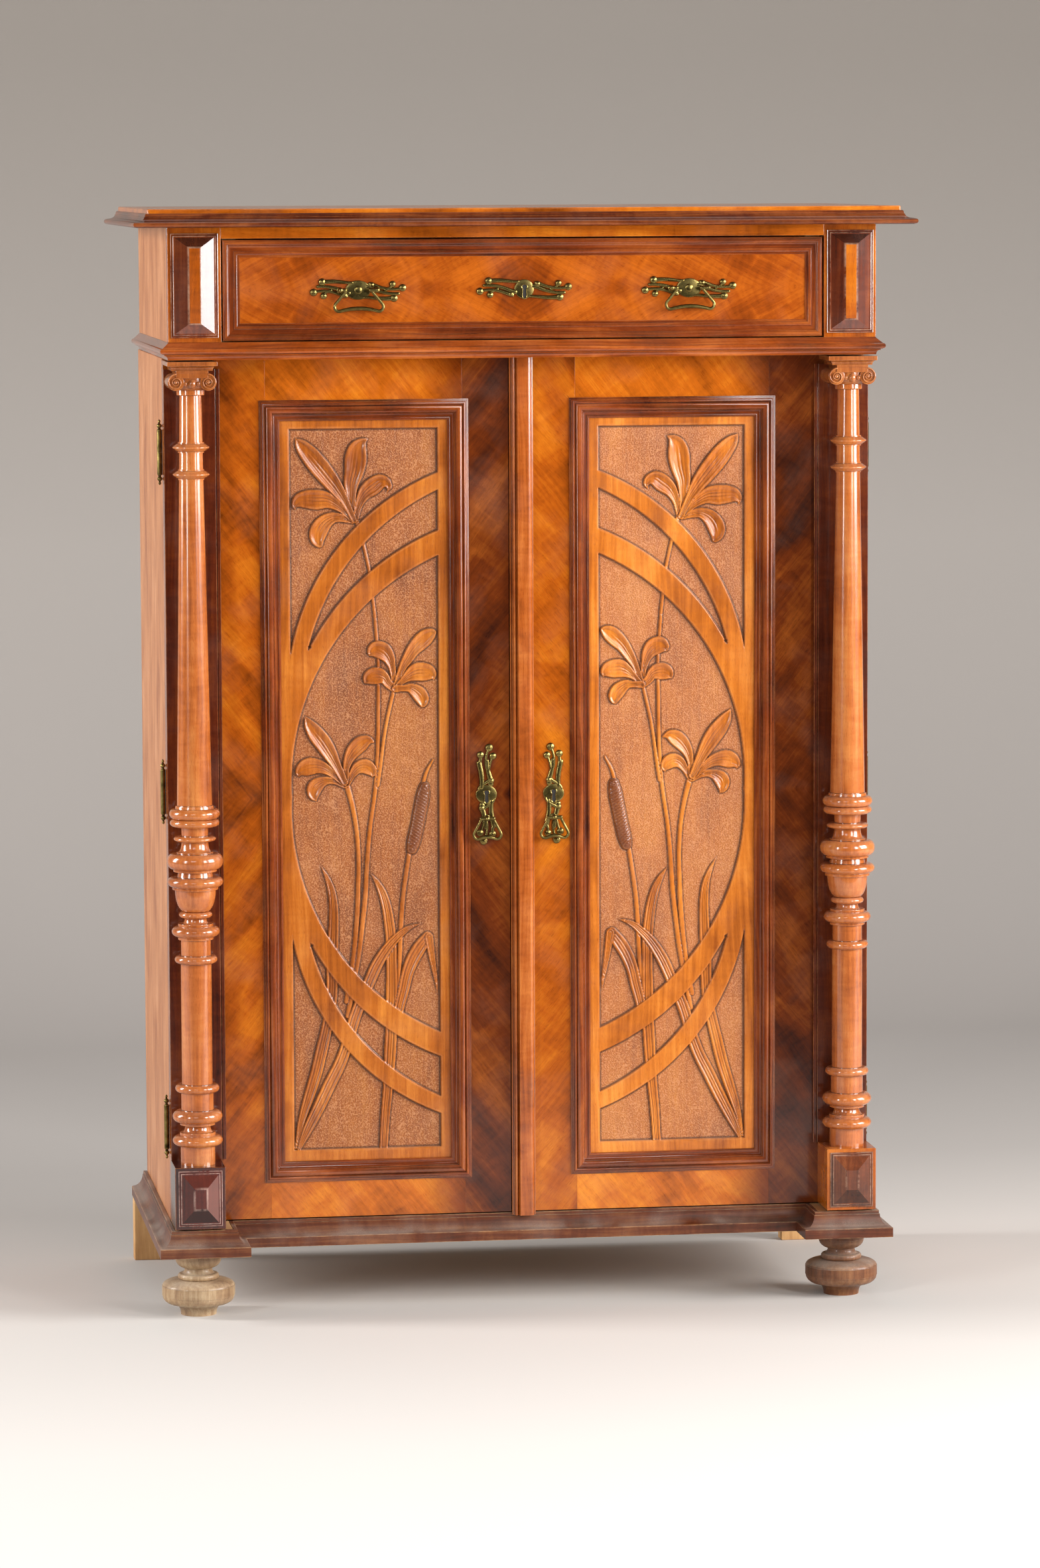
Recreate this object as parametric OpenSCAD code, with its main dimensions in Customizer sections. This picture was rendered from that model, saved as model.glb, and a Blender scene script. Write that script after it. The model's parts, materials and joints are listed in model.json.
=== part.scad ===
// Parlour cabinet with one drawer, two carved doors, turned columns and bun feet.
// Millimetres. The origin is on the floor, under the middle of the outer box.
// +X runs to the viewer's right, -Y to the front and +Z up.
// Depths are counted forwards from the plane of the back boards and turned into Y by fy().

/* [Carcase] */
// Width over the sides of the drawer section
upper_w = 954; // [880:2:1040]
// Depth from the back to the drawer's face
upper_d = 479; // [470:1:540]
// Height of the drawer section between its two mouldings
upper_h = 151.5; // [145:0.5:200]
// Height of the cupboard section
lower_h = 1168; // [1080:1:1300]
// How far each cupboard side stands out past the drawer section's side
side_step = 2; // [1:0.5:3]
// Depth of the cupboard sides
case_d = 390; // [340:1:392]
// Thickness of the sides and the bottom board
board_t = 20; // [18:0.5:24]
// Thickness of the back boards
back_t = 8; // [6:0.5:12]
// Thickness of the board under the drawer and of the moulding on its edge
mid_h = 23.5; // [22:0.5:30]
// Thickness of the top board
top_t = 18; // [15:0.5:22]
// Thickness of the upright corner stiles and of the rail over the drawer
stile_t = 24; // [22:0.5:28]
// Width of the corner stiles
stile_w = 71; // [66:0.5:80]
// Height of the rail over the drawer
frieze_h = 15; // [14.5:0.5:20]

/* [Mouldings] */
// How far the cornice stands out past the drawer section
cornice_out = 48; // [40:1:60]
// Height of the cornice moulding
cornice_h = 18.5; // [17:0.5:24]
// Inset of the top board from the cornice's nose
top_inset = 20; // [19:0.5:26]
// How far the middle moulding stands out past the drawer section
mid_out = 11.5; // [9:0.5:16]
// Thickness of the base moulding at its foot
base_out = 22; // [20:0.5:26]
// Height of the base
base_h = 35; // [32:0.5:44]
// How far the base breaks forward under the columns
break_d = 65.5; // [62:0.5:72]
// Width of the blocks that carry the break
break_w = 78; // [74:0.5:90]

/* [Feet] */
// Height of the feet
foot_h = 89.5; // [80:0.5:110]
// Largest radius of the turned feet
foot_r = 49.5; // [42:0.5:54]
// Width of the plain rear feet
rear_foot_w = 64; // [50:1:80]
// Thickness of the plain rear feet
rear_foot_t = 26; // [22:0.5:40]

/* [Doors] */
// Thickness of the door frames
door_t = 24; // [22:0.5:28]
// Width of the door stile at the hinges
outer_stile = 136; // [130:1:145]
// Distance from the middle of the cabinet to the panel openings
opening_x = 77; // [72:0.5:84]
// Height of the top rails
top_rail = 63; // [55:0.5:80]
// Height of the bottom rails
bottom_rail = 57.5; // [50:0.5:80]
// How deep the panel's raised face lies behind the frame
panel_drop = 5; // [4:0.5:6]
// Depth of the cut ground below the panel's raised face
carve_d = 4; // [2:0.5:5]
// Width of the moulding round the panels
panel_mould_w = 28; // [24:0.5:32]
// Width of the panel's flat border inside that moulding
panel_border = 12.5; // [8:0.5:18]
// Place of the meeting line between the doors
meet_x = -13.5; // [-16:0.5:-12]
// Width of the centre strip
strip_w = 32; // [28:0.5:36]
// Thickness of the centre strip
strip_t = 12; // [9:0.5:16]
// Gap over and under the doors
door_clear = 2; // [1.5:0.25:3]
// Gap between the doors and the carcase, where the hinge leaves lie
door_gap = 1; // [1:0.1:1.5]

/* [Columns] */
// Width of the pedestal blocks
pedestal_w = 68; // [64:0.5:72]
// Height of the pedestal blocks
pedestal_h = 84.5; // [70:0.5:110]
// Thickness of the pilaster boards behind the columns
pilaster_t = 6; // [5:0.5:8]
// Height of the capitals
capital_h = 38.5; // [36:0.5:44]
// Radius of the shaft under the capital
shaft_top_r = 14.6; // [13:0.1:17]
// Radius of the shaft over the knot
shaft_foot_r = 23.7; // [21:0.1:25]
// Radius of the plain shaft under the knot
low_shaft_r = 20.8; // [18:0.1:22]
// Height of the plain shaft under the knot
low_shaft_h = 164; // [130:1:190]
// Radius of the largest ring of the knot
knot_r = 37.6; // [35:0.1:39]

/* [Drawer] */
// Gap round the drawer front
drawer_gap = 2; // [1.5:0.25:3]
// Gap between the drawer and the back boards
drawer_rear = 32; // [26:1:90]
// Thickness of the drawer front under its moulding
drawer_front_t = 16; // [15:0.5:18]
// Width of the drawer's moulding
drawer_mould_w = 23; // [18:0.5:28]
// Thickness of the drawer sides and back
drawer_side_t = 12; // [10:0.5:16]
// Height of the drawer sides
drawer_side_h = 120; // [100:1:121]
// Thickness of the drawer bottom
drawer_bottom_t = 6; // [5:0.5:8]

/* [Inside] */
// Thickness of the shelves
shelf_t = 18; // [16:0.5:22]
// Number of the rack notch that carries the lower shelf
shelf_low = 8; // [5:1:11]
// Number of the rack notch that carries the upper shelf
shelf_high = 18; // [14:1:23]
// Distance between the notches of the shelf racks
rack_pitch = 40; // [35:1:45]
// Width of the shelf racks
rack_w = 22; // [20:0.5:26]
// Thickness of the shelf racks
rack_t = 12; // [10:0.5:15]

/* [Fittings] */
// Height of a hinge over its finials
hinge_h = 88; // [76:1:100]
// Radius of the hinge knuckles
knuckle_r = 3.4; // [3.1:0.1:4]
// Radius of the hinge pins
pin_r = 1.6; // [1.3:0.1:2]
// Thickness of the hinge leaves
leaf_t = 1.2; // [1:0.1:1.4]
// Distance from the middle to the drawer handles
handle_x = 223; // [190:1:250]
// Distance from the middle to the door keyholes
key_x = 46; // [45:0.5:48]
// Thickness of the handle plates and escutcheons
plate_t = 1.8; // [1.4:0.1:2.4]
// Radius of the brass bails and pulls
wire_r = 2.4; // [2:0.1:2.5]
// Drop of the drawer bails below their pivots
bail_drop = 28; // [24:0.5:32]
// Drop of the door pulls below their pivots
pull_drop = 28; // [26:0.5:34]

/* [Hidden] */

$fn = 64;
// Colours of the woods and metals
walnut = [0.62, 0.33, 0.14];
walnut_dark = [0.45, 0.20, 0.10];
mahogany = [0.36, 0.13, 0.09];
softwood = [0.78, 0.62, 0.42];
brass = [0.62, 0.54, 0.28];
steel = [0.50, 0.50, 0.52];
// A length that cuts clean through a face
over = 1;
// Running clearance on the radius of a pin
run = 0.06;
// Gap between pieces that slide on one another
slip = 0.3;

// Levels
z_low = foot_h + base_h;
z_mid = z_low + lower_h;
z_up = z_mid + mid_h;
z_cor = z_up + upper_h;
z_rim = z_cor + cornice_h;
// Height of the top board's edge that shows over the cornice
top_lip = 6;
z_top = z_rim + top_lip;

// Widths and depths
half_u = upper_w / 2;
half_l = half_u + side_step;
total_d = upper_d + cornice_out;
// Width and depth of the rebates that hold the back boards
rebate_w = 10;
// How far the two mouldings' bodies reach in under the drawer section's edges
mid_lap = rebate_w;
cornice_in = board_t - rebate_w;
door_back = case_d + door_gap;
door_front = door_back + door_t;
door_z0 = z_low + door_clear;
door_z1 = z_mid - door_clear;
// Gap between the two doors
meet_gap = 1;
left_edge = meet_x - meet_gap / 2;
right_edge = meet_x + meet_gap / 2;
open_out = half_l - outer_stile;
open_z0 = door_z0 + bottom_rail;
open_z1 = door_z1 - top_rail;
panel_front = door_front - panel_drop;
ground = panel_front - carve_d;
// Thickness of the panel's tongue behind its cut ground, and the depth of its groove
tongue_t = 8;
groove_d = 5;
// How far the panel moulding laps over the frame
mould_lap = 8.5;

function fy(d) = total_d / 2 - d;

// A box between two x, two depths and two heights
module block(x0, x1, d0, d1, z0, z1) {
    translate([x0, fy(d1), z0])
        cube([x1 - x0, d1 - d0, z1 - z0]);
}

// The same drawing on the left and on the right
module both_sides() {
    children();
    mirror([1, 0, 0])
        children();
}

// A drawing made for the left side, put on the given side
module on_side(side) {
    mirror([side > 0 ? 1 : 0, 0, 0])
        children();
}

// A moulding round the front and both sides of a plan from x0 to x1 and from the back to
// the depth front. Its line is drawn as [outward, up], and at every height the plan grows by
// as much as the line stands out: a run along X and a run along Y that cross give just that.
module grown_plan(line, x0, x1, front) {
    reach = 100;
    wide = (x1 - x0) / 2 + over;
    intersection() {
        front_run(line, x0 - reach, x1 + reach, front);
        union() {
            translate([x1, fy(0), 0])
                rotate([90, 0, 0])
                    linear_extrude(front + reach)
                        polygon(backed(line, wide));
            translate([x0, fy(0), 0])
                mirror([1, 0, 0])
                    rotate([90, 0, 0])
                        linear_extrude(front + reach)
                            polygon(backed(line, wide));
        }
    }
}

// The same line run along X only, with the plan behind it
module front_run(line, x0, x1, front) {
    translate([x0, fy(front), 0])
        rotate([90, 0, 90])
            linear_extrude(x1 - x0)
                mirror([1, 0])
                    polygon(backed(line, front + over));
}

// A line closed to a shape that reaches inwards as far as given
function backed(line, inwards) = concat([[-inwards, line[0][1]]], line,
    [[-inwards, line[len(line) - 1][1]]]);

// The curve of a cove or a round: a quarter of an ellipse from point a to point b.
// side 1 turns round the corner at [a's x, b's y], side 0 round the other corner.
function quarter(a, b, side, n = 6) = [for (i = [0:n])
    let (t = 90 * i / n)
    side == 1
        ? [a[0] + (b[0] - a[0]) * (1 - cos(t)), a[1] + (b[1] - a[1]) * sin(t)]
        : [a[0] + (b[0] - a[0]) * sin(t), a[1] + (b[1] - a[1]) * (1 - cos(t))]];

// A bead between two points of one height or one offset, bulging by rise along direction d
function bulge(a, b, d, rise, n = 8) = [for (i = [0:n])
    let (t = 180 * i / n)
    a + (b - a) * (1 - cos(t)) / 2 + d * rise * sin(t)];

// A cubic curve through its four control points
function curve(p, n = 8) = [for (i = [0:n])
    let (t = i / n, s = 1 - t)
    s * s * s * p[0] + 3 * s * s * t * p[1] + 3 * s * t * t * p[2] + t * t * t * p[3]];

// The left-hand normal of a path at point i
function normal(path, i) =
    let (a = path[max(i - 1, 0)], b = path[min(i + 1, len(path) - 1)], v = b - a)
    [-v[1], v[0]] / norm(v);

// A ribbon along a path, whose half width goes from w0 to w1 and swells by belly in between
module ribbon(path, w0, w1, belly = 0) {
    last = len(path) - 1;
    half = [for (i = [0:last]) w0 + (w1 - w0) * i / last + belly * sin(180 * i / last)];
    polygon(concat(
        [for (i = [0:last]) path[i] + normal(path, i) * half[i]],
        [for (i = [last:-1:0]) path[i] - normal(path, i) * half[i]]));
}

// A drawing in x and z, extruded forwards from depth d0 to depth d1
module face(d0, d1) {
    translate([0, fy(d0), 0])
        rotate([90, 0, 0])
            linear_extrude(d1 - d0)
                children();
}

// A stepped plaque with a truncated pyramid on it, centred on x and z
module pyramid_plaque(w, h, flat_w, flat_h, step, rise) {
    lip = 3;
    translate([-w / 2, -step, -h / 2])
        cube([w, step, h]);
    translate([-w / 2 + lip, -2 * step, -h / 2 + lip])
        cube([w - 2 * lip, step + over / 2, h - 2 * lip]);
    intersection() {
        translate([0, 0, -h / 2])
            linear_extrude(h)
                polygon([[-w / 2 + 2 * lip, -step], [w / 2 - 2 * lip, -step],
                    [w / 2 - 2 * lip, -2 * step], [flat_w / 2, -2 * step - rise],
                    [-flat_w / 2, -2 * step - rise], [-w / 2 + 2 * lip, -2 * step]]);
        translate([-w / 2, 0, 0])
            rotate([90, 0, 90])
                linear_extrude(w)
                    polygon([[-step, -h / 2 + 2 * lip], [-2 * step, -h / 2 + 2 * lip],
                        [-2 * step - rise, -flat_h / 2], [-2 * step - rise, flat_h / 2],
                        [-2 * step, h / 2 - 2 * lip], [-step, h / 2 - 2 * lip]]);
    }
}

// Drawer section and cornice

// How far the top board's moulded edge reaches out past the drawer section
top_edge = cornice_out - top_inset;

function cornice_line(nose) = concat(
    [[nose - 5, 0]],
    bulge([nose - 3.6, 0.6], [nose - 3.6, 7.4], [1, 0], 3.6),
    quarter([nose - 6, 8], [nose - 15.5, 14], 0),
    [[nose - 16.5, 14.2]],
    quarter([nose - 16.5, 14.8], [top_edge + 1.5, cornice_h], 1, 4));

module cornice_moulding() color(walnut_dark) {
    difference() {
        translate([0, 0, z_cor])
            grown_plan(cornice_line(cornice_out), -half_u, half_u, upper_d);
        block(-half_u + cornice_in, half_u - cornice_in, -over, upper_d - cornice_in,
            z_cor - over, z_rim + over);
        block(-half_u - top_edge, half_u + top_edge, -over, upper_d + top_edge,
            z_top - top_t, z_rim + over);
    }
}

module top_board() color(walnut) {
    block(-half_u - top_edge, half_u + top_edge, 0, upper_d + top_edge, z_top - top_t, z_top);
}

// Depth of the slot that the drawer's bolt shoots into
bolt_slot = 10;

module frieze_rail() color(walnut) {
    difference() {
        block(-half_u + stile_w, half_u - stile_w, upper_d - stile_t, upper_d,
            z_cor - frieze_h, z_cor);
        block(-dlock_bolt_w / 2 - slip, dlock_bolt_w / 2 + slip,
            dlock_d - dlock_bolt_t / 2 - slip, dlock_d + dlock_bolt_t / 2 + slip,
            z_cor - frieze_h - over, z_cor - frieze_h + bolt_slot);
    }
}

module upper_sides() color(walnut) {
    both_sides()
        difference() {
            block(-half_u, -half_u + board_t, 0, upper_d - stile_t, z_up, z_cor);
            block(-half_u + board_t - rebate_w, -half_u + board_t + over, -over, back_t,
                z_up - over, z_cor + over);
        }
}

module corner_stiles() color(walnut) {
    both_sides()
        block(-half_u, -half_u + stile_w, upper_d - stile_t, upper_d, z_up, z_cor);
}

module corner_pyramids() color(walnut_dark) {
    margin = 4;
    h = upper_h - 14;
    both_sides()
        translate([-half_u + stile_w / 2, fy(upper_d), z_up + upper_h / 2 - 1])
            pyramid_plaque(stile_w - 2 * margin, h, 15, h - 38, 2, 5);
}

function middle_line(n) = concat(
    [[0.7, 0]],
    quarter([0.7, 0.5], [n - 6.5, 6], 1),
    [[n - 5.8, 6], [n - 5.8, 7.8], [n - 3.4, 7.8]],
    bulge([n - 3, 8.4], [n - 3, 15.4], [1, 0], 3),
    [[n - 8, 19.7], [0, mid_h - 0.5], [0, mid_h]]);

module middle_moulding() color(walnut_dark) {
    difference() {
        translate([0, 0, z_mid])
            grown_plan(middle_line(mid_out), -half_u, half_u, upper_d);
        block(-half_u + mid_lap, half_u - mid_lap, -over, upper_d - mid_lap,
            z_mid - over, z_up + over);
    }
}

module middle_board() color(walnut) {
    x = half_u - mid_lap;
    difference() {
        block(-x, x, back_t, upper_d - mid_lap, z_mid, z_up);
        bolt_hole(z_mid - over, z_mid + bolt_deep);
    }
}

// The pocket that a slide bolt of the left door shoots into
module bolt_hole(z0, z1) {
    block(bolt_x - bolt_w / 2 - slip, bolt_x + bolt_w / 2 + slip,
        bolt_d - bolt_t / 2 - slip, bolt_d + bolt_t / 2 + slip, z0, z1);
}

// Gap on each side of the drawer between the guides
guide_w = 20;
drawer_half = half_u - stile_w - drawer_gap;

module drawer_guides() color(softwood) {
    x = drawer_half + slip;
    both_sides() {
        block(x, x + guide_w, back_t, upper_d - stile_t, z_up, z_up + guide_w);
        block(x - guide_w, x, back_t, upper_d - stile_t,
            z_up + slip + drawer_side_h + slip, z_top - top_t);
    }
}

// Cupboard carcase

module case_side() {
    difference() {
        block(-half_l, -half_l + board_t, 0, case_d, z_low, z_mid);
        block(-half_l + board_t - rebate_w, -half_l + board_t + over, -over, back_t,
            z_low - over, z_mid + over);
        for (z = hinge_z)
            block(-half_l - over, -half_l + leaf_w + slip, case_d - leaf_sink, case_d + over,
                z - leaf_h / 2 - slip, z + leaf_h / 2 + slip);
    }
}

module cupboard_sides() color(walnut) {
    both_sides()
        case_side();
}

module bottom_board() color(softwood) {
    difference() {
        block(-half_l + board_t, half_l - board_t, back_t, case_d - slip, z_low,
            z_low + board_t);
        bolt_hole(z_low + board_t - bolt_deep, z_low + board_t + over);
    }
}

module back_boards() color(softwood) {
    boards = 3;
    seam = 0.6;
    x = half_u - board_t + rebate_w - seam;
    w = 2 * x / boards;
    for (i = [0:boards - 1])
        block(-x + i * w + seam / 2, -x + (i + 1) * w - seam / 2, 0, back_t, z_low,
            z_top - top_t);
}

// The racks' notches face each other, and the battens' ends rest in them
rack_x = half_l - board_t;
rack_z0 = z_low + board_t;
rack_l = z_mid - rack_z0;
rack_front = case_d - 16;
rack_back = back_t + 2;
notch_d = 8;
notch_h = 16;
notches = floor((rack_l - 30) / rack_pitch);
function notch_z(i) = rack_pitch * (i + 0.6);

// One rack, drawn with its teeth to the front
module rack() {
    difference() {
        square([rack_w, rack_l]);
        for (i = [0:notches - 1])
            translate([rack_w, notch_z(i)])
                polygon([[-notch_d, 0], [over, 0], [over, notch_h + notch_h / notch_d],
                    [0, notch_h], [-notch_d, 3]]);
    }
}

module shelf_racks() color(softwood) {
    both_sides() {
        translate([-rack_x, fy(rack_back), rack_z0])
            rotate([90, 0, 90])
                linear_extrude(rack_t)
                    mirror([1, 0])
                        rack();
        translate([-rack_x, fy(rack_front), rack_z0])
            rotate([90, 0, 90])
                linear_extrude(rack_t)
                    rack();
    }
}

// One batten between two racks, drawn from its back end at the bottom of a notch
module batten() {
    l = rack_front - rack_back - 2 * rack_w + 2 * notch_d - 2 * slip;
    polygon([[0, 0], [l, 0], [l, 3], [l - notch_d, notch_h], [notch_d, notch_h], [0, 3]]);
}

module shelf_battens() color(softwood) {
    both_sides()
        for (i = [shelf_low, shelf_high])
            translate([-rack_x, fy(rack_back + rack_w - notch_d + slip), rack_z0 + notch_z(i)])
                rotate([90, 0, 90])
                    linear_extrude(rack_t)
                        mirror([1, 0])
                            batten();
}

module shelves() color(softwood) {
    for (i = [shelf_low, shelf_high])
        difference() {
            block(-rack_x + over, rack_x - over, rack_back, rack_front,
                rack_z0 + notch_z(i) + notch_h, rack_z0 + notch_z(i) + notch_h + shelf_t);
            both_sides() {
                block(-rack_x, -rack_x + rack_t + over, rack_back - over,
                    rack_back + rack_w + over, rack_z0, z_mid);
                block(-rack_x, -rack_x + rack_t + over, rack_front - rack_w - over,
                    rack_front + over, rack_z0, z_mid);
            }
        }
}

// Base and feet

// Depths of the base frame's face between the breaks and under the columns
base_face = door_front - 6.5;
break_face = base_face + break_d;
frame_rail = 60;

module base_frame() color(softwood) {
    difference() {
        block(-half_l, half_l, 0, base_face, foot_h, z_low);
        block(-half_l + frame_rail, half_l - frame_rail, frame_rail, base_face - frame_rail,
            foot_h - over, z_low + over);
    }
    both_sides()
        block(-half_l, -half_l + break_w, base_face, break_face, foot_h, z_low);
}

function base_line(ledge, foot) = concat(
    [[base_out, 0], [base_out, foot]],
    quarter([base_out - 1.5, foot + 0.8], [ledge + 1, base_h - 4.5], 0),
    [[ledge, base_h - 4.5], [ledge, base_h]]);

module base_moulding() color(walnut_dark) {
    inner = half_l - break_w;
    line = base_line(5.5, 13);
    difference() {
        translate([0, 0, foot_h]) {
            front_run(line, -half_l + over, half_l - over, base_face);
            both_sides()
                grown_plan(line, -half_l, -inner, break_face);
        }
        block(-half_l, half_l, -2 * over, base_face, foot_h - over, z_low + over);
        both_sides()
            block(-half_l, -inner, -2 * over, break_face, foot_h - over, z_low + over);
    }
}

// Turned work: each member is [kind, height, lower radius, upper or outer radius]
function member(m, z) =
    let (a = [m[2], z], b = [m[3], z + m[1]], grows = m[3] > m[2])
    m[0] == "bead"
        ? bulge(a, [m[2], z + m[1]], [1, 0], m[3] - m[2])
        : m[0] == "round"
            ? quarter(a, b, grows ? 0 : 1)
            : m[0] == "hollow"
                ? quarter(a, b, grows ? 1 : 0)
                : [a, b];
function height_to(list, i) = i <= 0 ? 0 : list[i - 1][1] + height_to(list, i - 1);
function turning(list, z0) = [for (i = [0:len(list) - 1])
    each member(list[i], z0 + height_to(list, i))];

module turned(points) {
    rotate_extrude($fn = 96)
        polygon(concat([[0, points[0][1]]], points, [[0, points[len(points) - 1][1]]]));
}

// Axes of the front feet, the columns and their pedestals
foot_x = half_l - 35;
foot_d = door_front + 5;

module front_feet() color(walnut) {
    bun = [
        ["drum", 2, 24.2, 24.2],
        ["hollow", 13, 24.4, 36],
        ["round", 11.8, 36.5, foot_r - 0.5],
        ["drum", 13, foot_r, foot_r],
        ["round", 8.4, foot_r - 0.5, 27],
        ["bead", 7.8, 25, 28],
        ["hollow", 8, 23, 18.4],
        ["round", 12.6, 18.6, 31.2]];
    h = height_to(bun, len(bun));
    both_sides()
        translate([-foot_x, fy(foot_d), 0])
            turned(concat(turning(bun, 0), [[31.7, h], [31.7, foot_h]]));
}

module rear_feet() color(softwood) {
    x = half_l + base_out;
    both_sides()
        block(-x + 1, -x + 1 + rear_foot_w, 0, rear_foot_t, 0, foot_h);
}

// Hinges: the lower knuckle belongs to the carcase and the upper one to the door
hinge_x = half_l + knuckle_r + 0.2;
hinge_d = case_d + door_gap / 2;
// Distance of the outer hinges from the cupboard's ends; the third sits over its middle
hinge_low = 128;
hinge_high = 125.5;
hinge_mid = 1;
hinge_z = [z_low + hinge_low, z_low + lower_h / 2 + hinge_mid, z_mid - hinge_high];
finial_h = 14;
leaf_h = hinge_h - 2 * finial_h - 4;
leaf_w = 15.5;
leaf_sink = leaf_t - (door_gap / 2 - 0.2);
barrel = hinge_h / 2 - finial_h;

// Side 0 is the carcase leaf with the lower knuckle, side 1 the door leaf with the upper one
module hinge_leaf(side) {
    z0 = side == 0 ? -barrel : slip / 2;
    d0 = side == 0 ? hinge_d - 0.2 - leaf_t : hinge_d + 0.2;
    difference() {
        union() {
            translate([-hinge_x, fy(hinge_d), z0])
                cylinder(r = knuckle_r, h = barrel - slip / 2);
            block(-hinge_x, -half_l + leaf_w, d0, d0 + leaf_t, z0 + 2, z0 + barrel - 2);
            block(-half_l + 0.3, -half_l + leaf_w, d0, d0 + leaf_t, -leaf_h / 2, leaf_h / 2);
            if (side == 1)
                translate([-hinge_x, fy(hinge_d), barrel])
                    finial();
        }
        translate([-hinge_x, fy(hinge_d), -barrel - over])
            cylinder(r = pin_r + (side == 0 ? 0.02 : run), h = 2 * barrel - 4 + over);
    }
}

// A small turned finial, standing on its foot
module finial() {
    r = knuckle_r;
    turned([[r, 0], [r * 0.62, 1.2], [r * 0.5, 2.4], [r * 0.95, 4.2], [r * 1.02, 5.6],
        [r * 0.9, 7], [r * 0.5, 8.4], [r * 0.3, 9.6], [r * 0.55, 10.8], [r * 0.5, 12.4],
        [0.3, finial_h]]);
}

module three_hinges() {
    for (z = hinge_z)
        translate([0, 0, z])
            children();
}

module case_hinge_leaves() color(brass) {
    both_sides()
        three_hinges()
            hinge_leaf(0);
}

module hinge_pins() color(brass) {
    both_sides()
        three_hinges()
            translate([-hinge_x, fy(hinge_d), 0]) {
                translate([0, 0, -barrel])
                    cylinder(r = pin_r, h = 2 * barrel - 5);
                translate([0, 0, -barrel])
                    mirror([0, 0, 1])
                        finial();
            }
}

// Doors. Each is drawn for the left, and edge is its meeting edge in those terms.

// Height of both keyholes, a little under the cupboard's middle
key_drop = 8.5;
key_z = z_low + lower_h / 2 - key_drop;
// Radius of a keyhole's round end, and half the width and the length of its slot
key_r = 3.3;
key_slot = 2.2;
key_l = 9;

module keyhole() {
    translate([0, 2.5])
        circle(r = key_r);
    translate([-key_slot, -key_l])
        square([2 * key_slot, key_l + 2.5]);
    translate([0, -key_l])
        circle(r = key_slot + 0.5);
}

module panel_groove(g) {
    block(-open_out - g, -opening_x + g, ground - tongue_t - 0.2, ground + 0.2,
        open_z0 - g, open_z1 + g);
}

module door_frame(edge) {
    difference() {
        block(-half_l, edge, door_back, door_front, door_z0, door_z1);
        block(-open_out, -opening_x, door_back - over, door_front + over, open_z0, open_z1);
        panel_groove(groove_d + 0.5);
        for (z = hinge_z)
            block(-half_l - over, -half_l + leaf_w + slip, door_back - over,
                door_back + leaf_sink, z - leaf_h / 2 - slip, z + leaf_h / 2 + slip);
    }
}

// The carving stands in a field whose straps are arcs about centres near the cabinet's middle
field_x0 = -open_out + panel_mould_w - mould_lap + panel_border;
field_x1 = -opening_x - (panel_mould_w - mould_lap) - panel_border;
field_z0 = open_z0 + panel_mould_w - mould_lap + panel_border + 1.5;
field_z1 = open_z1 - (panel_mould_w - mould_lap) - panel_border + 2;
field_mid = (field_z0 + field_z1) / 2 - 7;
dot_x = 284.7;
dot_z = 202;

// The right-hand half of each arc lies on the other door
module disc(x, z, r) {
    translate([x, field_mid + z])
        circle(r = r, $fn = 180);
}

module field_part(z0, z1) {
    translate([field_x0, field_mid + z0])
        square([field_x1 - field_x0, z1 - z0]);
}

// The cut ground of the upper half, above the field's middle
module upper_ground() {
    top = field_z1 - field_mid;
    difference() {
        field_part(136, top);
        disc(7, 136, 322);
    }
    intersection() {
        field_part(dot_z - 3, top);
        difference() {
            disc(19, 126, 315);
            disc(16, 42, 340);
        }
    }
    intersection() {
        field_part(-over, top);
        disc(24, 18, 335);
    }
}

module ground_shape() {
    upper_ground();
    translate([0, 2 * field_mid])
        mirror([0, 1])
            intersection() {
                upper_ground();
                field_part(-over, field_mid - field_z0);
            }
    for (s = [-1, 1])
        translate([-dot_x, field_mid + s * (dot_z + 1)])
            circle(r = 2.6);
}

module carved_panel() {
    block(-open_out - groove_d, -opening_x + groove_d, ground - tongue_t, ground,
        open_z0 - groove_d, open_z1 + groove_d);
    face(ground - over, panel_front)
        difference() {
            translate([-open_out + slip, open_z0 + slip])
                square([open_out - opening_x - 2 * slip, open_z1 - open_z0 - 2 * slip]);
            ground_shape();
        }
}

// Profile of the panel moulding, as [inwards from its outer edge, up from the frame's face]
module panel_profile() {
    w = panel_mould_w;
    polygon(concat(
        [[0, 0], [0, 1.6], [1.3, 1.6], [1.3, 2.8], [2.8, 2.8], [2.8, 4]],
        bulge([4.4, 4], [8, 4], [0, 1], 2),
        bulge([8.6, 3.6], [w - 10, 2.4], [0, 1], 4),
        quarter([w - 9.2, 2.4], [w - 3.6, -1.6], 1),
        bulge([w - 3.4, -1.6], [w, -2.8], [0, 1], 1.3),
        [[w, -panel_drop], [mould_lap + slip, -panel_drop], [mould_lap + slip, 0]]));
}

// A mitred frame of four runs whose outer rectangle is given; the profile runs inwards.
// At each corner the two runs are parted by one and the same mitre.
module mitred_frame(x0, x1, z0, z1, d) {
    w = x1 - x0;
    h = z1 - z0;
    for (x = [x0, x1]) {
        intersection() {
            frame_side(x, x < x1 ? z1 : z0, h, x < x1 ? 270 : 90, d)
                children();
            beside(x, z0, x < x1, true, w + h);
            beside(x, z1, x < x1, false, w + h);
        }
    }
    for (z = [z0, z1]) {
        difference() {
            frame_side(z < z1 ? x0 : x1, z, w, z < z1 ? 0 : 180, d)
                children();
            beside(x0, z, true, z < z1, w + h);
            beside(x1, z, false, z < z1, w + h);
        }
    }
}

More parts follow.
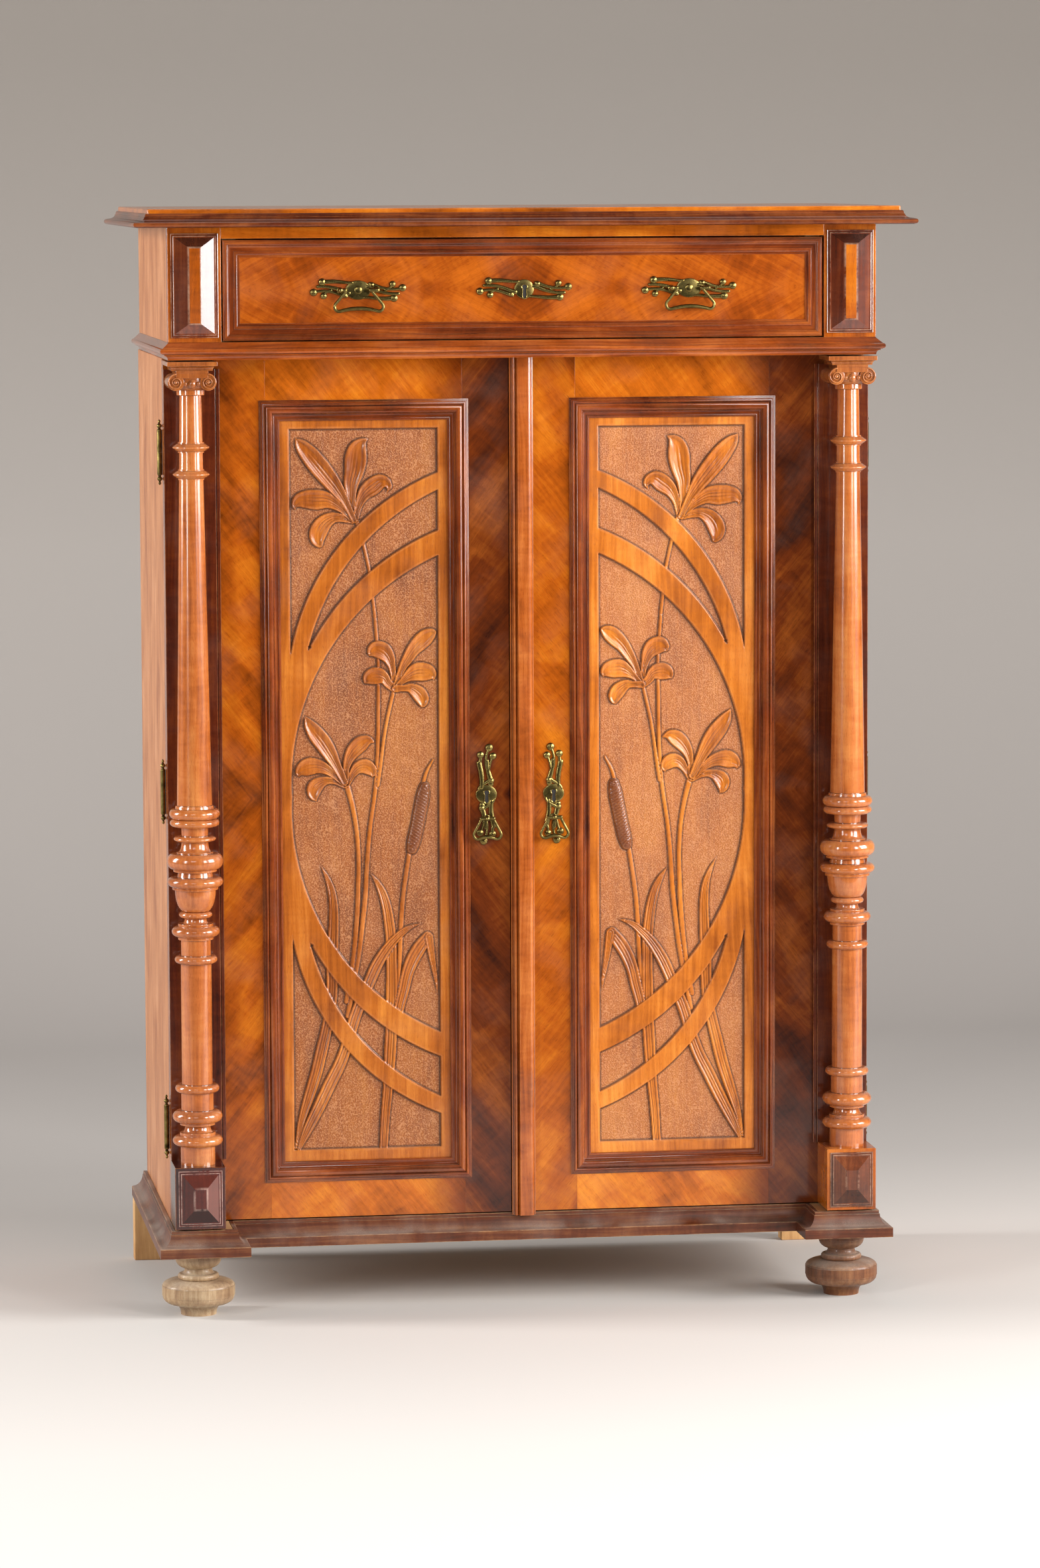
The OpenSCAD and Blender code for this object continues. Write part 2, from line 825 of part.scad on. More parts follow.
// The space beside a corner's mitre that holds the upright run. At a left corner the frame
// lies to the right of it, and at a low corner over it.
module beside(x, z, left, low, size) {
    translate([x, -size, z])
        mirror([left ? 0 : 1, 0, 0])
            mirror([0, 0, low ? 0 : 1])
                rotate([0, -45, 0])
                    translate([-2 * size, 0, 0])
                        cube([4 * size, 2 * size, 4 * size]);
}

// One run, turned by an angle about its starting corner, seen from the front
module frame_side(x, z, length, angle, d) {
    translate([x, fy(d), z])
        rotate([0, -angle, 0])
            rotate([90, 0, 90])
                linear_extrude(length)
                    rotate([0, 0, 90])
                        children();
}

module door_moulding() {
    mitred_frame(-open_out - mould_lap, -opening_x + mould_lap, open_z0 - mould_lap,
        open_z1 + mould_lap, door_front)
        panel_profile();
}

pedestal_front = door_front + pedestal_w;
column_x = half_l - pedestal_w / 2 + 0.5;
column_d = door_front + pedestal_w / 2;
pilaster_w = 74.5;
pedestal_z1 = door_z0 + pedestal_h;
capital_z0 = door_z1 - capital_h;
abacus_h = 12;

module pilaster() {
    difference() {
        block(-half_l, -half_l + pilaster_w, door_front, door_front + pilaster_t,
            pedestal_z1, door_z1 - abacus_h);
        block(-half_l + pilaster_w - 5.5, -half_l + pilaster_w - 4.3,
            door_front + pilaster_t - 0.9, door_front + pilaster_t + over,
            pedestal_z1 - over, door_z1);
    }
}

// The turned column, cut flat where it stands against the pilaster
module column() {
    foot = [
        ["drum", 25, 23.4, 23.4],
        ["bead", 14.5, 24.5, 33.8],
        ["drum", 4, 24.2, 24.2],
        ["hollow", 10, 22, 17],
        ["drum", 3.2, 23.8, 23.8],
        ["bead", 17, 24, 33.6],
        ["drum", 24, 21.9, 21.9],
        ["bead", 11, 24, 29.8]];
    knot = [
        ["bead", 10.5, 23, 28.7],
        ["drum", 22, 20.2, 20.2],
        ["drum", 3.5, 23.9, 23.9],
        ["bead", 14.5, 24, 32.2],
        ["drum", 3.5, 23.7, 23.7],
        ["hollow", 7.5, 18, 14.8],
        ["bead", 8.5, 17, 22.5],
        ["round", 30, 15.8, 27.6],
        ["drum", 3.6, 30.8, 30.8],
        ["bead", 13.2, 30, knot_r - 0.2],
        ["drum", 7.6, 24.2, 22.8],
        ["drum", 3, 29.4, 29.4],
        ["bead", 21.2, 29.5, knot_r],
        ["drum", 2, 24.6, 24.6],
        ["hollow", 14, 23.6, 18.1],
        ["bead", 7.5, 21, 28.5],
        ["drum", 12.5, 17.8, 18.4],
        ["bead", 10.5, 27, 33.4],
        ["bead", 14, 27, 34.1],
        ["drum", 4, 26.2, 25.4]];
    rings_z = [73, 109];
    z_foot = pedestal_z1;
    z_knot = z_foot + height_to(foot, len(foot)) + low_shaft_h;
    z_shaft = z_knot + height_to(knot, len(knot));
    intersection() {
        translate([-column_x, fy(column_d), 0]) {
            turned(concat(
                turning(foot, z_foot),
                [[low_shaft_r, z_knot - low_shaft_h], [low_shaft_r, z_knot]],
                turning(knot, z_knot),
                [[shaft_foot_r, z_shaft], [shaft_top_r, capital_z0]]));
            translate([0, 0, capital_z0 - 6.5])
                cylinder(r = shaft_top_r + 4, h = 6.5);
            for (z = rings_z)
                translate([0, 0, capital_z0 - 6.5 - z])
                    turned([[shaft_top_r + 3, -3.5], [shaft_top_r + 3, -1.5],
                        [shaft_top_r + 4.5, -1.5], [shaft_top_r + 10, 2.8],
                        [shaft_top_r + 10, 4.2], [shaft_top_r + 4, 8.5],
                        [shaft_top_r + 3, 8.5], [shaft_top_r + 3, 10.5]]);
        }
        block(-half_l - pedestal_w, 0, door_front + pilaster_t, door_front + 2 * pedestal_w,
            pedestal_z1 - over, z_mid);
    }
}

// Ionic capital: square abacus over a cushion with a scroll at each end and eggs between
scroll_r = 12;

module abacus_cove() {
    w = pedestal_w - 1;
    quarter_l = quarter([w / 2 - 6, 0], [w / 2 - 1, abacus_h - 6], 1, 5);
    polygon(concat([[-w / 2, abacus_h], [-w / 2, abacus_h - 6]],
        [for (i = [5:-1:0]) [-quarter_l[i][0], quarter_l[i][1]]],
        quarter_l, [[w / 2, abacus_h - 6], [w / 2, abacus_h]]));
}

// The raised spiral of a scroll: half rings whose radii step down about shifting centres
module spiral() {
    r = [scroll_r, scroll_r * 0.82, scroll_r * 0.65, scroll_r * 0.49, scroll_r * 0.35];
    lip = 1.7;
    for (i = [0:len(r) - 1])
        translate([(i % 2 == 0 ? 1 : -1) * (i == 0 ? 0 : (r[i - 1] - r[i]) / 2), 0])
            intersection() {
                difference() {
                    circle(r = r[i]);
                    circle(r = r[i] - lip);
                }
                translate([-scroll_r, i % 2 == 0 ? 0 : -2 * scroll_r])
                    square([2 * scroll_r, 2 * scroll_r]);
            }
    circle(r = scroll_r * 0.2);
}

module capital() {
    w = pedestal_w - 1;
    d0 = door_front + pilaster_t;
    d1 = door_front + w - 3;
    scroll_x = w / 2 - scroll_r;
    scroll_z = capital_z0 + scroll_r - 1;
    cushion_z = door_z1 - abacus_h;
    translate([-column_x, fy(column_d), cushion_z])
        intersection() {
            translate([0, w / 2 + 0.5, 0])
                rotate([90, 0, 0])
                    linear_extrude(w)
                        abacus_cove();
            translate([-w / 2, 0.5, 0])
                rotate([90, 0, 90])
                    linear_extrude(w)
                        abacus_cove();
            translate([-w / 2, -w / 2 + 0.5, 0])
                cube([w, w, abacus_h]);
        }
    for (s = [-1, 1])
        translate([-column_x + s * scroll_x, 0, scroll_z]) {
            translate([0, fy(d0), 0])
                rotate([90, 0, 0])
                    cylinder(r = scroll_r - 1, h = d1 - d0 - 2);
            translate([0, fy(d1 - 2.5), 0])
                rotate([90, 0, 0])
                    linear_extrude(2.5)
                        mirror([s > 0 ? 1 : 0, 0])
                            spiral();
        }
    block(-column_x - scroll_x, -column_x + scroll_x, d0, d1 - 1,
        scroll_z + scroll_r * 0.45, cushion_z);
    block(-column_x - scroll_x, -column_x + scroll_x, d1 - 3, d1,
        cushion_z - 3, cushion_z);
    intersection() {
        translate([-column_x, fy(column_d), capital_z0])
            turned(concat(quarter([18, 0], [27, 12], 0), [[27, 17]]));
        block(-half_l, 0, d0, d1, capital_z0, cushion_z);
    }
    for (x = [-8.5, 0, 8.5])
        translate([-column_x + x, fy(d1 - 4.5), capital_z0 + 9])
            sphere(r = x == 0 ? 5.5 : 3, $fn = 32);
}

module pedestal() {
    block(-column_x - pedestal_w / 2, -column_x + pedestal_w / 2, door_front, pedestal_front,
        door_z0, pedestal_z1);
}

module pedestal_pyramid() {
    h = pedestal_h - 9;
    translate([-column_x, fy(pedestal_front), door_z0 + pedestal_h / 2])
        pyramid_plaque(pedestal_w - 9, h, 16, h - 48, 1.6, 4);
}

module left_door_frame() color(walnut) {
    door_frame(left_edge);
}

module right_door_frame() color(walnut) {
    difference() {
        mirror([1, 0, 0])
            door_frame(-right_edge);
        translate([key_x, 0, key_z])
            face(door_back - over, door_front + over)
                keyhole();
    }
}

module left_carved_panel() color(walnut) {
    carved_panel();
}

module right_carved_panel() color(walnut) {
    on_side(1)
        carved_panel();
}

module left_panel_moulding() color(walnut_dark) {
    door_moulding();
}

module right_panel_moulding() color(walnut_dark) {
    on_side(1)
        door_moulding();
}

module left_pilaster() color(walnut) {
    pilaster();
}

module right_pilaster() color(walnut) {
    on_side(1)
        pilaster();
}

module left_column() color(walnut) {
    column();
}

module right_column() color(walnut) {
    on_side(1)
        column();
}

module left_capital() color(walnut_dark) {
    capital();
}

module right_capital() color(walnut_dark) {
    on_side(1)
        capital();
}

module left_pedestal() color(mahogany) {
    pedestal();
}

module right_pedestal() color(walnut) {
    on_side(1)
        pedestal();
}

module left_pedestal_pyramid() color(mahogany) {
    pedestal_pyramid();
}

module right_pedestal_pyramid() color(mahogany) {
    on_side(1)
        pedestal_pyramid();
}

module left_hinge_leaves() color(brass) {
    three_hinges()
        hinge_leaf(1);
}

module right_hinge_leaves() color(brass) {
    on_side(1)
        three_hinges()
            hinge_leaf(1);
}

module centre_strip() color(walnut) {
    x0 = right_edge;
    x1 = right_edge + strip_w;
    t = strip_t;
    translate([0, fy(door_front), z_low - 2.5])
        linear_extrude(door_z1 - z_low + 2.5)
            mirror([0, 1])
                polygon(concat(
                    [[x0, 0], [x0, t * 0.25], [x0 + 2.4, t * 0.25], [x0 + 2.4, t * 0.5]],
                    bulge([x0 + 3.4, t * 0.5], [x0 + 7.4, t * 0.5], [0, 1], t * 0.25),
                    [[x0 + 8.4, t * 0.6], [x0 + 10, t]],
                    [[x1 - 8, t]],
                    quarter([x1 - 7, t - 0.8], [x1 - 1.6, t * 0.3], 0),
                    [[x1, t * 0.3], [x1, 0]]));
}

// Brass on the doors

// Half the height of every plate's middle, a facetted oval like the buds
eye_h = 12.7;

module oval(rx, ry) {
    polygon([for (a = [0:15:345]) [rx * cos(a), ry * sin(a)]]);
}

// Whiplash stems with buds, drawn upright about the keyhole; the other end is the same, turned
module door_plate_half() {
    oval(14.2, eye_h);
    ribbon(curve([[-11, 6], [-10, 14], [4, 16], [6, 22]]), 1.6, 3);
    ribbon(curve([[6, 14], [6, 24], [1, 30], [1, 46]]), 3.8, 2.6);
    ribbon(curve([[1, 34], [-2, 44], [-1, 52], [3, 62]]), 2, 1.6);
    ribbon(curve([[3, 30], [4, 38], [6, 46], [8.5, 51]]), 1.8, 1.5);
    ribbon(curve([[-7, 9], [-5, 22], [-7, 30], [-10, 43]]), 3, 3.6);
    ribbon(curve([[-10, 42], [-8, 46], [-8, 48], [-8, 52]]), 2.4, 2);
    translate([6.5, 18.5])
        oval(4.2, 4.2);
    translate([4, 63.5])
        oval(5.4, 5.4);
    translate([9, 52])
        oval(5, 5);
    translate([-8, 54])
        oval(5, 5);
}

module door_plate() {
    difference() {
        union() {
            door_plate_half();
            rotate(180)
                door_plate_half();
            translate([0, pull_z - key_z])
                oval(post_r + 0.8, post_r + 0.8);
        }
        keyhole();
    }
}

// Bosses of the buds and nail heads on a door plate
module door_bosses() {
    for (a = [0, 180])
        rotate([0, a, 0])
            for (b = [[6.5, 18.5, 2.3], [4, 63.5, 3.6], [9, 52, 3.4], [-8, 54, 3.4]])
                translate([b[0], 0, b[1]])
                    boss(b[2]);
}

// A round boss with its foot on the plate's face
module boss(r) {
    rotate([90, 0, 0])
        intersection() {
            sphere(r = r, $fn = 24);
            translate([-2 * r, -2 * r, -over / 2])
                cube([4 * r, 4 * r, 2 * r]);
        }
}

// A post that stands out of a plate and carries a pivot of the given radius
post_out = 7.5;
post_r = 3.8;

module post(bore) {
    difference() {
        union() {
            translate([0, over / 2, 0])
                rotate([90, 0, 0])
                    cylinder(r = post_r - 0.6, h = post_out + over / 2);
            translate([0, -post_out, 0])
                rotate([90, 45, 0])
                    sphere(r = post_r, $fn = 32);
        }
        translate([-2 * post_r, -post_out, 0])
            rotate([0, 90, 0])
                cylinder(r = bore, h = 4 * post_r, $fn = 32);
    }
}

pull_z = key_z - 32;
eye_r = 1.5;

module door_escutcheon() {
    translate([-key_x, 0, key_z])
        face(door_front, door_front + plate_t)
            door_plate();
    translate([-key_x, fy(door_front + plate_t), key_z])
        door_bosses();
    translate([-key_x, fy(door_front + plate_t), pull_z])
        post(eye_r + run);
}

module left_escutcheon() color(brass) {
    door_escutcheon();
}

module right_escutcheon() color(brass) {
    on_side(1)
        door_escutcheon();
}

// A round wire that starts along +X and follows its list: [0, length] runs straight on,
// [radius, angle] bends to the left and [-radius, angle] to the right. Its lengths end just
// short of their joints, inside a collar that is a little thicker than the wire.
joint_gap = 0.3;
collar_l = 1.4;

module wire(path, i = 0) {
    if (i < len(path)) {
        r = path[i][0];
        a = path[i][1];
        if (i > 0)
            translate([-collar_l / 2, 0, 0])
                rotate([0, 90, 0])
                    cylinder(r = wire_r + 0.3, h = collar_l, $fn = 32);
        if (r == 0) {
            translate([joint_gap, 0, 0])
                rotate([0, 90, 0])
                    cylinder(r = wire_r, h = a - 2 * joint_gap, $fn = 32);
            translate([a, 0, 0])
                wire(path, i + 1);
        }
        else {
            short = joint_gap / abs(r) * 180 / PI;
            translate([0, r, 0])
                rotate([0, 0, (r > 0 ? -90 : 90 - a) + short])
                    rotate_extrude(angle = a - 2 * short, $fn = 64)
                        translate([abs(r), 0])
                            circle(r = wire_r, $fn = 32);
            translate([0, r, 0])
                rotate([0, 0, r > 0 ? a : -a])
                    translate([0, -r, 0])
                        wire(path, i + 1);
        }
    }
}

// A bail that hangs from x = +-x0: its legs lean outwards by tilt, its bar bows up by rise
module bail(x0, tilt, r1, r2, rise, drop) {
    leg = (drop - r1 * sin(tilt) - r2 * (1 + sin(tilt))) / cos(tilt);
    xc = x0 + r1 * (1 - cos(tilt)) + leg * sin(tilt) - r2 * cos(tilt);
    bow = (xc - r2 * sin(rise)) / sin(rise);
    corner = 90 + tilt + rise;
    translate([x0, 0, 0])
        rotate([90, 0, 0])
            rotate([0, 0, -90])
                wire([[r1, tilt], [0, leg], [-r2, corner], [bow, 2 * rise], [-r2, corner],
                    [0, leg], [r1, tilt]]);
    for (s = [-1, 1])
        translate([s * x0 - wire_r - 0.3, 0, 0])
            rotate([0, 90, 0])
                cylinder(r = wire_r + 0.5, h = 2 * wire_r + 0.6, $fn = 32);
}

module door_pull() {
    translate([-key_x, fy(door_front + plate_t + post_out), pull_z]) {
        bail(9, 28, 8, 6, 26, pull_drop);
        translate([-9, 0, 0])
            rotate([0, 90, 0])
                cylinder(r = eye_r, h = 18, $fn = 32);
    }
}

module pull_left() color(brass) {
    door_pull();
}

module pull_right() color(brass) {
    on_side(1)
        door_pull();
}

// Slide bolts of the left door, its keeper, and the lock of the right door
bolt_x = left_edge - 22;
bolt_d = case_d - 9;
bolt_w = 12;
bolt_t = 5;
bolt_l = 90;
bolt_deep = 13;
bolt_z0 = z_low + board_t + 1.5;
bolt_z1 = z_mid - 1.5;
staple_wall = 2;

case_l = 50;

module bolt_case(z) {
    difference() {
        block(bolt_x - bolt_w / 2 - 6, bolt_x + bolt_w / 2 + 6, bolt_d - bolt_t / 2 - 2,
            door_back, z, z + case_l);
        block(bolt_x - bolt_w / 2 - slip, bolt_x + bolt_w / 2 + slip,
            bolt_d - bolt_t / 2 - slip, bolt_d + bolt_t / 2 + slip, z - over,
            z + case_l + over);
    }
}

lock_d = case_d - 5;
lock_bolt_h = 16;
lock_bolt_t = 5;
lock_h = 70;
lock_x1 = key_x + 12;
lock_x0 = right_edge + 2.5;
lock_back = lock_d - lock_bolt_t / 2 - 3;
keeper_l = 24;

module left_door_ironwork() color(steel) {
    bolt_case(bolt_z0 + 14);
    bolt_case(bolt_z1 - 14 - case_l);
    difference() {
        block(left_edge - 2 - keeper_l, left_edge - 2, lock_back, door_back,
            key_z - lock_bolt_h / 2 - 6, key_z + lock_bolt_h / 2 + 6);
        block(left_edge - keeper_l + 2, left_edge + over, lock_d - lock_bolt_t / 2 - slip,
            lock_d + lock_bolt_t / 2 + slip, key_z - lock_bolt_h / 2 - slip,
            key_z + lock_bolt_h / 2 + slip);
    }
}

// One slide bolt: a flat bar with a knob to push it by
module slide_bolt(z, knob_z) {
    block(bolt_x - bolt_w / 2, bolt_x + bolt_w / 2, bolt_d - bolt_t / 2, bolt_d + bolt_t / 2,
        z, z + bolt_l);
    translate([bolt_x, fy(bolt_d - bolt_t / 2), knob_z])
        rotate([-90, 0, 0])
            cylinder(r = 4, h = 6, $fn = 32);
}

module left_bolt_top() color(steel) {
    slide_bolt(bolt_z1 - bolt_l, bolt_z1 - bolt_l + 8);
}

module left_bolt_bottom() color(steel) {
    slide_bolt(bolt_z0, bolt_z0 + bolt_l - 8);
}

module door_lock_case() color(steel) {
    difference() {
        block(lock_x0, lock_x1, lock_back, door_back, key_z - lock_h / 2, key_z + lock_h / 2);
        block(lock_x0 - over, lock_x1 - 3, lock_d - lock_bolt_t / 2 - slip,
            lock_d + lock_bolt_t / 2 + slip, key_z - lock_bolt_h / 2 - slip,
            key_z + lock_bolt_h / 2 + slip);
        translate([key_x, 0, key_z])
            face(lock_d, door_back + over)
                keyhole();
    }
}

module door_lock_bolt() color(steel) {
    block(lock_x0 + 0.5, key_x - 8, lock_d - lock_bolt_t / 2, lock_d + lock_bolt_t / 2,
        key_z - lock_bolt_h / 2, key_z + lock_bolt_h / 2);
}

// Drawer

drawer_face = upper_d - 6;
front_back = drawer_face - drawer_front_t;
drawer_z0 = z_up + 1.5;
drawer_z1 = z_cor - frieze_h - drawer_gap;
side_z0 = z_up + slip;
drawer_back_d = back_t + drawer_rear;
handle_z = z_up + 67.5;
bottom_z = side_z0 + 10;
dlock_bolt_w = 18;
dlock_bolt_t = 5;
dlock_d = front_back + 5;
dlock_w = 60;
dlock_h = 84;

module drawer_front() color(walnut) {
    difference() {
        block(-drawer_half, drawer_half, front_back, drawer_face, drawer_z0, drawer_z1);
        block(-dlock_w / 2, dlock_w / 2, front_back - over, dlock_d + 4.5,
            drawer_z1 - dlock_h, drawer_z1 + over);
        block(-drawer_half + drawer_side_t - 6, drawer_half - drawer_side_t + 6,
            front_back - over, front_back + 5, bottom_z, bottom_z + drawer_bottom_t);
        translate([0, 0, handle_z])
            face(front_back, drawer_face + over)
                keyhole();
    }
}

module drawer_profile() {
    w = drawer_mould_w;
    polygon(concat(
        [[0, 0], [0, 3.6], [1.6, 5]],
        bulge([2.4, 5], [6.4, 5], [0, 1], 1),
        [[7, 4.6]],
        quarter([7.6, 4.6], [14, 2.2], 1),
        bulge([14.6, 2.2], [w - 3, 1.4], [0, 1], 1.8),
        [[w - 2, 1.2], [w, 1.2], [w, 0]]));
}

module drawer_moulding() color(walnut_dark) {
    mitred_frame(-drawer_half, drawer_half, drawer_z0, drawer_z1, drawer_face)
        drawer_profile();
}

module drawer_sides() color(softwood) {
    both_sides()
        difference() {
            block(-drawer_half, -drawer_half + drawer_side_t, drawer_back_d, front_back,
                side_z0, side_z0 + drawer_side_h);
            block(-drawer_half + drawer_side_t - 6, -drawer_half + drawer_side_t + over,
                drawer_back_d - over, front_back + over, bottom_z, bottom_z + drawer_bottom_t);
        }
}

module drawer_back() color(softwood) {
    block(-drawer_half + drawer_side_t, drawer_half - drawer_side_t, drawer_back_d,
        drawer_back_d + drawer_side_t, bottom_z + drawer_bottom_t,
        side_z0 + drawer_side_h - 6);
}

module drawer_bottom() color(softwood) {
    x = drawer_half - drawer_side_t + 6;
    block(-x, x, drawer_back_d, front_back + 5, bottom_z, bottom_z + drawer_bottom_t);
}

// Half of a drawer plate, left of its middle; the other half is the same, turned
module drawer_plate_half(oval_w) {
    oval(oval_w, eye_h);
    ribbon(curve([[-8, 10], [-18, 9], [-26, 13], [-46, 11]]), 1.8, 3);
    ribbon(curve([[-12, -4], [-22, -2], [-30, 6], [-54, 5]]), 3, 2);
    ribbon(curve([[-16, -8], [-24, -7], [-34, 2], [-58, -2]]), 2.6, 2);
    ribbon(curve([[-36, 0], [-40, -1], [-43, -3], [-46, -6]]), 2, 1.6);
    translate([-18, -6.8])
        oval(3.8, 3.8);
    translate([-48, 11])
        oval(5, 5);
    translate([-59.5, -2.7])
        oval(5, 5);
    translate([-46, -7.5])
        oval(4.4, 4.4);
}

module drawer_plate(oval_w) {
    drawer_plate_half(oval_w);
    rotate(180)
        drawer_plate_half(oval_w);
}

module drawer_bosses() {
    for (a = [0, 180])
        rotate([0, a, 0])
            for (b = [[-18, -6.8, 2.3], [-48, 11, 3.4], [-59.5, -2.7, 3.4], [-46, -7.5, 3]])
                translate([b[0], 0, b[1]])
                    boss(b[2]);
}

post_x = 24.5;

module drawer_handle_plates() color(brass) {
    for (x = [-handle_x, handle_x])
        translate([x, 0, handle_z]) {
            face(drawer_face, drawer_face + plate_t)
                drawer_plate(16.5);
            translate([0, fy(drawer_face + plate_t), 0]) {
                drawer_bosses();
                for (s = [-1, 1])
                    translate([s * post_x, 0, 0])
                        post(eye_r + run);
            }
        }
}

module drawer_escutcheon() color(brass) {
    translate([0, 0, handle_z]) {
        face(drawer_face, drawer_face + plate_t)
            difference() {
                drawer_plate(12.9);
                keyhole();
            }
        translate([0, fy(drawer_face + plate_t), 0])
            drawer_bosses();
    }
}

module drawer_lock_case() color(steel) {
    difference() {
        block(-dlock_w / 2, dlock_w / 2, front_back, dlock_d + 4.5, drawer_z1 - dlock_h,
            drawer_z1);
        block(-dlock_bolt_w / 2 - slip, dlock_bolt_w / 2 + slip,
            dlock_d - dlock_bolt_t / 2 - slip, dlock_d + dlock_bolt_t / 2 + slip,
            drawer_z1 - dlock_h + 4, drawer_z1 + over);
        translate([0, 0, handle_z])
            face(dlock_d, drawer_face)
                keyhole();
    }
}

module drawer_lock_bolt() color(steel) {
    block(-dlock_bolt_w / 2, dlock_bolt_w / 2, dlock_d - dlock_bolt_t / 2,
        dlock_d + dlock_bolt_t / 2, drawer_z1 - 36, drawer_z1 - 1);
}

module drawer_bail() {
    x0 = post_x - 7;
    bail(x0, 40, 5, 6, 16, bail_drop);
    both_sides()
        translate([x0, 0, 0])
            rotate([0, 90, 0])
                cylinder(r = eye_r, h = post_x + post_r - 0.5 - x0, $fn = 32);
}

module bail_left() color(brass) {
    translate([-handle_x, fy(drawer_face + plate_t + post_out), handle_z])
        drawer_bail();
}

module bail_right() color(brass) {
    translate([handle_x, fy(drawer_face + plate_t + post_out), handle_z])
        drawer_bail();
}

top_board();
cornice_moulding();
frieze_rail();
upper_sides();
corner_stiles();
corner_pyramids();
middle_board();
middle_moulding();
drawer_guides();
cupboard_sides();
bottom_board();
back_boards();
shelf_racks();
shelf_battens();
shelves();
base_frame();
base_moulding();
front_feet();
rear_feet();
case_hinge_leaves();
hinge_pins();
left_door_frame();
left_carved_panel();
left_panel_moulding();
left_pilaster();
left_column();
left_capital();
left_pedestal();
left_pedestal_pyramid();
left_hinge_leaves();
left_escutcheon();
left_door_ironwork();
left_bolt_top();
left_bolt_bottom();
right_door_frame();
right_carved_panel();
right_panel_moulding();
right_pilaster();
right_column();
right_capital();
right_pedestal();
right_pedestal_pyramid();
right_hinge_leaves();
right_escutcheon();
centre_strip();
door_lock_case();
door_lock_bolt();
drawer_front();
drawer_moulding();
drawer_sides();
drawer_back();
drawer_bottom();
drawer_handle_plates();
drawer_escutcheon();
drawer_lock_case();
drawer_lock_bolt();
bail_left();
bail_right();
pull_left();
pull_right();
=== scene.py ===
import json
import logging
import math
from dataclasses import dataclass, field
from enum import Enum

import bpy
import numpy as np
from mathutils import Matrix

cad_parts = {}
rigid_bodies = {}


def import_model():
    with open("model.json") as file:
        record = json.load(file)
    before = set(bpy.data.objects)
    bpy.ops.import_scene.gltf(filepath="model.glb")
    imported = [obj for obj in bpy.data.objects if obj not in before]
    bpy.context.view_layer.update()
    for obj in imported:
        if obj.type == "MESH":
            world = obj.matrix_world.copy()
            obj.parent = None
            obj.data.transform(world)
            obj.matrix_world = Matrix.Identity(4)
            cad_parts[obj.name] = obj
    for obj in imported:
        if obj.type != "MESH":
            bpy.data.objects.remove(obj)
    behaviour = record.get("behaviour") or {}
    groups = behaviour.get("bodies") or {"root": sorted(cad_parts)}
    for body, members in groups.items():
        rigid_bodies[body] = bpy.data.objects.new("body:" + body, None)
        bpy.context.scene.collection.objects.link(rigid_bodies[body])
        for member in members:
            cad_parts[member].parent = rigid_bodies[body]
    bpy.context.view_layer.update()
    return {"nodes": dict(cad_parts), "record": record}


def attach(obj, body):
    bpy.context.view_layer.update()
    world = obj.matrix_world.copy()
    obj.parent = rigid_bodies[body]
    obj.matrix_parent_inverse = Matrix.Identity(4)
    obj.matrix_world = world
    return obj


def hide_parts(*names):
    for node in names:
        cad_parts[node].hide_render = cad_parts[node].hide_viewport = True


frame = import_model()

LOG = logging.getLogger("parlour_cabinet")
MM = 0.001
TOTAL_DEPTH = 527.0
FULL_TURN = 2 * math.pi
QUARTER_TURN = math.pi / 2
QUARTER_STEPS, BULGE_STEPS, CURVE_STEPS, ROD_STEPS, BALL_STEPS = 8, 12, 16, 20, 24
# A corner is broken where it turns by more than SHARP, and fully worn at FULL_WEAR.
SHARP, FULL_WEAR = math.radians(30), math.radians(70)
MIRROR = np.array([-1.0, 1.0, 1.0])


# Sizes and small numeric helpers, all in millimetres


def row_y(depth: float | np.ndarray) -> float | np.ndarray:
    """Turns a depth in front of the back plane into the row frame's Y.

    Args:
        depth: Distance in front of the back plane, in millimetres.

    Returns:
        The Y value in millimetres.
    """
    return TOTAL_DEPTH / 2 - depth


def unit(v: np.ndarray) -> np.ndarray:
    """Brings vectors to length 1.

    Args:
        v: Vectors along the last axis.

    Returns:
        The unit vectors.
    """
    return v / np.linalg.norm(v, axis=-1, keepdims=True)


def closed_up(p: np.ndarray) -> np.ndarray:
    """Repeats the first entry at the end.

    Args:
        p: Points or values.

    Returns:
        The longer array.
    """
    return np.concatenate([p, p[:1]])


def lengths(p: np.ndarray) -> np.ndarray:
    """Distance of each point from the first one along a line.

    Args:
        p: Points of shape (n, k).

    Returns:
        Distances of shape (n,).
    """
    return np.r_[0, np.cumsum(np.linalg.norm(np.diff(p, axis=0), axis=1))]


def quarter(a: tuple, b: tuple, side: int) -> np.ndarray:
    """A quarter ellipse from a to b.

    Args:
        a: First point.
        b: Last point.
        side: 1 where the curve leaves a upright, 0 where it leaves a level.

    Returns:
        Points along it.
    """
    t = np.linspace(0, QUARTER_TURN, QUARTER_STEPS + 1)
    slow, fast = 1 - np.cos(t), np.sin(t)
    first, second = (slow, fast) if side == 1 else (fast, slow)
    return np.column_stack([a[0] + (b[0] - a[0]) * first, a[1] + (b[1] - a[1]) * second])


def bulge(a: tuple, b: tuple, out: tuple, rise: float) -> np.ndarray:
    """A half ellipse between two points.

    Args:
        a: First point.
        b: Last point.
        out: Direction in which it swells.
        rise: How far it swells.

    Returns:
        Points along it.
    """
    t = np.linspace(0, math.pi, BULGE_STEPS + 1)[:, None]
    start, end, way = np.array(a, float), np.array(b, float), np.array(out, float)
    return start + (end - start) * (1 - np.cos(t)) / 2 + way * rise * np.sin(t)


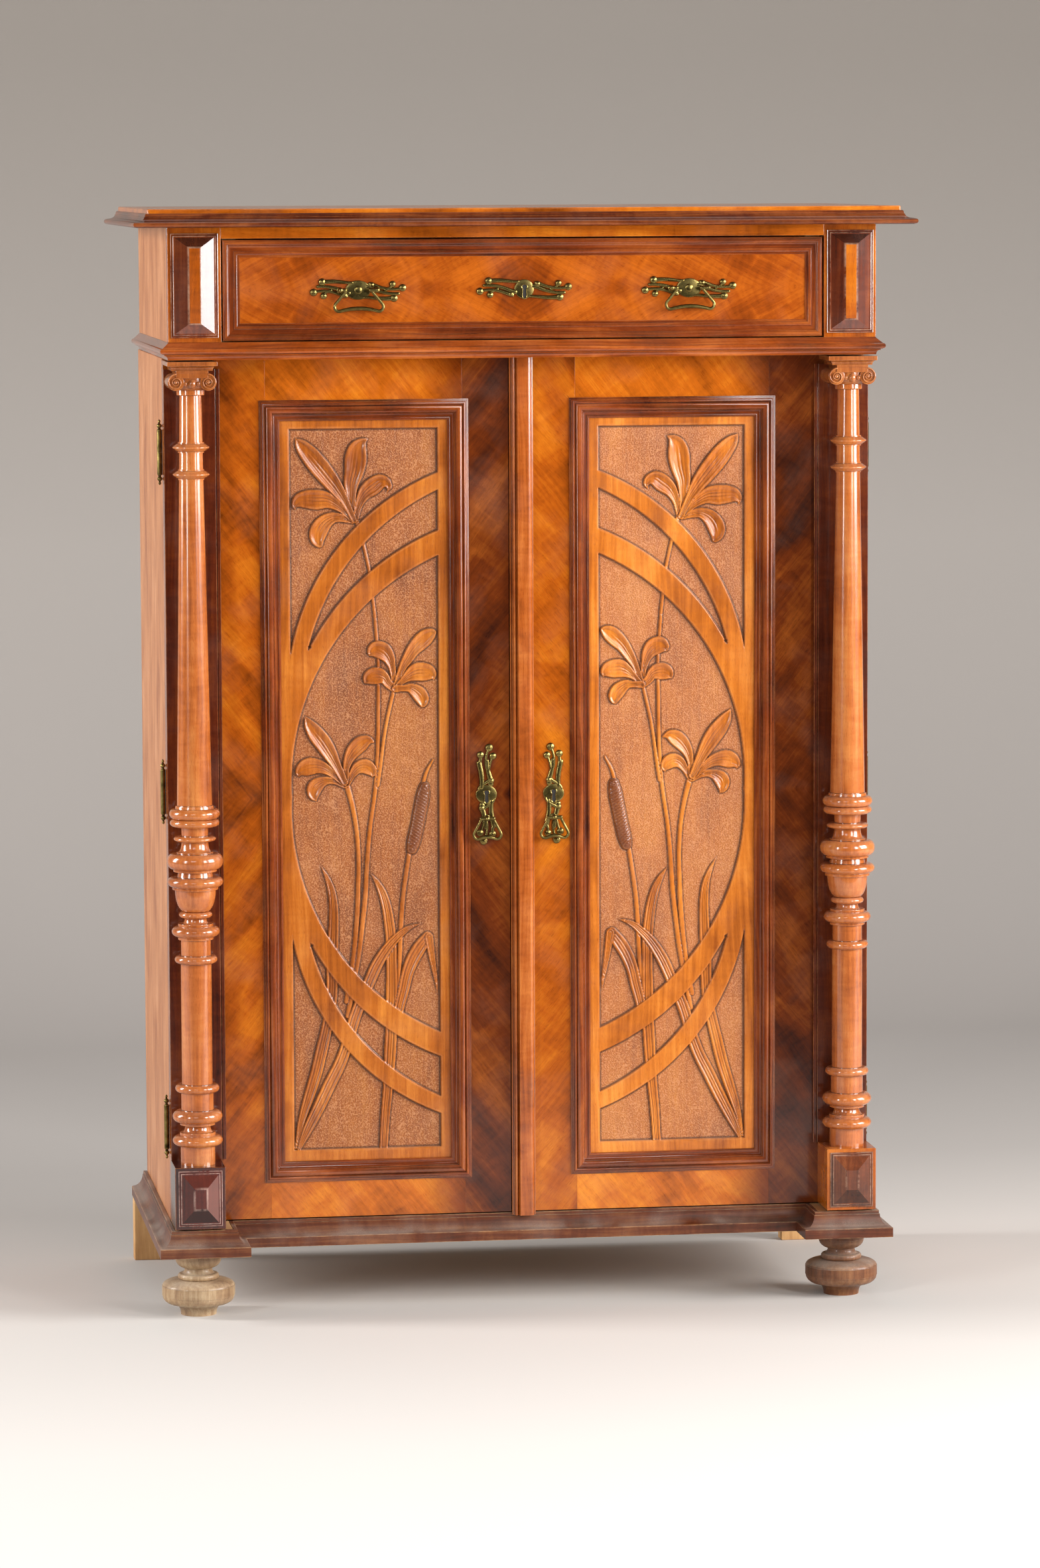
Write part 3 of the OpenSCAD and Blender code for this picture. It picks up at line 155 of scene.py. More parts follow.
def cubic(points: list) -> np.ndarray:
    """A cubic curve.

    Args:
        points: Its four control points.

    Returns:
        Points along it.
    """
    p = np.array(points, float)
    t = np.linspace(0, 1, CURVE_STEPS + 1)[:, None]
    s = 1 - t
    return s**3 * p[0] + 3 * s * s * t * p[1] + 3 * s * t * t * p[2] + t**3 * p[3]


def chain(*parts: list | np.ndarray) -> np.ndarray:
    """Joins lists of profile points into one array.

    Args:
        parts: Point lists, in order.

    Returns:
        All points, with doubled neighbours left out.
    """
    p = np.vstack([np.atleast_2d(np.array(part, float)) for part in parts])
    return p[np.r_[True, np.linalg.norm(np.diff(p, axis=0), axis=1) > 1e-6]]


def corner_turns(p: np.ndarray, closed: bool) -> np.ndarray:
    """Signed turning angle at each point of an outline, positive where it is convex.

    Args:
        p: Outline of shape (n, 2).
        closed: Whether the last point joins the first.

    Returns:
        Angles in radians.
    """
    following = np.roll(p, -1, axis=0)
    before, after = p - np.roll(p, 1, axis=0), following - p
    turn = np.arctan2(
        before[:, 0] * after[:, 1] - before[:, 1] * after[:, 0], (before * after).sum(1)
    )
    area = (p[:, 0] * following[:, 1] - following[:, 0] * p[:, 1]).sum()
    turn = turn * (1 if area > 0 else -1)
    if not closed:
        turn[0] = turn[-1] = 0
    return turn


def eased(p: np.ndarray, closed: bool, radius: float) -> tuple:
    """Breaks the sharp corners of a profile, as sanding does.

    Each sharp corner becomes five points: two far ones that end the wear, two near ones that
    cut the corner, and one between these.

    Args:
        p: Profile of shape (n, 2).
        closed: Whether the last point joins the first.
        radius: Length that is cut back on each side of a corner.

    Returns:
        The new profile and a value per point: 1 on convex corners, -1 in hollow ones.
    """
    turn = corner_turns(p, closed)
    sharp = np.abs(turn) > SHARP
    to_prev, to_next = np.roll(p, 1, axis=0) - p, np.roll(p, -1, axis=0) - p
    len_prev = np.maximum(np.linalg.norm(to_prev, axis=1), 1e-9)
    len_next = np.maximum(np.linalg.norm(to_next, axis=1), 1e-9)
    shorter = np.minimum(len_prev, len_next)
    near = np.minimum(radius, 0.32 * shorter)[:, None]
    far = np.minimum(2.2 * radius, 0.45 * shorter)[:, None]
    back, ahead = to_prev / len_prev[:, None], to_next / len_next[:, None]
    a, b = p + back * near, p + ahead * near
    rows = np.stack([p + back * far, a, 0.25 * (a + b) + 0.5 * p, b, p + ahead * far], axis=1)
    keep = np.repeat(sharp[:, None], 5, axis=1)
    keep[:, 2] = True
    rows[~sharp, 2] = p[~sharp]
    wear = np.clip(turn / FULL_WEAR, -1, 1)[:, None] * np.array([0, 1, 1, 1, 0])
    return rows[keep], wear[keep]


def mitres(path: np.ndarray) -> np.ndarray:
    """Vectors to the right of a bent path, lengthened at its corners for a mitre.

    Args:
        path: Plan points of shape (n, 2).

    Returns:
        Vectors of shape (n, 2).
    """
    d = unit(np.diff(path, axis=0))
    right = np.column_stack([d[:, 1], -d[:, 0]])
    first, last = np.vstack([right[:1], right]), np.vstack([right, right[-1:]])
    return (first + last) / (1 + (first * last).sum(1))[:, None]


def oval(rx: float, rz: float, n: int = 40) -> np.ndarray:
    """Points of an ellipse.

    Args:
        rx: Half width.
        rz: Half height.
        n: Number of points.

    Returns:
        Points of shape (n, 2).
    """
    a = np.linspace(0, FULL_TURN, n, endpoint=False)
    return np.column_stack([rx * np.cos(a), rz * np.sin(a)])


# Surfaces


@dataclass
class Surface:
    """Closed faces with corner coordinates and a wear value per point.

    Attributes:
        points: Points in millimetres, shape (n, 3).
        quads: Point numbers of the faces, shape (m, 4); a doubled corner makes a triangle.
        uv: Corner coordinates in metres along and across the grain, shape (m, 4, 2).
        wear: Value per point, 1 on edges that hands and dusters rub, negative in hollows, which
            the finish darkens with painted shade and grime.
        caps: Flat end faces as arrays of point numbers.
    """

    points: np.ndarray
    quads: np.ndarray
    uv: np.ndarray
    wear: np.ndarray
    caps: list = field(default_factory=list)

    def outward(self) -> "Surface":
        """Turns the faces so that they look outwards.

        Returns:
            The same surface.
        """
        a, b, c, d = (self.points[self.quads[:, i]] for i in range(4))
        total = (np.cross(a, b) * c).sum() + (np.cross(a, c) * d).sum()
        for cap in self.caps:
            p = self.points[cap]
            total += (np.cross(p[:1], p[1:-1]) * p[2:]).sum()
        if total < 0:
            self.quads, self.uv = self.quads[:, ::-1], self.uv[:, ::-1]
            self.caps = [cap[::-1] for cap in self.caps]
        return self

    def mirrored(self) -> "Surface":
        """The same surface on the other side of the cabinet.

        Returns:
            A new surface.
        """
        return Surface(
            self.points * MIRROR,
            self.quads[:, ::-1].copy(),
            self.uv[:, ::-1].copy(),
            self.wear.copy(),
            [cap[::-1].copy() for cap in self.caps],
        )


def joined(parts: list) -> Surface:
    """Puts several surfaces into one.

    Args:
        parts: The surfaces.

    Returns:
        One surface.
    """
    starts = np.cumsum([0] + [len(p.points) for p in parts[:-1]])
    return Surface(
        np.vstack([p.points for p in parts]),
        np.vstack([p.quads + s for p, s in zip(parts, starts)]),
        np.concatenate([p.uv for p in parts]),
        np.concatenate([p.wear for p in parts]),
        [cap + s for p, s in zip(parts, starts) for cap in p.caps],
    )


def both(surface: Surface) -> Surface:
    """A form and its mirror image.

    Args:
        surface: The form on one side.

    Returns:
        Both in one surface.
    """
    return joined([surface, surface.mirrored()])


def grid_faces(grid: np.ndarray) -> np.ndarray:
    """The four corners of every cell of a grid.

    Args:
        grid: Values of shape (rows, columns) or (rows, columns, k).

    Returns:
        Corners of shape (rows - 1, columns - 1, 4) or (rows - 1, columns - 1, 4, k).
    """
    return np.stack([grid[:-1, :-1], grid[:-1, 1:], grid[1:, 1:], grid[1:, :-1]], axis=2)


def front_grid(x: np.ndarray, depth: np.ndarray, z: np.ndarray) -> np.ndarray:
    """Grid points from places, depths and heights that fit each other.

    Args:
        x: Places.
        depth: Depths in front of the back plane.
        z: Heights.

    Returns:
        Points of shape (rows, columns, 3).
    """
    return np.stack(np.broadcast_arrays(x, row_y(depth), z), axis=-1)


def grid_surface(
    points: np.ndarray,
    wear: float | np.ndarray,
    uv: np.ndarray | None = None,
    close_rows: bool = False,
    poles: bool = False,
) -> Surface:
    """Faces between the rows and columns of a grid of points, turned outwards.

    The last column joins the first one. The last row joins the first one when close_rows is
    set, and with poles each of these two rows is drawn together into one point.

    Args:
        points: Grid of shape (rows, columns, 3), with the joining row or column repeated.
        wear: Value for all points, or values that fit the grid.
        uv: Coordinates of shape (rows, columns, 2), if the finish reads them.
        close_rows: Whether the rows close into a ring.
        poles: Whether the first and the last row are single points.

    Returns:
        The surface.
    """
    shape = points.shape[:2]
    ids = np.arange(shape[0] * shape[1]).reshape(shape)
    ids[:, -1] = ids[:, 0]
    if close_rows:
        ids[-1] = ids[0]
    if poles:
        ids[0], ids[-1] = ids[0, 0], ids[-1, 0]
    uv = np.zeros(shape + (2,)) if uv is None else uv
    surface = Surface(
        points.reshape(-1, 3),
        grid_faces(ids).reshape(-1, 4),
        grid_faces(uv).reshape(-1, 4, 2),
        np.broadcast_to(wear, shape).ravel(),
    )
    if not close_rows and not poles:
        surface.caps = [ids[0, :-1][::-1].copy(), ids[-1, :-1].copy()]
    return surface.outward()


def block(x: tuple, d: tuple, z: tuple, edge: float = 0.9, steps: int = 3) -> Surface:
    """A board whose edges and corners are rounded off.

    Each level of the board is a rectangle with rounded corners; near the two ends its corner
    radius shrinks with the cosine of an angle while the level follows the sine of the same angle.

    Args:
        x: Left and right ends.
        d: Depths of the back and the front.
        z: Bottom and top.
        edge: Radius of the edges.
        steps: Steps of each rounding.

    Returns:
        The surface.
    """
    x0, x1 = sorted(x)
    y0, y1 = sorted((row_y(d[0]), row_y(d[1])))
    z0, z1 = sorted(z)
    r = min(edge, 0.45 * min(x1 - x0, y1 - y0, z1 - z0))
    bend = np.linspace(0, QUARTER_TURN, steps + 1)
    turn = (np.arange(4)[:, None] * QUARTER_TURN + bend).ravel()
    cx = np.repeat([x1 - r, x0 + r, x0 + r, x1 - r], steps + 1)
    cy = np.repeat([y1 - r, y1 - r, y0 + r, y0 + r], steps + 1)
    turn, cx, cy = (closed_up(v) for v in (turn, cx, cy))
    phi = np.r_[bend - QUARTER_TURN, bend]
    level = np.r_[np.full(steps + 1, z0 + r), np.full(steps + 1, z1 - r)]
    ring = (r * np.cos(phi))[:, None]
    points = np.stack(
        np.broadcast_arrays(
            cx + ring * np.cos(turn), cy + ring * np.sin(turn),
            (level + r * np.sin(phi))[:, None],
        ),
        axis=-1,
    )
    side = np.abs(np.sin(2 * np.r_[np.tile(bend, 4), bend[0]]))
    wear = np.maximum(side, np.abs(np.sin(2 * phi))[:, None])
    ids = np.arange(wear.size).reshape(wear.shape)
    ids[:, -1] = ids[:, 0]
    corner = (np.arange(wear.shape[1] - 1) // (steps + 1)) * (steps + 1)
    for row in (0, -1):
        ids[row, :-1] = ids[row, corner]
        ids[row, -1] = ids[row, 0]
    faces = grid_faces(ids).reshape(-1, 4)
    ends = [ids[0, :: steps + 1][:4][::-1].copy(), ids[-1, :: steps + 1][:4].copy()]
    uv = np.zeros((len(faces), 4, 2))
    return Surface(points.reshape(-1, 3), faces, uv, wear.ravel(), ends).outward()


def moulding(
    path: np.ndarray,
    outs: np.ndarray,
    up: tuple,
    profile: np.ndarray,
    ring: bool = False,
    edge: float = 0.45,
) -> Surface:
    """A moulding run along a path with mitred corners.

    A profile point (p, q) stands at path + outs * p + up * q.

    Args:
        path: Points of shape (n, 3).
        outs: Mitre vectors of shape (n, 3).
        up: Direction of the profile's second coordinate.
        profile: Closed outline of shape (m, 2).
        ring: Whether the path closes.
        edge: How far the profile's corners are broken.

    Returns:
        The surface.
    """
    prof, wear = (closed_up(v) for v in eased(profile, True, edge))
    if ring:
        path, outs = closed_up(path), closed_up(outs)
    points = (
        path[:, None]
        + outs[:, None] * prof[None, :, :1]
        + np.array(up, float) * prof[None, :, 1:]
    )
    uv = np.stack(np.meshgrid(lengths(path) * MM, lengths(prof) * MM, indexing="ij"), axis=-1)
    return grid_surface(points, wear, uv, close_rows=ring)


def upright_run(x: float, depth: float, z: tuple, profile: np.ndarray) -> Surface:
    """A straight moulding that stands upright on a face that looks to the front.

    Args:
        x: Place of the profile's origin.
        depth: Depth of the face.
        z: Bottom and top.
        profile: Outline as [to the right, forwards].

    Returns:
        The surface.
    """
    path = np.array([[x, row_y(depth), level] for level in z])
    return moulding(path, np.array([[1.0, 0, 0]] * 2), (0, -1, 0), profile)


def level_run(plan: list, z: float, profile: np.ndarray, edge: float = 0.45) -> Surface:
    """A mitred moulding that runs level along a plan, with its outside to the right.

    Args:
        plan: Points as (x, depth).
        z: Height of its foot.
        profile: Outline as [outwards, upwards].
        edge: How far the profile's corners are broken.

    Returns:
        The surface.
    """
    flat = np.array([[x, row_y(d)] for x, d in plan])
    path = np.column_stack([flat, np.full(len(flat), z)])
    outs = np.column_stack([mitres(flat), np.zeros(len(flat))])
    return moulding(path, outs, (0, 0, 1), profile, edge=edge)


def frame_run(x: tuple, z: tuple, depth: float, profile: np.ndarray) -> Surface:
    """A mitred frame seen from the front, whose profile runs inwards from its outer edge.

    Args:
        x: Left and right of the outer rectangle.
        z: Bottom and top of the outer rectangle.
        depth: Depth of the plane that it stands on.
        profile: Outline as [inwards, forwards].

    Returns:
        The surface.
    """
    x0, x1 = sorted(x)
    y = row_y(depth)
    path = np.array([[x0, y, z[0]], [x1, y, z[0]], [x1, y, z[1]], [x0, y, z[1]]])
    outs = np.array([[1.0, 0, 1], [-1, 0, 1], [-1, 0, -1], [1, 0, -1]])
    return moulding(path, outs, (0, -1, 0), profile, ring=True)


def turned(
    profile: np.ndarray, x: float, depth: float, steps: int, back: float | None = None
) -> Surface:
    """Turned work: a profile spun about an upright axis.

    Args:
        profile: Radii and heights from the bottom to the top, shape (n, 2).
        x: Place of the axis.
        depth: Depth of the axis.
        steps: Steps around.
        back: Depth of the plane that cuts the back flat, if any.

    Returns:
        The surface.
    """
    whole = chain([[0.0, profile[0, 1]]], profile, [[0.0, profile[-1, 1]]])
    prof, wear = eased(whole[1:-1], False, 0.4)
    prof = np.vstack([[0.0, prof[0, 1]], prof, [0.0, prof[-1, 1]]])
    angle = np.linspace(0, FULL_TURN, steps + 1)
    py = row_y(depth) + prof[:, :1] * np.sin(angle)
    if back is not None:
        py = np.minimum(py, row_y(back))
    px = x + prof[:, :1] * np.cos(angle)
    points = np.stack(np.broadcast_arrays(px, py, prof[:, 1:]), axis=-1)
    uv = np.stack(np.meshgrid(lengths(prof) * MM, angle * 0.03, indexing="ij"), axis=-1)
    return grid_surface(points, np.r_[0, wear, 0][:, None], uv, poles=True)


def turned_list(members: list, z0: float) -> np.ndarray:
    """Profile of a turning from its list of members.

    Args:
        members: Tuples of kind, height, lower radius and upper or outer radius.
        z0: Height at which the turning starts.

    Returns:
        Radii and heights, shape (n, 2).
    """
    heights = z0 + np.cumsum([0.0] + [m[1] for m in members])
    shapes = {
        "bead": lambda a, b: bulge(a, (a[0], b[1]), (1, 0), b[0] - a[0]),
        "round": lambda a, b: quarter(a, b, 0 if b[0] > a[0] else 1),
        "hollow": lambda a, b: quarter(a, b, 1 if b[0] > a[0] else 0),
        "drum": lambda a, b: np.array([a, b]),
    }
    return chain(
        *(
            shapes[kind]((low, z), (high, z + h))
            for (kind, h, low, high), z in zip(members, heights)
        )
    )


def front_turned(rows: np.ndarray, x: float, z: float, steps: int, wear: float) -> Surface:
    """Turned work whose axis looks to the front.

    Args:
        rows: Radii and depths, shape (n, 2).
        x: Place of the axis.
        z: Height of the axis.
        steps: Steps around.
        wear: Wear of all its points.

    Returns:
        The surface.
    """
    a = np.linspace(0, FULL_TURN, steps + 1)
    points = front_grid(x + rows[:, :1] * np.cos(a), rows[:, 1:], z + rows[:, :1] * np.sin(a))
    return grid_surface(points, wear, poles=True)


def rod(path: np.ndarray, radius: np.ndarray) -> Surface:
    """A round bar along a path in a plane facing the front, with rounded ends.

    Args:
        path: Centre points of shape (n, 3).
        radius: Radius at each point.

    Returns:
        The surface.
    """
    tangent = unit(np.gradient(path, axis=0))
    depth_way = np.array([0.0, 1.0, 0.0])
    side = unit(np.cross(tangent, depth_way))
    t = np.linspace(0, QUARTER_TURN, 6)
    first = path[:1] - tangent[:1] * (radius[0] * np.sin(t[::-1]))[:, None] * 0.8
    last = path[-1:] + tangent[-1:] * (radius[-1] * np.sin(t))[:, None] * 0.8
    path = np.vstack([first, path, last])
    radius = np.r_[radius[0] * np.cos(t[::-1]), radius, radius[-1] * np.cos(t)]
    side = np.vstack([np.repeat(side[:1], 6, 0), side, np.repeat(side[-1:], 6, 0)])
    angle = np.linspace(0, FULL_TURN, ROD_STEPS + 1)[None, :, None]
    ring = side[:, None] * np.cos(angle) + depth_way * np.sin(angle)
    return grid_surface(path[:, None] + ring * radius[:, None, None], 0.4, poles=True)


def dome(
    outline: np.ndarray, x: float, depth: float, z: float, rise: float, base: float
) -> Surface:
    """A low cast form over an outline: its face swells from the rim to the middle.

    Args:
        outline: Rim points about the middle, shape (n, 2), star-shaped.
        x: Place of the middle.
        depth: Depth of the face that it stands on.
        z: Height of the middle.
        rise: Height of the swelling.
        base: Height of the straight rim.

    Returns:
        The surface.
    """
    ring = closed_up(outline)
    t = np.linspace(0, QUARTER_TURN, 8)
    scale = np.r_[0, 1, 1, np.cos(t[1:])][:, None]
    out = np.r_[-0.2, -0.2, base, base + rise * np.sin(t[1:])][:, None]
    points = front_grid(x + scale * ring[:, 0], depth + out, z + scale * ring[:, 1])
    return grid_surface(points, out / max(out.max(), 1e-6), poles=True)


def cast_ribbon(path: np.ndarray, w0: float, w1: float, depth: float, thick: float) -> Surface:
    """A cast stem on a plate: a flat-backed strip whose face is rounded.

    Args:
        path: Middle line seen from the front, shape (n, 2), in X and Z.
        w0: Half width at the start.
        w1: Half width at the end.
        depth: Depth of the face that it stands on.
        thick: Height of its middle.

    Returns:
        The surface.
    """
    half = np.linspace(w0, w1, len(path))
    tangent = unit(np.gradient(path, axis=0))
    side = np.column_stack([-tangent[:, 1], tangent[:, 0]])
    cap = np.linspace(0, QUARTER_TURN, 5)
    ends = np.r_[np.sin(cap), np.ones(len(path) - 2), np.sin(cap[::-1])]
    first = path[:1] - tangent[:1] * (w0 * np.cos(cap))[:, None]
    last = path[-1:] + tangent[-1:] * (w1 * np.cos(cap[::-1]))[:, None]
    path = np.vstack([first, path[1:-1], last])
    side = np.vstack([np.repeat(side[:1], 5, 0), side[1:-1], np.repeat(side[-1:], 5, 0)])
    half = (np.r_[np.full(5, w0), half[1:-1], np.full(5, w1)] * ends)[:, None]
    t = np.linspace(0, math.pi, 11)
    across = np.r_[np.cos(t), np.cos(t[-1]), np.cos(t[0]), np.cos(t[0])]
    out = np.r_[0.35 + 0.65 * np.sin(t), -0.1, -0.1, 0.35]
    points = front_grid(
        path[:, :1] + side[:, :1] * half * across,
        depth + thick * (out * np.maximum(ends, 0.02)[:, None]),
        path[:, 1:] + side[:, 1:] * half * across,
    )
    return grid_surface(points, np.clip(out, 0, 1), poles=True)


def ball(x: float, depth: float, z: float, radii: tuple) -> Surface:
    """An egg-shaped form.

    Args:
        x: Place of the middle.
        depth: Depth of the middle.
        z: Height of the middle.
        radii: Half sizes along X, depth and Z.

    Returns:
        The surface.
    """
    phi = np.linspace(-QUARTER_TURN, QUARTER_TURN, BALL_STEPS // 2 + 1)[:, None]
    angle = np.linspace(0, FULL_TURN, BALL_STEPS + 1)
    points = np.broadcast_arrays(
        x + radii[0] * np.cos(phi) * np.cos(angle),
        row_y(depth) + radii[1] * np.cos(phi) * np.sin(angle),
        z + radii[2] * np.sin(phi),
    )
    return grid_surface(np.stack(points, axis=-1), 0.3, poles=True)


def stepped_plaque(
    x: float, z: float, depth: float, w: float, h: float, flat: tuple, step: float, rise: float
) -> Surface:
    """A raised block with two steps and four sloping faces that meet in a small flat.

    Args:
        x: Place of the middle.
        z: Height of the middle.
        depth: Depth of the face that it stands on.
        w: Width.
        h: Height.
        flat: Width and height of the flat.
        step: Height of each step.
        rise: Height of the slopes.

    Returns:
        The surface.
    """
    # Each row: how much it is smaller than the block, its height and its wear.
    steps = [
        (0, -0.5, 0), (0, step - 0.35, 0.9), (1.2, step, 0.9), (2.6, step, 0), (6, step, 0),
        (6.2, step + 0.2, 0), (6.2, 2 * step - 0.3, 0.9), (7.6, 2 * step, 0.9),
        (9, 2 * step, 0), (11, 2 * step, 0),
    ]
    table = [(w - less, h - less, level, wear) for less, level, wear in steps]
    foot = np.array(table[-1])
    top = np.array([flat[0] + 1.6, flat[1] + 1.6, 2 * step + rise - 0.25, 0.7])
    near_top = foot + 0.88 * (top - foot)
    near_top[3] = 0
    table += [tuple(near_top), tuple(top)]
    table += [(flat[0] - less, flat[1] - less, 2 * step + rise, wear)
              for less, wear in ((0.6, 0.7), (2.4, 0))]
    width, height, level, wear = np.array(table).T[:, :, None]
    corners = np.array([[-1, -1], [1, -1], [1, 1], [-1, 1], [-1, -1]]) / 2
    points = front_grid(x + width * corners[:, 0], depth + level, z + height * corners[:, 1])
    return grid_surface(points, wear)


def place(
    name: str,
    surface: Surface,
    finish: bpy.types.Material,
    body: str,
    slot: str,
    replaces: tuple = (),
    normals: np.ndarray | None = None,
    marks: dict | None = None,
    smooth: float = 36.0,
) -> bpy.types.Object:
    """Makes a piece, dresses it and hangs it on its body.

    Args:
        name: Name of the piece.
        surface: Its faces in millimetres.
        finish: Its material.
        body: Body that it rides.
        slot: Material slot of the record; not used.
        replaces: CAD nodes that it stands for.
        normals: Shading normals per point, if they are worked out already.
        marks: More point values by name.
        smooth: Angle in degrees below which edges are shaded smooth.

    Returns:
        The object.
    """
    corners = surface.quads
    keep = corners != np.roll(corners, -1, axis=1)
    solid = keep.sum(1) >= 3
    corners, keep, uv = corners[solid], keep[solid], surface.uv[solid]
    loops = np.concatenate([corners[keep]] + [np.asarray(c) for c in surface.caps])
    counts = np.r_[keep.sum(1), [len(c) for c in surface.caps]].astype(int)
    loop_uv = np.vstack([uv[keep], np.zeros((sum(len(c) for c in surface.caps), 2))])
    used, loops = np.unique(loops, return_inverse=True)
    mesh = bpy.data.meshes.new(name)
    mesh.vertices.add(len(used))
    mesh.vertices.foreach_set("co", (surface.points[used] * MM).astype(np.float32).ravel())
    mesh.loops.add(len(loops))
    mesh.loops.foreach_set("vertex_index", loops.astype(np.int32))
    mesh.polygons.add(len(counts))
    starts = np.r_[0, np.cumsum(counts)[:-1]].astype(np.int32)
    mesh.polygons.foreach_set("loop_start", starts)
    layer = mesh.uv_layers.new(name="grain")
    mesh.update(calc_edges=True)
    layer.data.foreach_set("uv", loop_uv.astype(np.float32).ravel())
    for key, value in {"wear": surface.wear, **(marks or {})}.items():
        attr = mesh.attributes.new(key, "FLOAT", "POINT")
        attr.data.foreach_set("value", np.asarray(value, np.float32)[used])
    mesh.validate(clean_customdata=False)
    mesh.shade_smooth()
    if normals is None:
        mesh.set_sharp_from_angle(angle=math.radians(smooth))
    else:
        mesh.normals_split_custom_set_from_vertices(normals[used])
    mesh.materials.append(finish)
    obj = bpy.data.objects.new(name, mesh)
    bpy.context.scene.collection.objects.link(obj)
    if normals is None:
        level = obj.modifiers.new("even_normals", "WEIGHTED_NORMAL")
        level.weight = 90
        level.keep_sharp = True
    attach(obj, body)
    if replaces:
        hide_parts(*replaces)
    return obj


# Finishes


def colour(code: str) -> tuple:
    """Turns a six-figure screen colour into the linear values that shaders use.

    Args:
        code: Red, green and blue as hexadecimal figures.

    Returns:
        Red, green, blue and 1.
    """
    v = np.array([int(code[i : i + 2], 16) for i in (0, 2, 4)]) / 255
    linear = np.where(v <= 0.04045, v / 12.92, ((v + 0.055) / 1.055) ** 2.4)
    return (*[float(c) for c in linear], 1.0)


class Tree:
    """Adds nodes to a node tree and joins their sockets."""

    def __init__(self, tree: bpy.types.NodeTree) -> None:
        """Keeps the tree.

        Args:
            tree: A node tree.
        """
        self.tree = tree

    def feed(self, node: bpy.types.Node, inputs: dict) -> None:
        """Joins sockets to a node's inputs, or sets their values.

        Args:
            node: The node.
            inputs: Socket numbers or names with the socket or the value that goes in.
        """
        for key, value in inputs.items():
            if isinstance(value, bpy.types.NodeSocket):
                self.tree.links.new(value, node.inputs[key])
            else:
                node.inputs[key].default_value = value

    def add(self, kind: str, inputs: dict | None = None, **props: object) -> bpy.types.Node:
        """Adds a node.

        Args:
            kind: Node type without its common prefix.
            inputs: Socket numbers or names with the socket or the value that goes in.
            props: Settings of the node.

        Returns:
            The node.
        """
        node = self.tree.nodes.new(kind if kind.startswith("Node") else "ShaderNode" + kind)
        for key, value in props.items():
            setattr(node, key, value)
        self.feed(node, inputs or {})
        return node

    def math(self, operation: str, a: object, b: object = 0.0) -> bpy.types.NodeSocket:
        """Works out a value from one or two others.

        Args:
            operation: Blender's name of the operation.
            a: First socket or value.
            b: Second socket or value.

        Returns:
            The result's socket.
        """
        return self.add("Math", {0: a, 1: b}, operation=operation).outputs[0]

    def vector(self, operation: str, a: object, b: object) -> bpy.types.NodeSocket:
        """Works out a vector from two others.

        Args:
            operation: Blender's name of the operation.
            a: First socket or value.
            b: Second socket or value.

        Returns:
            The result's socket.
        """
        return self.add("VectorMath", {0: a, 1: b}, operation=operation).outputs[0]

    def fit(
        self, value: object, low: float, high: float, out: tuple = (0.0, 1.0)
    ) -> bpy.types.NodeSocket:
        """Maps a range of values onto another one and holds it there.

        Args:
            value: Socket with the value.
            low: Value that becomes the first result.
            high: Value that becomes the last result.
            out: First and last result.

        Returns:
            The result's socket.
        """
        inputs = dict(enumerate((value, low, high, *out)))
        return self.add("MapRange", inputs, clamp=True).outputs[0]

    def noise(
        self, vector: object, scale: float | tuple, detail: float, twist: float = 0.0
    ) -> bpy.types.NodeSocket:
        """Adds a noise pattern.

        Args:
            vector: Socket with the place.
            scale: How fine it is, alike in every direction or as three factors.
            detail: Number of finer layers.
            twist: How much it is distorted.

        Returns:
            The pattern's value socket.
        """
        if isinstance(scale, tuple):
            vector = self.add("Mapping", {"Vector": vector, "Scale": scale}).outputs[0]
            scale = 1.0
        inputs = {"Vector": vector, "Scale": scale, "Detail": detail, "Distortion": twist}
        return self.add("TexNoise", inputs).outputs["Fac"]

    def mix(self, share: object, a: object, b: object, blend: str = "MIX") -> object:
        """Mixes two colours.

        Args:
            share: Share of the second colour.
            a: First colour.
            b: Second colour.
            blend: Blender's name of the way they mix.

        Returns:
            The colour's socket.
        """
        inputs = {0: share, 6: a, 7: b}
        return self.add(
            "Mix", inputs, data_type="RGBA", blend_type=blend, clamp_factor=True
        ).outputs[2]

    def ramp(self, value: object, stops: tuple) -> bpy.types.NodeSocket:
        """Maps a value onto colours.

        Args:
            value: Socket with the value.
            stops: Places from 0 to 1 with their colour codes, in order.

        Returns:
            The colour's socket.
        """
        node = self.add("ValToRGB", {0: value})
        marks = node.color_ramp.elements
        for mark, (at, code) in enumerate((stops[0], stops[-1])):
            marks[mark].position = at
            marks[mark].color = colour(code)
        for at, code in stops[1:-1]:
            marks.new(at).color = colour(code)
        return node.outputs[0]

    def mark(self, name: str) -> bpy.types.NodeSocket:
        """Reads a value that the mesh carries per point.

        Args:
            name: Its name.

        Returns:
            The value's socket.
        """
        return self.add("Attribute", attribute_name=name).outputs["Fac"]

    def use(self, group: bpy.types.NodeTree, inputs: dict) -> object:
        """Adds a shared group.

        Args:
            group: The group.
            inputs: Socket names with the socket or the value that goes in.

        Returns:
            Its outputs.
        """
        return self.add("Group", inputs, node_tree=group).outputs


def new_material(name: str) -> tuple:
    """Makes a material.

    Args:
        name: Its name.

    Returns:
        The material, its tree helper and its shader.
    """
    material = bpy.data.materials.new(name)
    material.use_nodes = True
    tree = material.node_tree
    return material, Tree(tree), tree.nodes["Principled BSDF"]


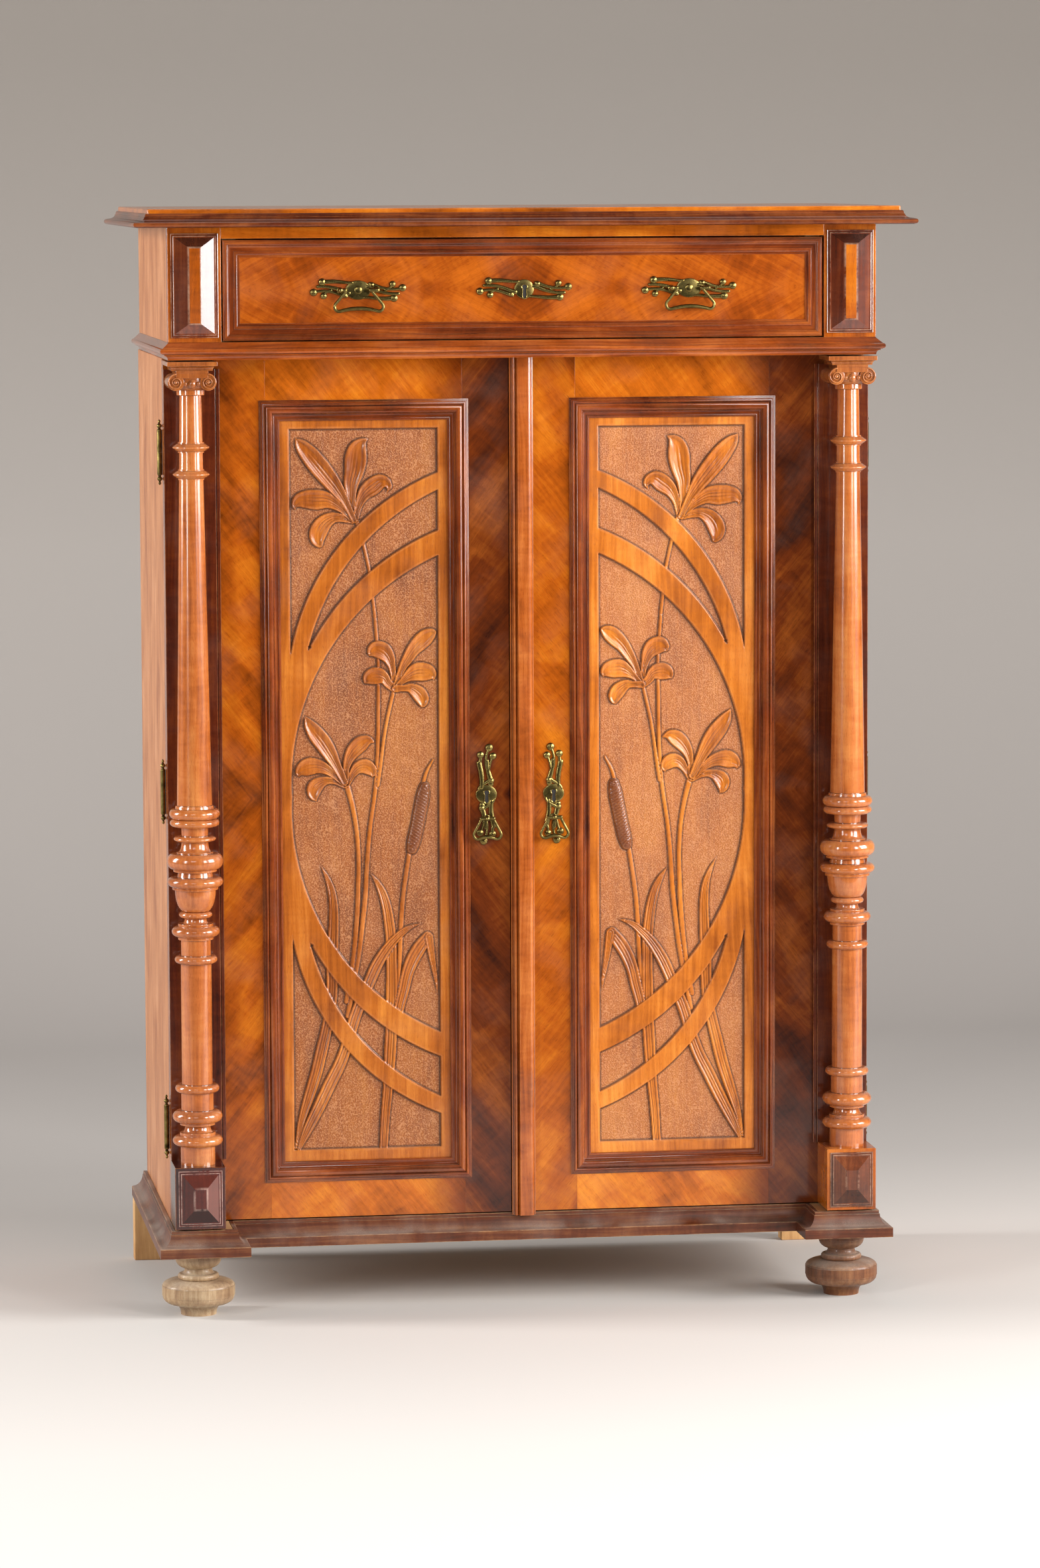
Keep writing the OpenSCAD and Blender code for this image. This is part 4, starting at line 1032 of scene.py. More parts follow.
def new_group(name: str, value: str | None, outputs: list) -> tuple:
    """Makes a node group with a place and one value going in.

    Args:
        name: Name of the group.
        value: Name of the value, if it has one.
        outputs: Names of the value sockets that it gives.

    Returns:
        Its tree helper, its incoming sockets and its outputs node.
    """
    group = bpy.data.node_groups.new(name, "ShaderNodeTree")
    group.interface.new_socket("Place", in_out="INPUT", socket_type="NodeSocketVector")
    if value:
        group.interface.new_socket(value, in_out="INPUT", socket_type="NodeSocketFloat")
    for key in outputs:
        group.interface.new_socket(key, in_out="OUTPUT", socket_type="NodeSocketFloat")
    tree = Tree(group)
    return tree, tree.add("NodeGroupInput").outputs, tree.add("NodeGroupOutput")


class SharedEffects:
    """The shader groups that several finishes use."""

    def __init__(self) -> None:
        """Makes every group."""
        self.grain = self.make_grain()
        self.wear = self.make_wear()
        self.dust = self.make_dust()
        self.punches = self.make_punches()
        self.patina = self.make_patina()

    @staticmethod
    def make_grain() -> bpy.types.NodeTree:
        """Wood grain: broad figure, streaks, cross curl, fibres and open pores.

        Returns:
            The group. Its place runs along the grain in X and is in metres.
        """
        names = ["Figure", "Streaks", "Curl", "Fibres", "Pores"]
        t, enter, leave = new_group("wood_grain", "Seed", names)
        shift = t.add("CombineXYZ", {0: enter["Seed"], 1: enter["Seed"]}).outputs[0]
        seeded = t.vector("ADD", enter["Place"], shift)
        sway = t.math("SUBTRACT", t.noise(seeded, (3, 9, 9), 2.0), 0.5)
        offset = t.add("CombineXYZ", {1: t.math("MULTIPLY", sway, 0.03)}).outputs[0]
        bent = t.vector("ADD", seeded, offset)
        t.feed(leave, {
            "Figure": t.fit(t.noise(bent, (7, 16, 16), 4.0, 0.6), 0.3, 0.7),
            "Streaks": t.fit(t.noise(bent, (7, 210, 210), 4.0, 0.3), 0.3, 0.7),
            "Curl": t.fit(t.noise(bent, (90, 26, 26), 3.0, 0.8), 0.2, 0.8),
            "Fibres": t.noise(bent, (42, 1300, 1300), 2.0),
            "Pores": t.fit(t.noise(bent, (150, 2300, 2300), 1.0), 0.6, 0.74),
        })
        return t.tree

    @staticmethod
    def make_wear() -> bpy.types.NodeTree:
        """Rubbed edges: the edge value broken up by scratches and blotches.

        Returns:
            The group.
        """
        t, enter, leave = new_group("edge_wear", "Edge", ["Worn"])
        blotch = t.noise(enter["Place"], (30, 30, 30), 4.0)
        nick = t.noise(enter["Place"], (260, 260, 260), 2.0)
        rough = t.math("ADD", t.math("MULTIPLY", blotch, 0.7), t.math("MULTIPLY", nick, 0.3))
        t.feed(leave, {"Worn": t.math("MULTIPLY", enter["Edge"], t.fit(rough, 0.4, 0.62))})
        return t.tree

    @staticmethod
    def make_dust() -> bpy.types.NodeTree:
        """Dust that settles on faces that look up, and thin blotches of it elsewhere.

        Returns:
            The group.
        """
        t, enter, leave = new_group("settled_dust", "Amount", ["Dust"])
        up = t.add("SeparateXYZ", {0: t.add("NewGeometry").outputs["Normal"]}).outputs[2]
        cloud = t.noise(enter["Place"], (14, 14, 14), 5.0, 0.4)
        specks = t.noise(enter["Place"], (900, 900, 900), 1.0)
        lying = t.math("MULTIPLY", t.fit(up, 0.3, 0.95), t.fit(cloud, 0.3, 0.6))
        thin = t.math("MULTIPLY", t.fit(cloud, 0.48, 0.75), 0.35)
        speckled = t.math(
            "MULTIPLY", t.math("ADD", lying, thin), t.fit(specks, 0.3, 0.6, (0.6, 1.0))
        )
        t.feed(leave, {"Dust": t.math("MULTIPLY", speckled, enter["Amount"])})
        return t.tree

    @staticmethod
    def make_punches() -> bpy.types.NodeTree:
        """Rows of small punch marks, as on the cut ground of a carving.

        Returns:
            The group.
        """
        t, enter, leave = new_group("punch_marks", None, ["Depth", "Glint"])
        place_ = enter["Place"]
        warp = t.add("TexNoise", {"Vector": place_, "Scale": 55.0, "Detail": 2.0})
        moved = t.vector("MULTIPLY", warp.outputs["Color"], (0.0034, 0.0034, 0.0034))
        cells = t.add(
            "TexVoronoi",
            {"Vector": t.vector("ADD", place_, moved), "Scale": 560.0, "Randomness": 0.62},
            feature="SMOOTH_F1",
        ).outputs["Distance"]
        uneven = t.math("MULTIPLY", t.noise(place_, 240.0, 2.0), 0.5)
        t.feed(leave, {
            "Depth": t.math("ADD", t.fit(cells, 0.05, 0.5), uneven),
            "Glint": t.fit(cells, 0.36, 0.6),
        })
        return t.tree

    @staticmethod
    def make_patina() -> bpy.types.NodeTree:
        """Tarnish of old cast brass: dark in the hollows, rubbed bright on top.

        Returns:
            The group.
        """
        t, enter, leave = new_group("brass_patina", "Edge", ["Tarnish", "Casting"])
        cloud = t.fit(t.noise(enter["Place"], 90.0, 5.0, 0.3), 0.3, 0.72)
        tarnish = t.math("SUBTRACT", cloud, t.math("MULTIPLY", enter["Edge"], 0.55))
        t.feed(leave, {
            "Tarnish": t.math("MAXIMUM", tarnish, 0.0),
            "Casting": t.noise(enter["Place"], 1500.0, 2.0),
        })
        return t.tree


class Grain(Enum):
    """Where the grain runs, and where a finish reads its place from."""

    UV = "uv"
    ALONG_X = "x"
    ALONG_Y = "y"
    ALONG_Z = "z"


@dataclass(frozen=True)
class Wood:
    """A polished wood.

    Attributes:
        name: Name of the finish.
        dark: Colour of its darkest figure.
        mid: Its main colour.
        light: Colour of its lightest figure.
        grain: Way of its grain.
        angle: Turn of the figure in degrees.
        book_x: Place in metres about which the sheets mirror from side to side, if any.
        book_z: Height in metres about which they mirror up and down, if any.
        figure: Share of the broad figure.
        streaks: Share of the streaks.
        curl: Share of the cross figure.
        rough: Roughness.
        coat: Weight of the polish.
        pores: Strength of the open pores.
        rubbed_edge_and_glint: Colour of rubbed edges; on the plaques it also paints highlights
            along the edges.
        wear: Strength of rubbed edges.
        dust: Amount of dust.
        bump: Strength of the bumps.
        seed: Shift of the pattern.
        painted_shade: Places in metres from left to right between which painted shade darkens the
            wood, if any.
        carved: Whether it reads the marks of a carved panel.
        ground: Colour of the punched ground of a carved panel.
        painted_facet_light: Painted light and shade on sloping faces, by the way they look, as
            axis, direction, colour and share of each.
    """

    name: str
    dark: str
    mid: str
    light: str
    grain: Grain = Grain.ALONG_Z
    angle: float = 0.0
    book_x: float | None = None
    book_z: float | None = None
    figure: float = 0.45
    streaks: float = 0.3
    curl: float = 0.25
    rough: float = 0.3
    coat: float = 0.35
    pores: float = 0.5
    rubbed_edge_and_glint: str = "C9824A"
    wear: float = 0.4
    dust: float = 0.12
    bump: float = 0.1
    seed: float = 0.0
    painted_shade: tuple = ()
    carved: bool = False
    ground: str = "7E4524"
    painted_facet_light: tuple = ()

    def grain_place(self, t: Tree) -> tuple:
        """Reads the place and turns it so that X runs along the grain.

        Args:
            t: Helper of the material's tree.

        Returns:
            The place along the grain and the plain place.
        """
        plain = t.add("TexCoord").outputs["Object"]
        if self.grain is Grain.UV:
            ordered = t.add("UVMap", uv_map="grain").outputs[0]
        else:
            xyz = t.add("SeparateXYZ", {0: plain}).outputs
            x, y, z = xyz[0], xyz[1], xyz[2]
            if self.book_x is not None:
                x = t.math("ABSOLUTE", t.math("SUBTRACT", x, self.book_x))
            if self.book_z is not None:
                z = t.math("ABSOLUTE", t.math("SUBTRACT", z, self.book_z))
            order = {
                Grain.ALONG_X: (x, z, y),
                Grain.ALONG_Y: (y, x, z),
                Grain.ALONG_Z: (z, x, y),
            }[self.grain]
            ordered = t.add("CombineXYZ", dict(enumerate(order))).outputs[0]
        if self.angle:
            turn = (0.0, 0.0, math.radians(self.angle))
            ordered = t.add("Mapping", {"Vector": ordered, "Rotation": turn}).outputs[0]
        return ordered, plain

    def build(self, effects: SharedEffects) -> bpy.types.Material:
        """Makes the material.

        Args:
            effects: The shared shader groups.

        Returns:
            The material.
        """
        material, t, shader = new_material(self.name)
        material.diffuse_color = colour(self.mid)
        place_, plain = self.grain_place(t)
        out = t.use(effects.grain, {"Place": place_, "Seed": self.seed})
        broad = t.math("MULTIPLY", out["Figure"], self.figure)
        tone = t.math("ADD", broad, t.math("MULTIPLY", out["Streaks"], self.streaks))
        tone = t.math("ADD", tone, t.math("MULTIPLY", out["Curl"], self.curl))
        base = t.ramp(tone, ((0.12, self.dark), (0.5, self.mid), (0.88, self.light)))
        if self.painted_shade:
            # Painted shade: the wood darkens across these places, towards the darker stile beside
            # it.
            across = t.add("SeparateXYZ", {0: plain}).outputs[0]
            cloudy = t.math("ADD", across, t.math("MULTIPLY", out["Figure"], 0.025))
            base = t.mix(t.fit(cloudy, *self.painted_shade), base, colour("A08FAA"), "MULTIPLY")
        fibre = t.fit(out["Fibres"], 0.3, 0.7, (0.0, 0.22))
        base = t.mix(fibre, base, colour(self.dark))
        pore = t.math("MULTIPLY", out["Pores"], self.pores)
        base = t.mix(pore, base, colour(self.dark), "MULTIPLY")
        height = t.math("MULTIPLY", out["Pores"], -0.5 * self.pores)
        height = t.math("ADD", height, t.math("MULTIPLY", out["Fibres"], 0.25))
        rough = t.math("ADD", self.rough, t.math("MULTIPLY", out["Fibres"], 0.08))
        edge = t.mark("wear")
        if self.carved:
            base, height, rough = self.carve(t, effects, plain, base, height, rough)
        # Painted light and shade: sloping faces take a lighter or darker tone by the way they
        # look.
        if self.painted_facet_light:
            look = t.add("SeparateXYZ", {0: t.add("TexCoord").outputs["Normal"]}).outputs
            for axis, way, tone_, share in self.painted_facet_light:
                facing = t.fit(t.math("MULTIPLY", look[axis], way), 0.08, 0.17, (0.0, share))
                base = t.mix(facing, base, colour(tone_))
        # Hollows of a profile darken: partly painted shade, partly grime.
        hollow_shade_and_grime = t.math("MAXIMUM", t.math("MULTIPLY", edge, -0.75), 0.0)
        base = t.mix(hollow_shade_and_grime, base, colour("1C0C06"))
        # Rubbed edges take a paler colour; on the pyramids and plaques this also paints
        # highlights along the edges.
        rubbed_edge_and_glint = t.use(effects.wear, {"Place": plain, "Edge": edge})[0]
        base = t.mix(t.math("MULTIPLY", rubbed_edge_and_glint, self.wear), base, colour(self.rubbed_edge_and_glint))
        if self.dust:
            film = t.use(effects.dust, {"Place": plain, "Amount": self.dust})[0]
            base = t.mix(film, base, colour("B9AFA2"))
            rough = t.math("ADD", rough, t.math("MULTIPLY", film, 0.5))
        bump = t.add("Bump", {"Height": height, "Strength": self.bump, "Distance": 0.00035})
        t.feed(shader, {
            "Base Color": base, "Roughness": rough, "Normal": bump.outputs[0],
            "Coat Weight": self.coat, "Coat Roughness": 0.1, "Specular IOR Level": 0.35,
        })
        return material

    def carve(
        self,
        t: Tree,
        effects: SharedEffects,
        plain: object,
        base: object,
        height: object,
        rough: object,
    ) -> tuple:
        """Adds the punched ground with its tone and darker pits, painted glints, and painted
        shade in the grooves.

        Args:
            t: Helper of the material's tree.
            effects: The shared shader groups.
            plain: Socket with the plain place.
            base: Socket with the colour.
            height: Socket with the bump height.
            rough: Socket with the roughness.

        Returns:
            The new colour, height and roughness sockets.
        """
        ground, hollow, head = t.mark("ground"), t.mark("hollow"), t.mark("head")
        punch = t.use(effects.punches, {"Place": plain})
        ground_tone = t.mix(0.55, base, colour(self.ground))
        pits = t.fit(punch["Depth"], 0.15, 0.75, (0.5, 0.0))
        ground_tone = t.mix(pits, ground_tone, colour("5A2F18"))
        # Painted glints on the tops of the punch marks.
        glint = t.math("MULTIPLY", punch["Glint"], 0.5)
        ground_tone = t.mix(glint, ground_tone, colour("CE9468"))
        base = t.mix(ground, base, ground_tone)
        base = t.mix(t.math("MULTIPLY", head, 0.85), base, colour("5A2C18"))
        # Painted shade in the grooves and at the foot of the raised parts.
        base = t.mix(t.math("MULTIPLY", hollow, 0.7), base, colour("30160A"))
        relief = t.math("MULTIPLY", punch["Depth"], t.math("MULTIPLY", ground, 3.2))
        height = t.math("ADD", height, relief)
        rough = t.math("ADD", rough, t.math("MULTIPLY", ground, 0.12))
        return base, height, rough


@dataclass(frozen=True)
class Metal:
    """Old metal.

    Attributes:
        name: Name of the finish.
        bright: Colour of rubbed places.
        dull: Colour of tarnished places.
        rough: Roughness of rubbed places.
        metallic: Share of metal in the shine.
    """

    name: str
    bright: str
    dull: str
    rough: float = 0.24
    metallic: float = 1.0

    def build(self, effects: SharedEffects) -> bpy.types.Material:
        """Makes the material.

        Args:
            effects: The shared shader groups.

        Returns:
            The material.
        """
        material, t, shader = new_material(self.name)
        material.diffuse_color = colour(self.bright)
        place_ = t.add("TexCoord").outputs["Object"]
        patina = t.use(effects.patina, {"Place": place_, "Edge": t.mark("wear")})
        tarnish, casting = patina["Tarnish"], patina["Casting"]
        bump = t.add("Bump", {"Height": casting, "Strength": 0.25, "Distance": 0.0002})
        t.feed(shader, {
            "Base Color": t.mix(tarnish, colour(self.bright), colour(self.dull)),
            "Roughness": t.fit(tarnish, 0.0, 1.0, (self.rough, self.rough + 0.3)),
            "Normal": bump.outputs[0],
            "Metallic": self.metallic,
        })
        return material


class Finishes:
    """Every finish of the cabinet, built once."""

    def __init__(self) -> None:
        """Builds the shared groups; the materials are made when they are first asked for."""
        self.effects = SharedEffects()
        self.made: dict = {}

    def get(self, finish: Wood | Metal) -> bpy.types.Material:
        """Gives a material, made when it is first asked for.

        Args:
            finish: Its description.

        Returns:
            The material.
        """
        if finish.name not in self.made:
            self.made[finish.name] = finish.build(self.effects)
        return self.made[finish.name]


VENEER = dict(
    dark="5E2806", mid="A24E0E", light="C8721A", figure=0.6, streaks=0.16, curl=0.2, rough=0.1,
    coat=0.15,
)
# DEEP is the stile veneer painted darker: painted shade for the stiles that look darker than the
# others.
DEEP = dict(
    dark="34150A", mid="61290C", light="8E4A18", figure=0.6, streaks=0.16, curl=0.2, rough=0.1,
    coat=0.15,
)
MOULD = dict(
    dark="3C1608", mid="7A330E", light="AC5A22", rough=0.14, coat=0.6, curl=0.1, dust=0.04
)

STILE_BRIGHT = Wood("veneer_stile_bright", **VENEER, angle=38, book_z=0.7)
STILE_SHADED = Wood("veneer_stile_painted_shade", **DEEP, angle=-38, book_z=0.7, seed=1.7)
RAIL = {**VENEER, "dark": "743608", "mid": "B85E12", "light": "DC8422"}
# Each door's rails darken with painted shade towards the stile that is painted darker.
RAILS = {
    -1: Wood("veneer_rail_left", **RAIL, angle=52, grain=Grain.ALONG_X, seed=0.6,
             painted_shade=(-0.12, -0.07)),
    1: Wood("veneer_rail_right", **RAIL, angle=52, grain=Grain.ALONG_X, seed=5.6,
            painted_shade=(0.305, 0.35)),
}
DRAWER_FIELD = Wood(
    "veneer_drawer", "5A2408", "93430E", "BC6118", rough=0.1, coat=0.15, figure=0.5,
    streaks=0.2, curl=0.3, grain=Grain.ALONG_X, angle=28, book_x=0.0, book_z=1.384, seed=2.4,
)
SIDE_VENEER = Wood(
    "veneer_side", "8A4A22", "BC7C4C", "D8A078", figure=0.4, streaks=0.4, curl=0.05, rough=0.34,
    coat=0.1, seed=3.1,
)
PLAIN_Z = Wood("walnut_upright", **VENEER, seed=4.2)
PLAIN_X = Wood("walnut_level", **RAIL, grain=Grain.ALONG_X, seed=5.3)
# The pilasters are painted darker than the veneer: painted shade from the columns.
PILASTER_SHADED = Wood("walnut_pilaster_painted_shade", "35140A", "5A2410", "7A3A14", rough=0.14, coat=0.2, seed=4.9)
MOULDING = Wood("walnut_moulding", **MOULD, grain=Grain.UV, streaks=0.35)
MIDDLE = Wood(
    "walnut_middle", **{**MOULD, "dark": "4E1E0A", "mid": "98440F", "light": "CC7230"},
    grain=Grain.UV, streaks=0.35,
)
CORNICE = Wood(
    "walnut_cornice", "30110A", "5A230C", "84421C", grain=Grain.UV, streaks=0.5, rough=0.16,
    coat=0.1, dust=0.03,
)
STRIP = Wood(
    "walnut_strip", "6C2E0C", "A4521C", "C67434", grain=Grain.UV, rough=0.14, coat=0.6, seed=3.3
)
TURNED = Wood(
    "walnut_turned", "7C3A17", "B3622B", "CC8245", rough=0.18, coat=0.8, seed=6.1, wear=0.5
)
SHADED = Wood("walnut_shaded", "3C1B0D", "693216", "90532C", rough=0.18, coat=0.5, seed=7.0)
# The pyramids: painted light and shade on their sloping faces, and pale rubbed edges that also
# paint highlights.
PYRAMID = Wood(
    "walnut_pyramid", "3A150A", "66290F", "8A451E", rough=0.14, coat=0.9, seed=7.7,
    rubbed_edge_and_glint="D8A888", wear=0.6, painted_facet_light=((2, 1, "1E0A05", 0.75), (0, -1, "2C120A", 0.35)),
)
MAHOGANY = Wood(
    "mahogany", "1E0806", "3C0E08", "5A200E", rough=0.16, coat=0.7, dust=0.04, seed=8.0
)
# The pedestal plaques: painted light and shade on their sloping faces, and pale rubbed edges that
# also paint highlights.
PLAQUES = {
    -1: Wood(
        "mahogany_plaque", "260A07", "4C140B", "6A2414", rough=0.16, coat=0.5, dust=0.02,
        seed=8.0, rubbed_edge_and_glint="D8B4A4", wear=0.6,
        painted_facet_light=((2, -1, "140504", 0.75), (0, -1, "2A0E0A", 0.3), (0, 1, "9A6E64", 0.4),
                (2, 1, "6E443A", 0.3)),
    ),
    1: Wood(
        "walnut_plaque", "3C1B0D", "693216", "90532C", rough=0.18, coat=0.5, seed=7.0,
        rubbed_edge_and_glint="D8B090", wear=0.5, painted_facet_light=((2, -1, "1E0C06", 0.65), (0, -1, "341808", 0.3)),
    ),
}
CARVING = dict(figure=0.55, streaks=0.3, curl=0.1, rough=0.2, coat=0.2, bump=0.4, carved=True,
               wear=0.35)
# The left panel's copy is darker than the right one's: painted shade.
CARVED = {
    -1: Wood("walnut_carved_left_shaded", "7A3A0E", "AE5E1A", "D08030", **CARVING, seed=9.2,
             ground="744020"),
    1: Wood("walnut_carved_right", "8A4410", "C26C1E", "E08E38", **CARVING, seed=12.6,
            ground="8E5634"),
}
BASE = Wood(
    "walnut_dusty", "34180A", "5E2C14", "84502C", grain=Grain.UV, rough=0.34, coat=0.1,
    dust=0.3, wear=0.6, rubbed_edge_and_glint="BE9265",
)
BUN = dict(rough=0.4, coat=0.15, dust=0.35, wear=0.8, rubbed_edge_and_glint="C7AF92", bump=0.3)
FEET = {
    -1: Wood("walnut_foot_left", "6B4A30", "A0825F", "C8B08C", **BUN, seed=10.4),
    1: Wood("walnut_foot_right", "3A1C0C", "6E3F20", "94623A", **BUN, seed=13.1),
}
CAPITAL = Wood("walnut_capital", "6A3212", "9C5524", "BE7A3E", rough=0.16, coat=0.6, seed=7.2)
PINE = dict(
    dark="9A6B3C", mid="C79A66", light="DDB884", rough=0.6, coat=0.0, pores=0.15, curl=0.05
)
PINE_X = Wood("pine_level", **PINE, grain=Grain.ALONG_X, seed=11.0)
PINE_Z = Wood("pine_upright", **PINE, seed=12.0)
PINE_Y = Wood("pine_deep", **PINE, grain=Grain.ALONG_Y, seed=13.0)
BRASS = Metal("aged_brass", "8C7A46", "2A2110", 0.26)
IRON = Metal("dull_iron", "8A8B8D", "4A4440", rough=0.42)
# A near-black form in each keyhole stands for the shade in the hole: painted shade.
KEYHOLE_SHADE = Metal("keyhole_painted_shade", "1A120C", "0D0906", rough=0.6, metallic=0.0)


# The cabinet, in millimetres


@dataclass(frozen=True)
class CaseSizes:
    """Levels and half widths of the case.

    Attributes:
        low: Bottom of the cupboard.
        middle: Top of the cupboard.
        drawer: Bottom of the drawer.
        cornice: Bottom of the cornice.
        top: Top of the cabinet.
        half_upper: Half width of the drawer part.
        half_lower: Half width of the cupboard.
        front_upper: Depth of the drawer part's face.
    """

    low: float = 124.5
    middle: float = 1292.5
    drawer: float = 1316.0
    cornice: float = 1467.5
    top: float = 1492.0
    half_upper: float = 477.0
    half_lower: float = 479.0
    front_upper: float = 479.0


SIDES = ((-1, "left"), (1, "right"))


class Builder:
    """Pieces that are dressed from one set of finishes and ride one body."""

    body = "case"

    def __init__(self, finishes: Finishes) -> None:
        """Keeps the finishes.

        Args:
            finishes: The materials.
        """
        self.finishes = finishes

    def put(
        self, name: str, surface: Surface, finish: Wood | Metal, slot: str, *nodes: str,
        body: str = "", **more: object,
    ) -> None:
        """Places a piece.

        Args:
            name: Name of the piece.
            surface: Its faces.
            finish: Its finish.
            slot: Material slot of the record.
            nodes: CAD nodes that it stands for.
            body: Body that it rides, if it isn't the builder's own one.
            more: Further settings of place.
        """
        material = self.finishes.get(finish)
        place(name, surface, material, body or self.body, slot, nodes, **more)

    def make(self) -> None:
        """Makes every piece."""
        raise NotImplementedError

    def build(self) -> int:
        """Makes every piece and counts them.

        Returns:
            Number of pieces.
        """
        before = len(bpy.data.objects)
        self.make()
        return len(bpy.data.objects) - before


class Carcase(Builder):
    """The fixed case: top, cornice, drawer part, cupboard sides, base and feet."""

    s = CaseSizes()

    def make(self) -> None:
        """Makes every fixed piece that shows."""
        self.top()
        self.upper_part()
        self.middle()
        self.sides()
        self.base()
        self.feet()

    def top(self) -> None:
        """The top board and the cornice under it."""
        s = self.s
        slab = block((-505, 505), (0, 507), (1474, s.top), 2.2, 5)
        self.put("top_slab", slab, PLAIN_X, "walnut_veneer", "top_board")
        profile = chain(
            [[-10, 0], [43, 0]],
            bulge((44.4, 0.6), (44.4, 7.4), (1, 0), 3.6),
            quarter((42, 8), (32.5, 14), 0),
            [[31.5, 14.2]],
            quarter((31.5, 14.8), (29.5, 18.5), 1),
            [[28, 18.5], [28, 6.5], [-10, 6.5]],
        )
        plan = self.three_sides(s.half_upper, s.front_upper)
        self.run("cornice_run", profile, plan, s.cornice, "cornice_moulding", CORNICE)

    @staticmethod
    def three_sides(half: float, front: float) -> list:
        """Plan of a run round the front and the two sides.

        Args:
            half: Half width of the faces that it runs on.
            front: Depth of the front face.

        Returns:
            Points as (x, depth) from the left rear to the right rear.
        """
        return [(-half, 0), (-half, front), (half, front), (half, 0)]

    def run(
        self, name: str, profile: np.ndarray, plan: list, z: float, node: str, wood: Wood
    ) -> None:
        """A mitred moulding along a plan.

        Args:
            name: Name of the piece.
            profile: Outline as [outwards, upwards].
            plan: Points as (x, depth) from the left rear to the right rear.
            z: Height of its foot.
            node: CAD node that it stands for.
            wood: Finish.
        """
        self.put(name, level_run(plan, z, profile), wood, "walnut_moulding", node)

    def upper_part(self) -> None:
        """Sides, corner stiles, plaques and frieze rail about the drawer."""
        s = self.s
        side = block((-477, -457), (0, 455), (s.drawer, s.cornice + 6), 0.6)
        self.put("upper_cheeks", both(side), SIDE_VENEER, "walnut_veneer", "upper_sides")
        stile = block((-477, -406), (455, 479), (s.drawer, s.cornice), 0.8)
        self.put("drawer_stiles", both(stile), PLAIN_Z, "walnut_veneer", "corner_stiles")
        plaque = stepped_plaque(-441.5, 1390.75, 479, 63, 137.5, (15, 99.5), 2, 5)
        self.put("corner_plaques", both(plaque), PYRAMID, "walnut_moulding",
                 "corner_pyramids", smooth=6)
        flat = block((-448.6, -434.4), (486, 488.05), (1341.4, 1440.1), 0.05)
        self.put("corner_plaque_flats", both(flat), PLAIN_Z, "walnut_moulding",
                 "corner_pyramids")
        high = (1452.5, s.cornice)
        rail = [
            block((-406, 406), (464.9, 479), high, 0.6),
            block((-406, -9.4), (455, 464.9), high, 0.1),
            block((9.4, 406), (455, 464.9), high, 0.1),
            block((-9.4, 9.4), (455, 459.1), high, 0.1),
            block((-9.4, 9.4), (459.1, 464.9), (1462.6, s.cornice), 0.1),
        ]
        self.put("frieze", joined(rail), PLAIN_X, "walnut_veneer", "frieze_rail")

    def middle(self) -> None:
        """The moulding between the drawer and the doors."""
        profile = chain(
            [[0, 0], [10.7, 0]],
            quarter((10.7, 0.5), (15, 6), 1),
            [[15.7, 6], [15.7, 7.8], [18.1, 7.8]],
            bulge((18.5, 8.4), (18.5, 15.4), (1, 0), 3),
            [[13.5, 19.7], [10, 23], [10, 23.5], [0, 23.5]],
        )
        plan = self.three_sides(467, 469)
        self.run("middle_run", profile, plan, self.s.middle, "middle_moulding", MIDDLE)

    def sides(self) -> None:
        """The outer sides of the cupboard."""
        s = self.s
        side = block((-s.half_lower, -459), (0, 390), (s.low, s.middle), 0.6)
        self.put("cupboard_cheeks", both(side), SIDE_VENEER, "walnut_veneer",
                 "cupboard_sides")

    def base(self) -> None:
        """The base moulding, broken forward under the columns."""
        h = self.s.half_lower
        profile = chain(
            [[0, 0], [22, 0], [22, 13]],
            quarter((20.5, 13.8), (6.5, 30.5), 0),
            [[5.5, 30.5], [5.5, 35], [0, 35]],
        )
        right = [(401, 408.5), (401, 474), (h, 474), (h, 0)]
        plan = [(-x, d) for x, d in right[::-1]] + right
        self.run("base_run", profile, plan, 89.5, "base_moulding", BASE)
        level = (89.7, 124.3)
        boards = [block((-h + 0.5, h - 0.5), d, level, 0.8) for d in ((348.5, 408), (0, 60))]
        boards.append(both(block((-h + 0.5, -h + 60), (60, 348.5), level, 0.8)))
        boards.append(both(block((-h + 0.5, -401.5), (408, 473.5), level, 0.8)))
        self.put("base_boards", joined(boards), PINE_X, "softwood", "base_frame")

    def feet(self) -> None:
        """Turned bun feet at the front and plain blocks at the back."""
        members = [
            ("drum", 2, 24.2, 24.2),
            ("hollow", 13, 24.4, 36),
            ("round", 11.8, 36.5, 49),
            ("drum", 13, 49.5, 49.5),
            ("round", 8.4, 49, 27),
            ("bead", 7.8, 25, 28),
            ("hollow", 8, 23, 18.4),
            ("round", 12.6, 18.6, 31.2),
            ("drum", 12.9, 31.7, 31.7),
        ]
        foot = turned(turned_list(members, 0), 444, 420, 80)
        for side, name in SIDES:
            self.put(f"bun_foot_{name}", foot if side > 0 else foot.mirrored(), FEET[side],
                     "walnut_veneer", "front_feet")
        back = block((-500, -436), (0, 26), (0, 89.5), 1.2)
        self.put("back_feet", both(back), PINE_Z, "softwood", "rear_feet")


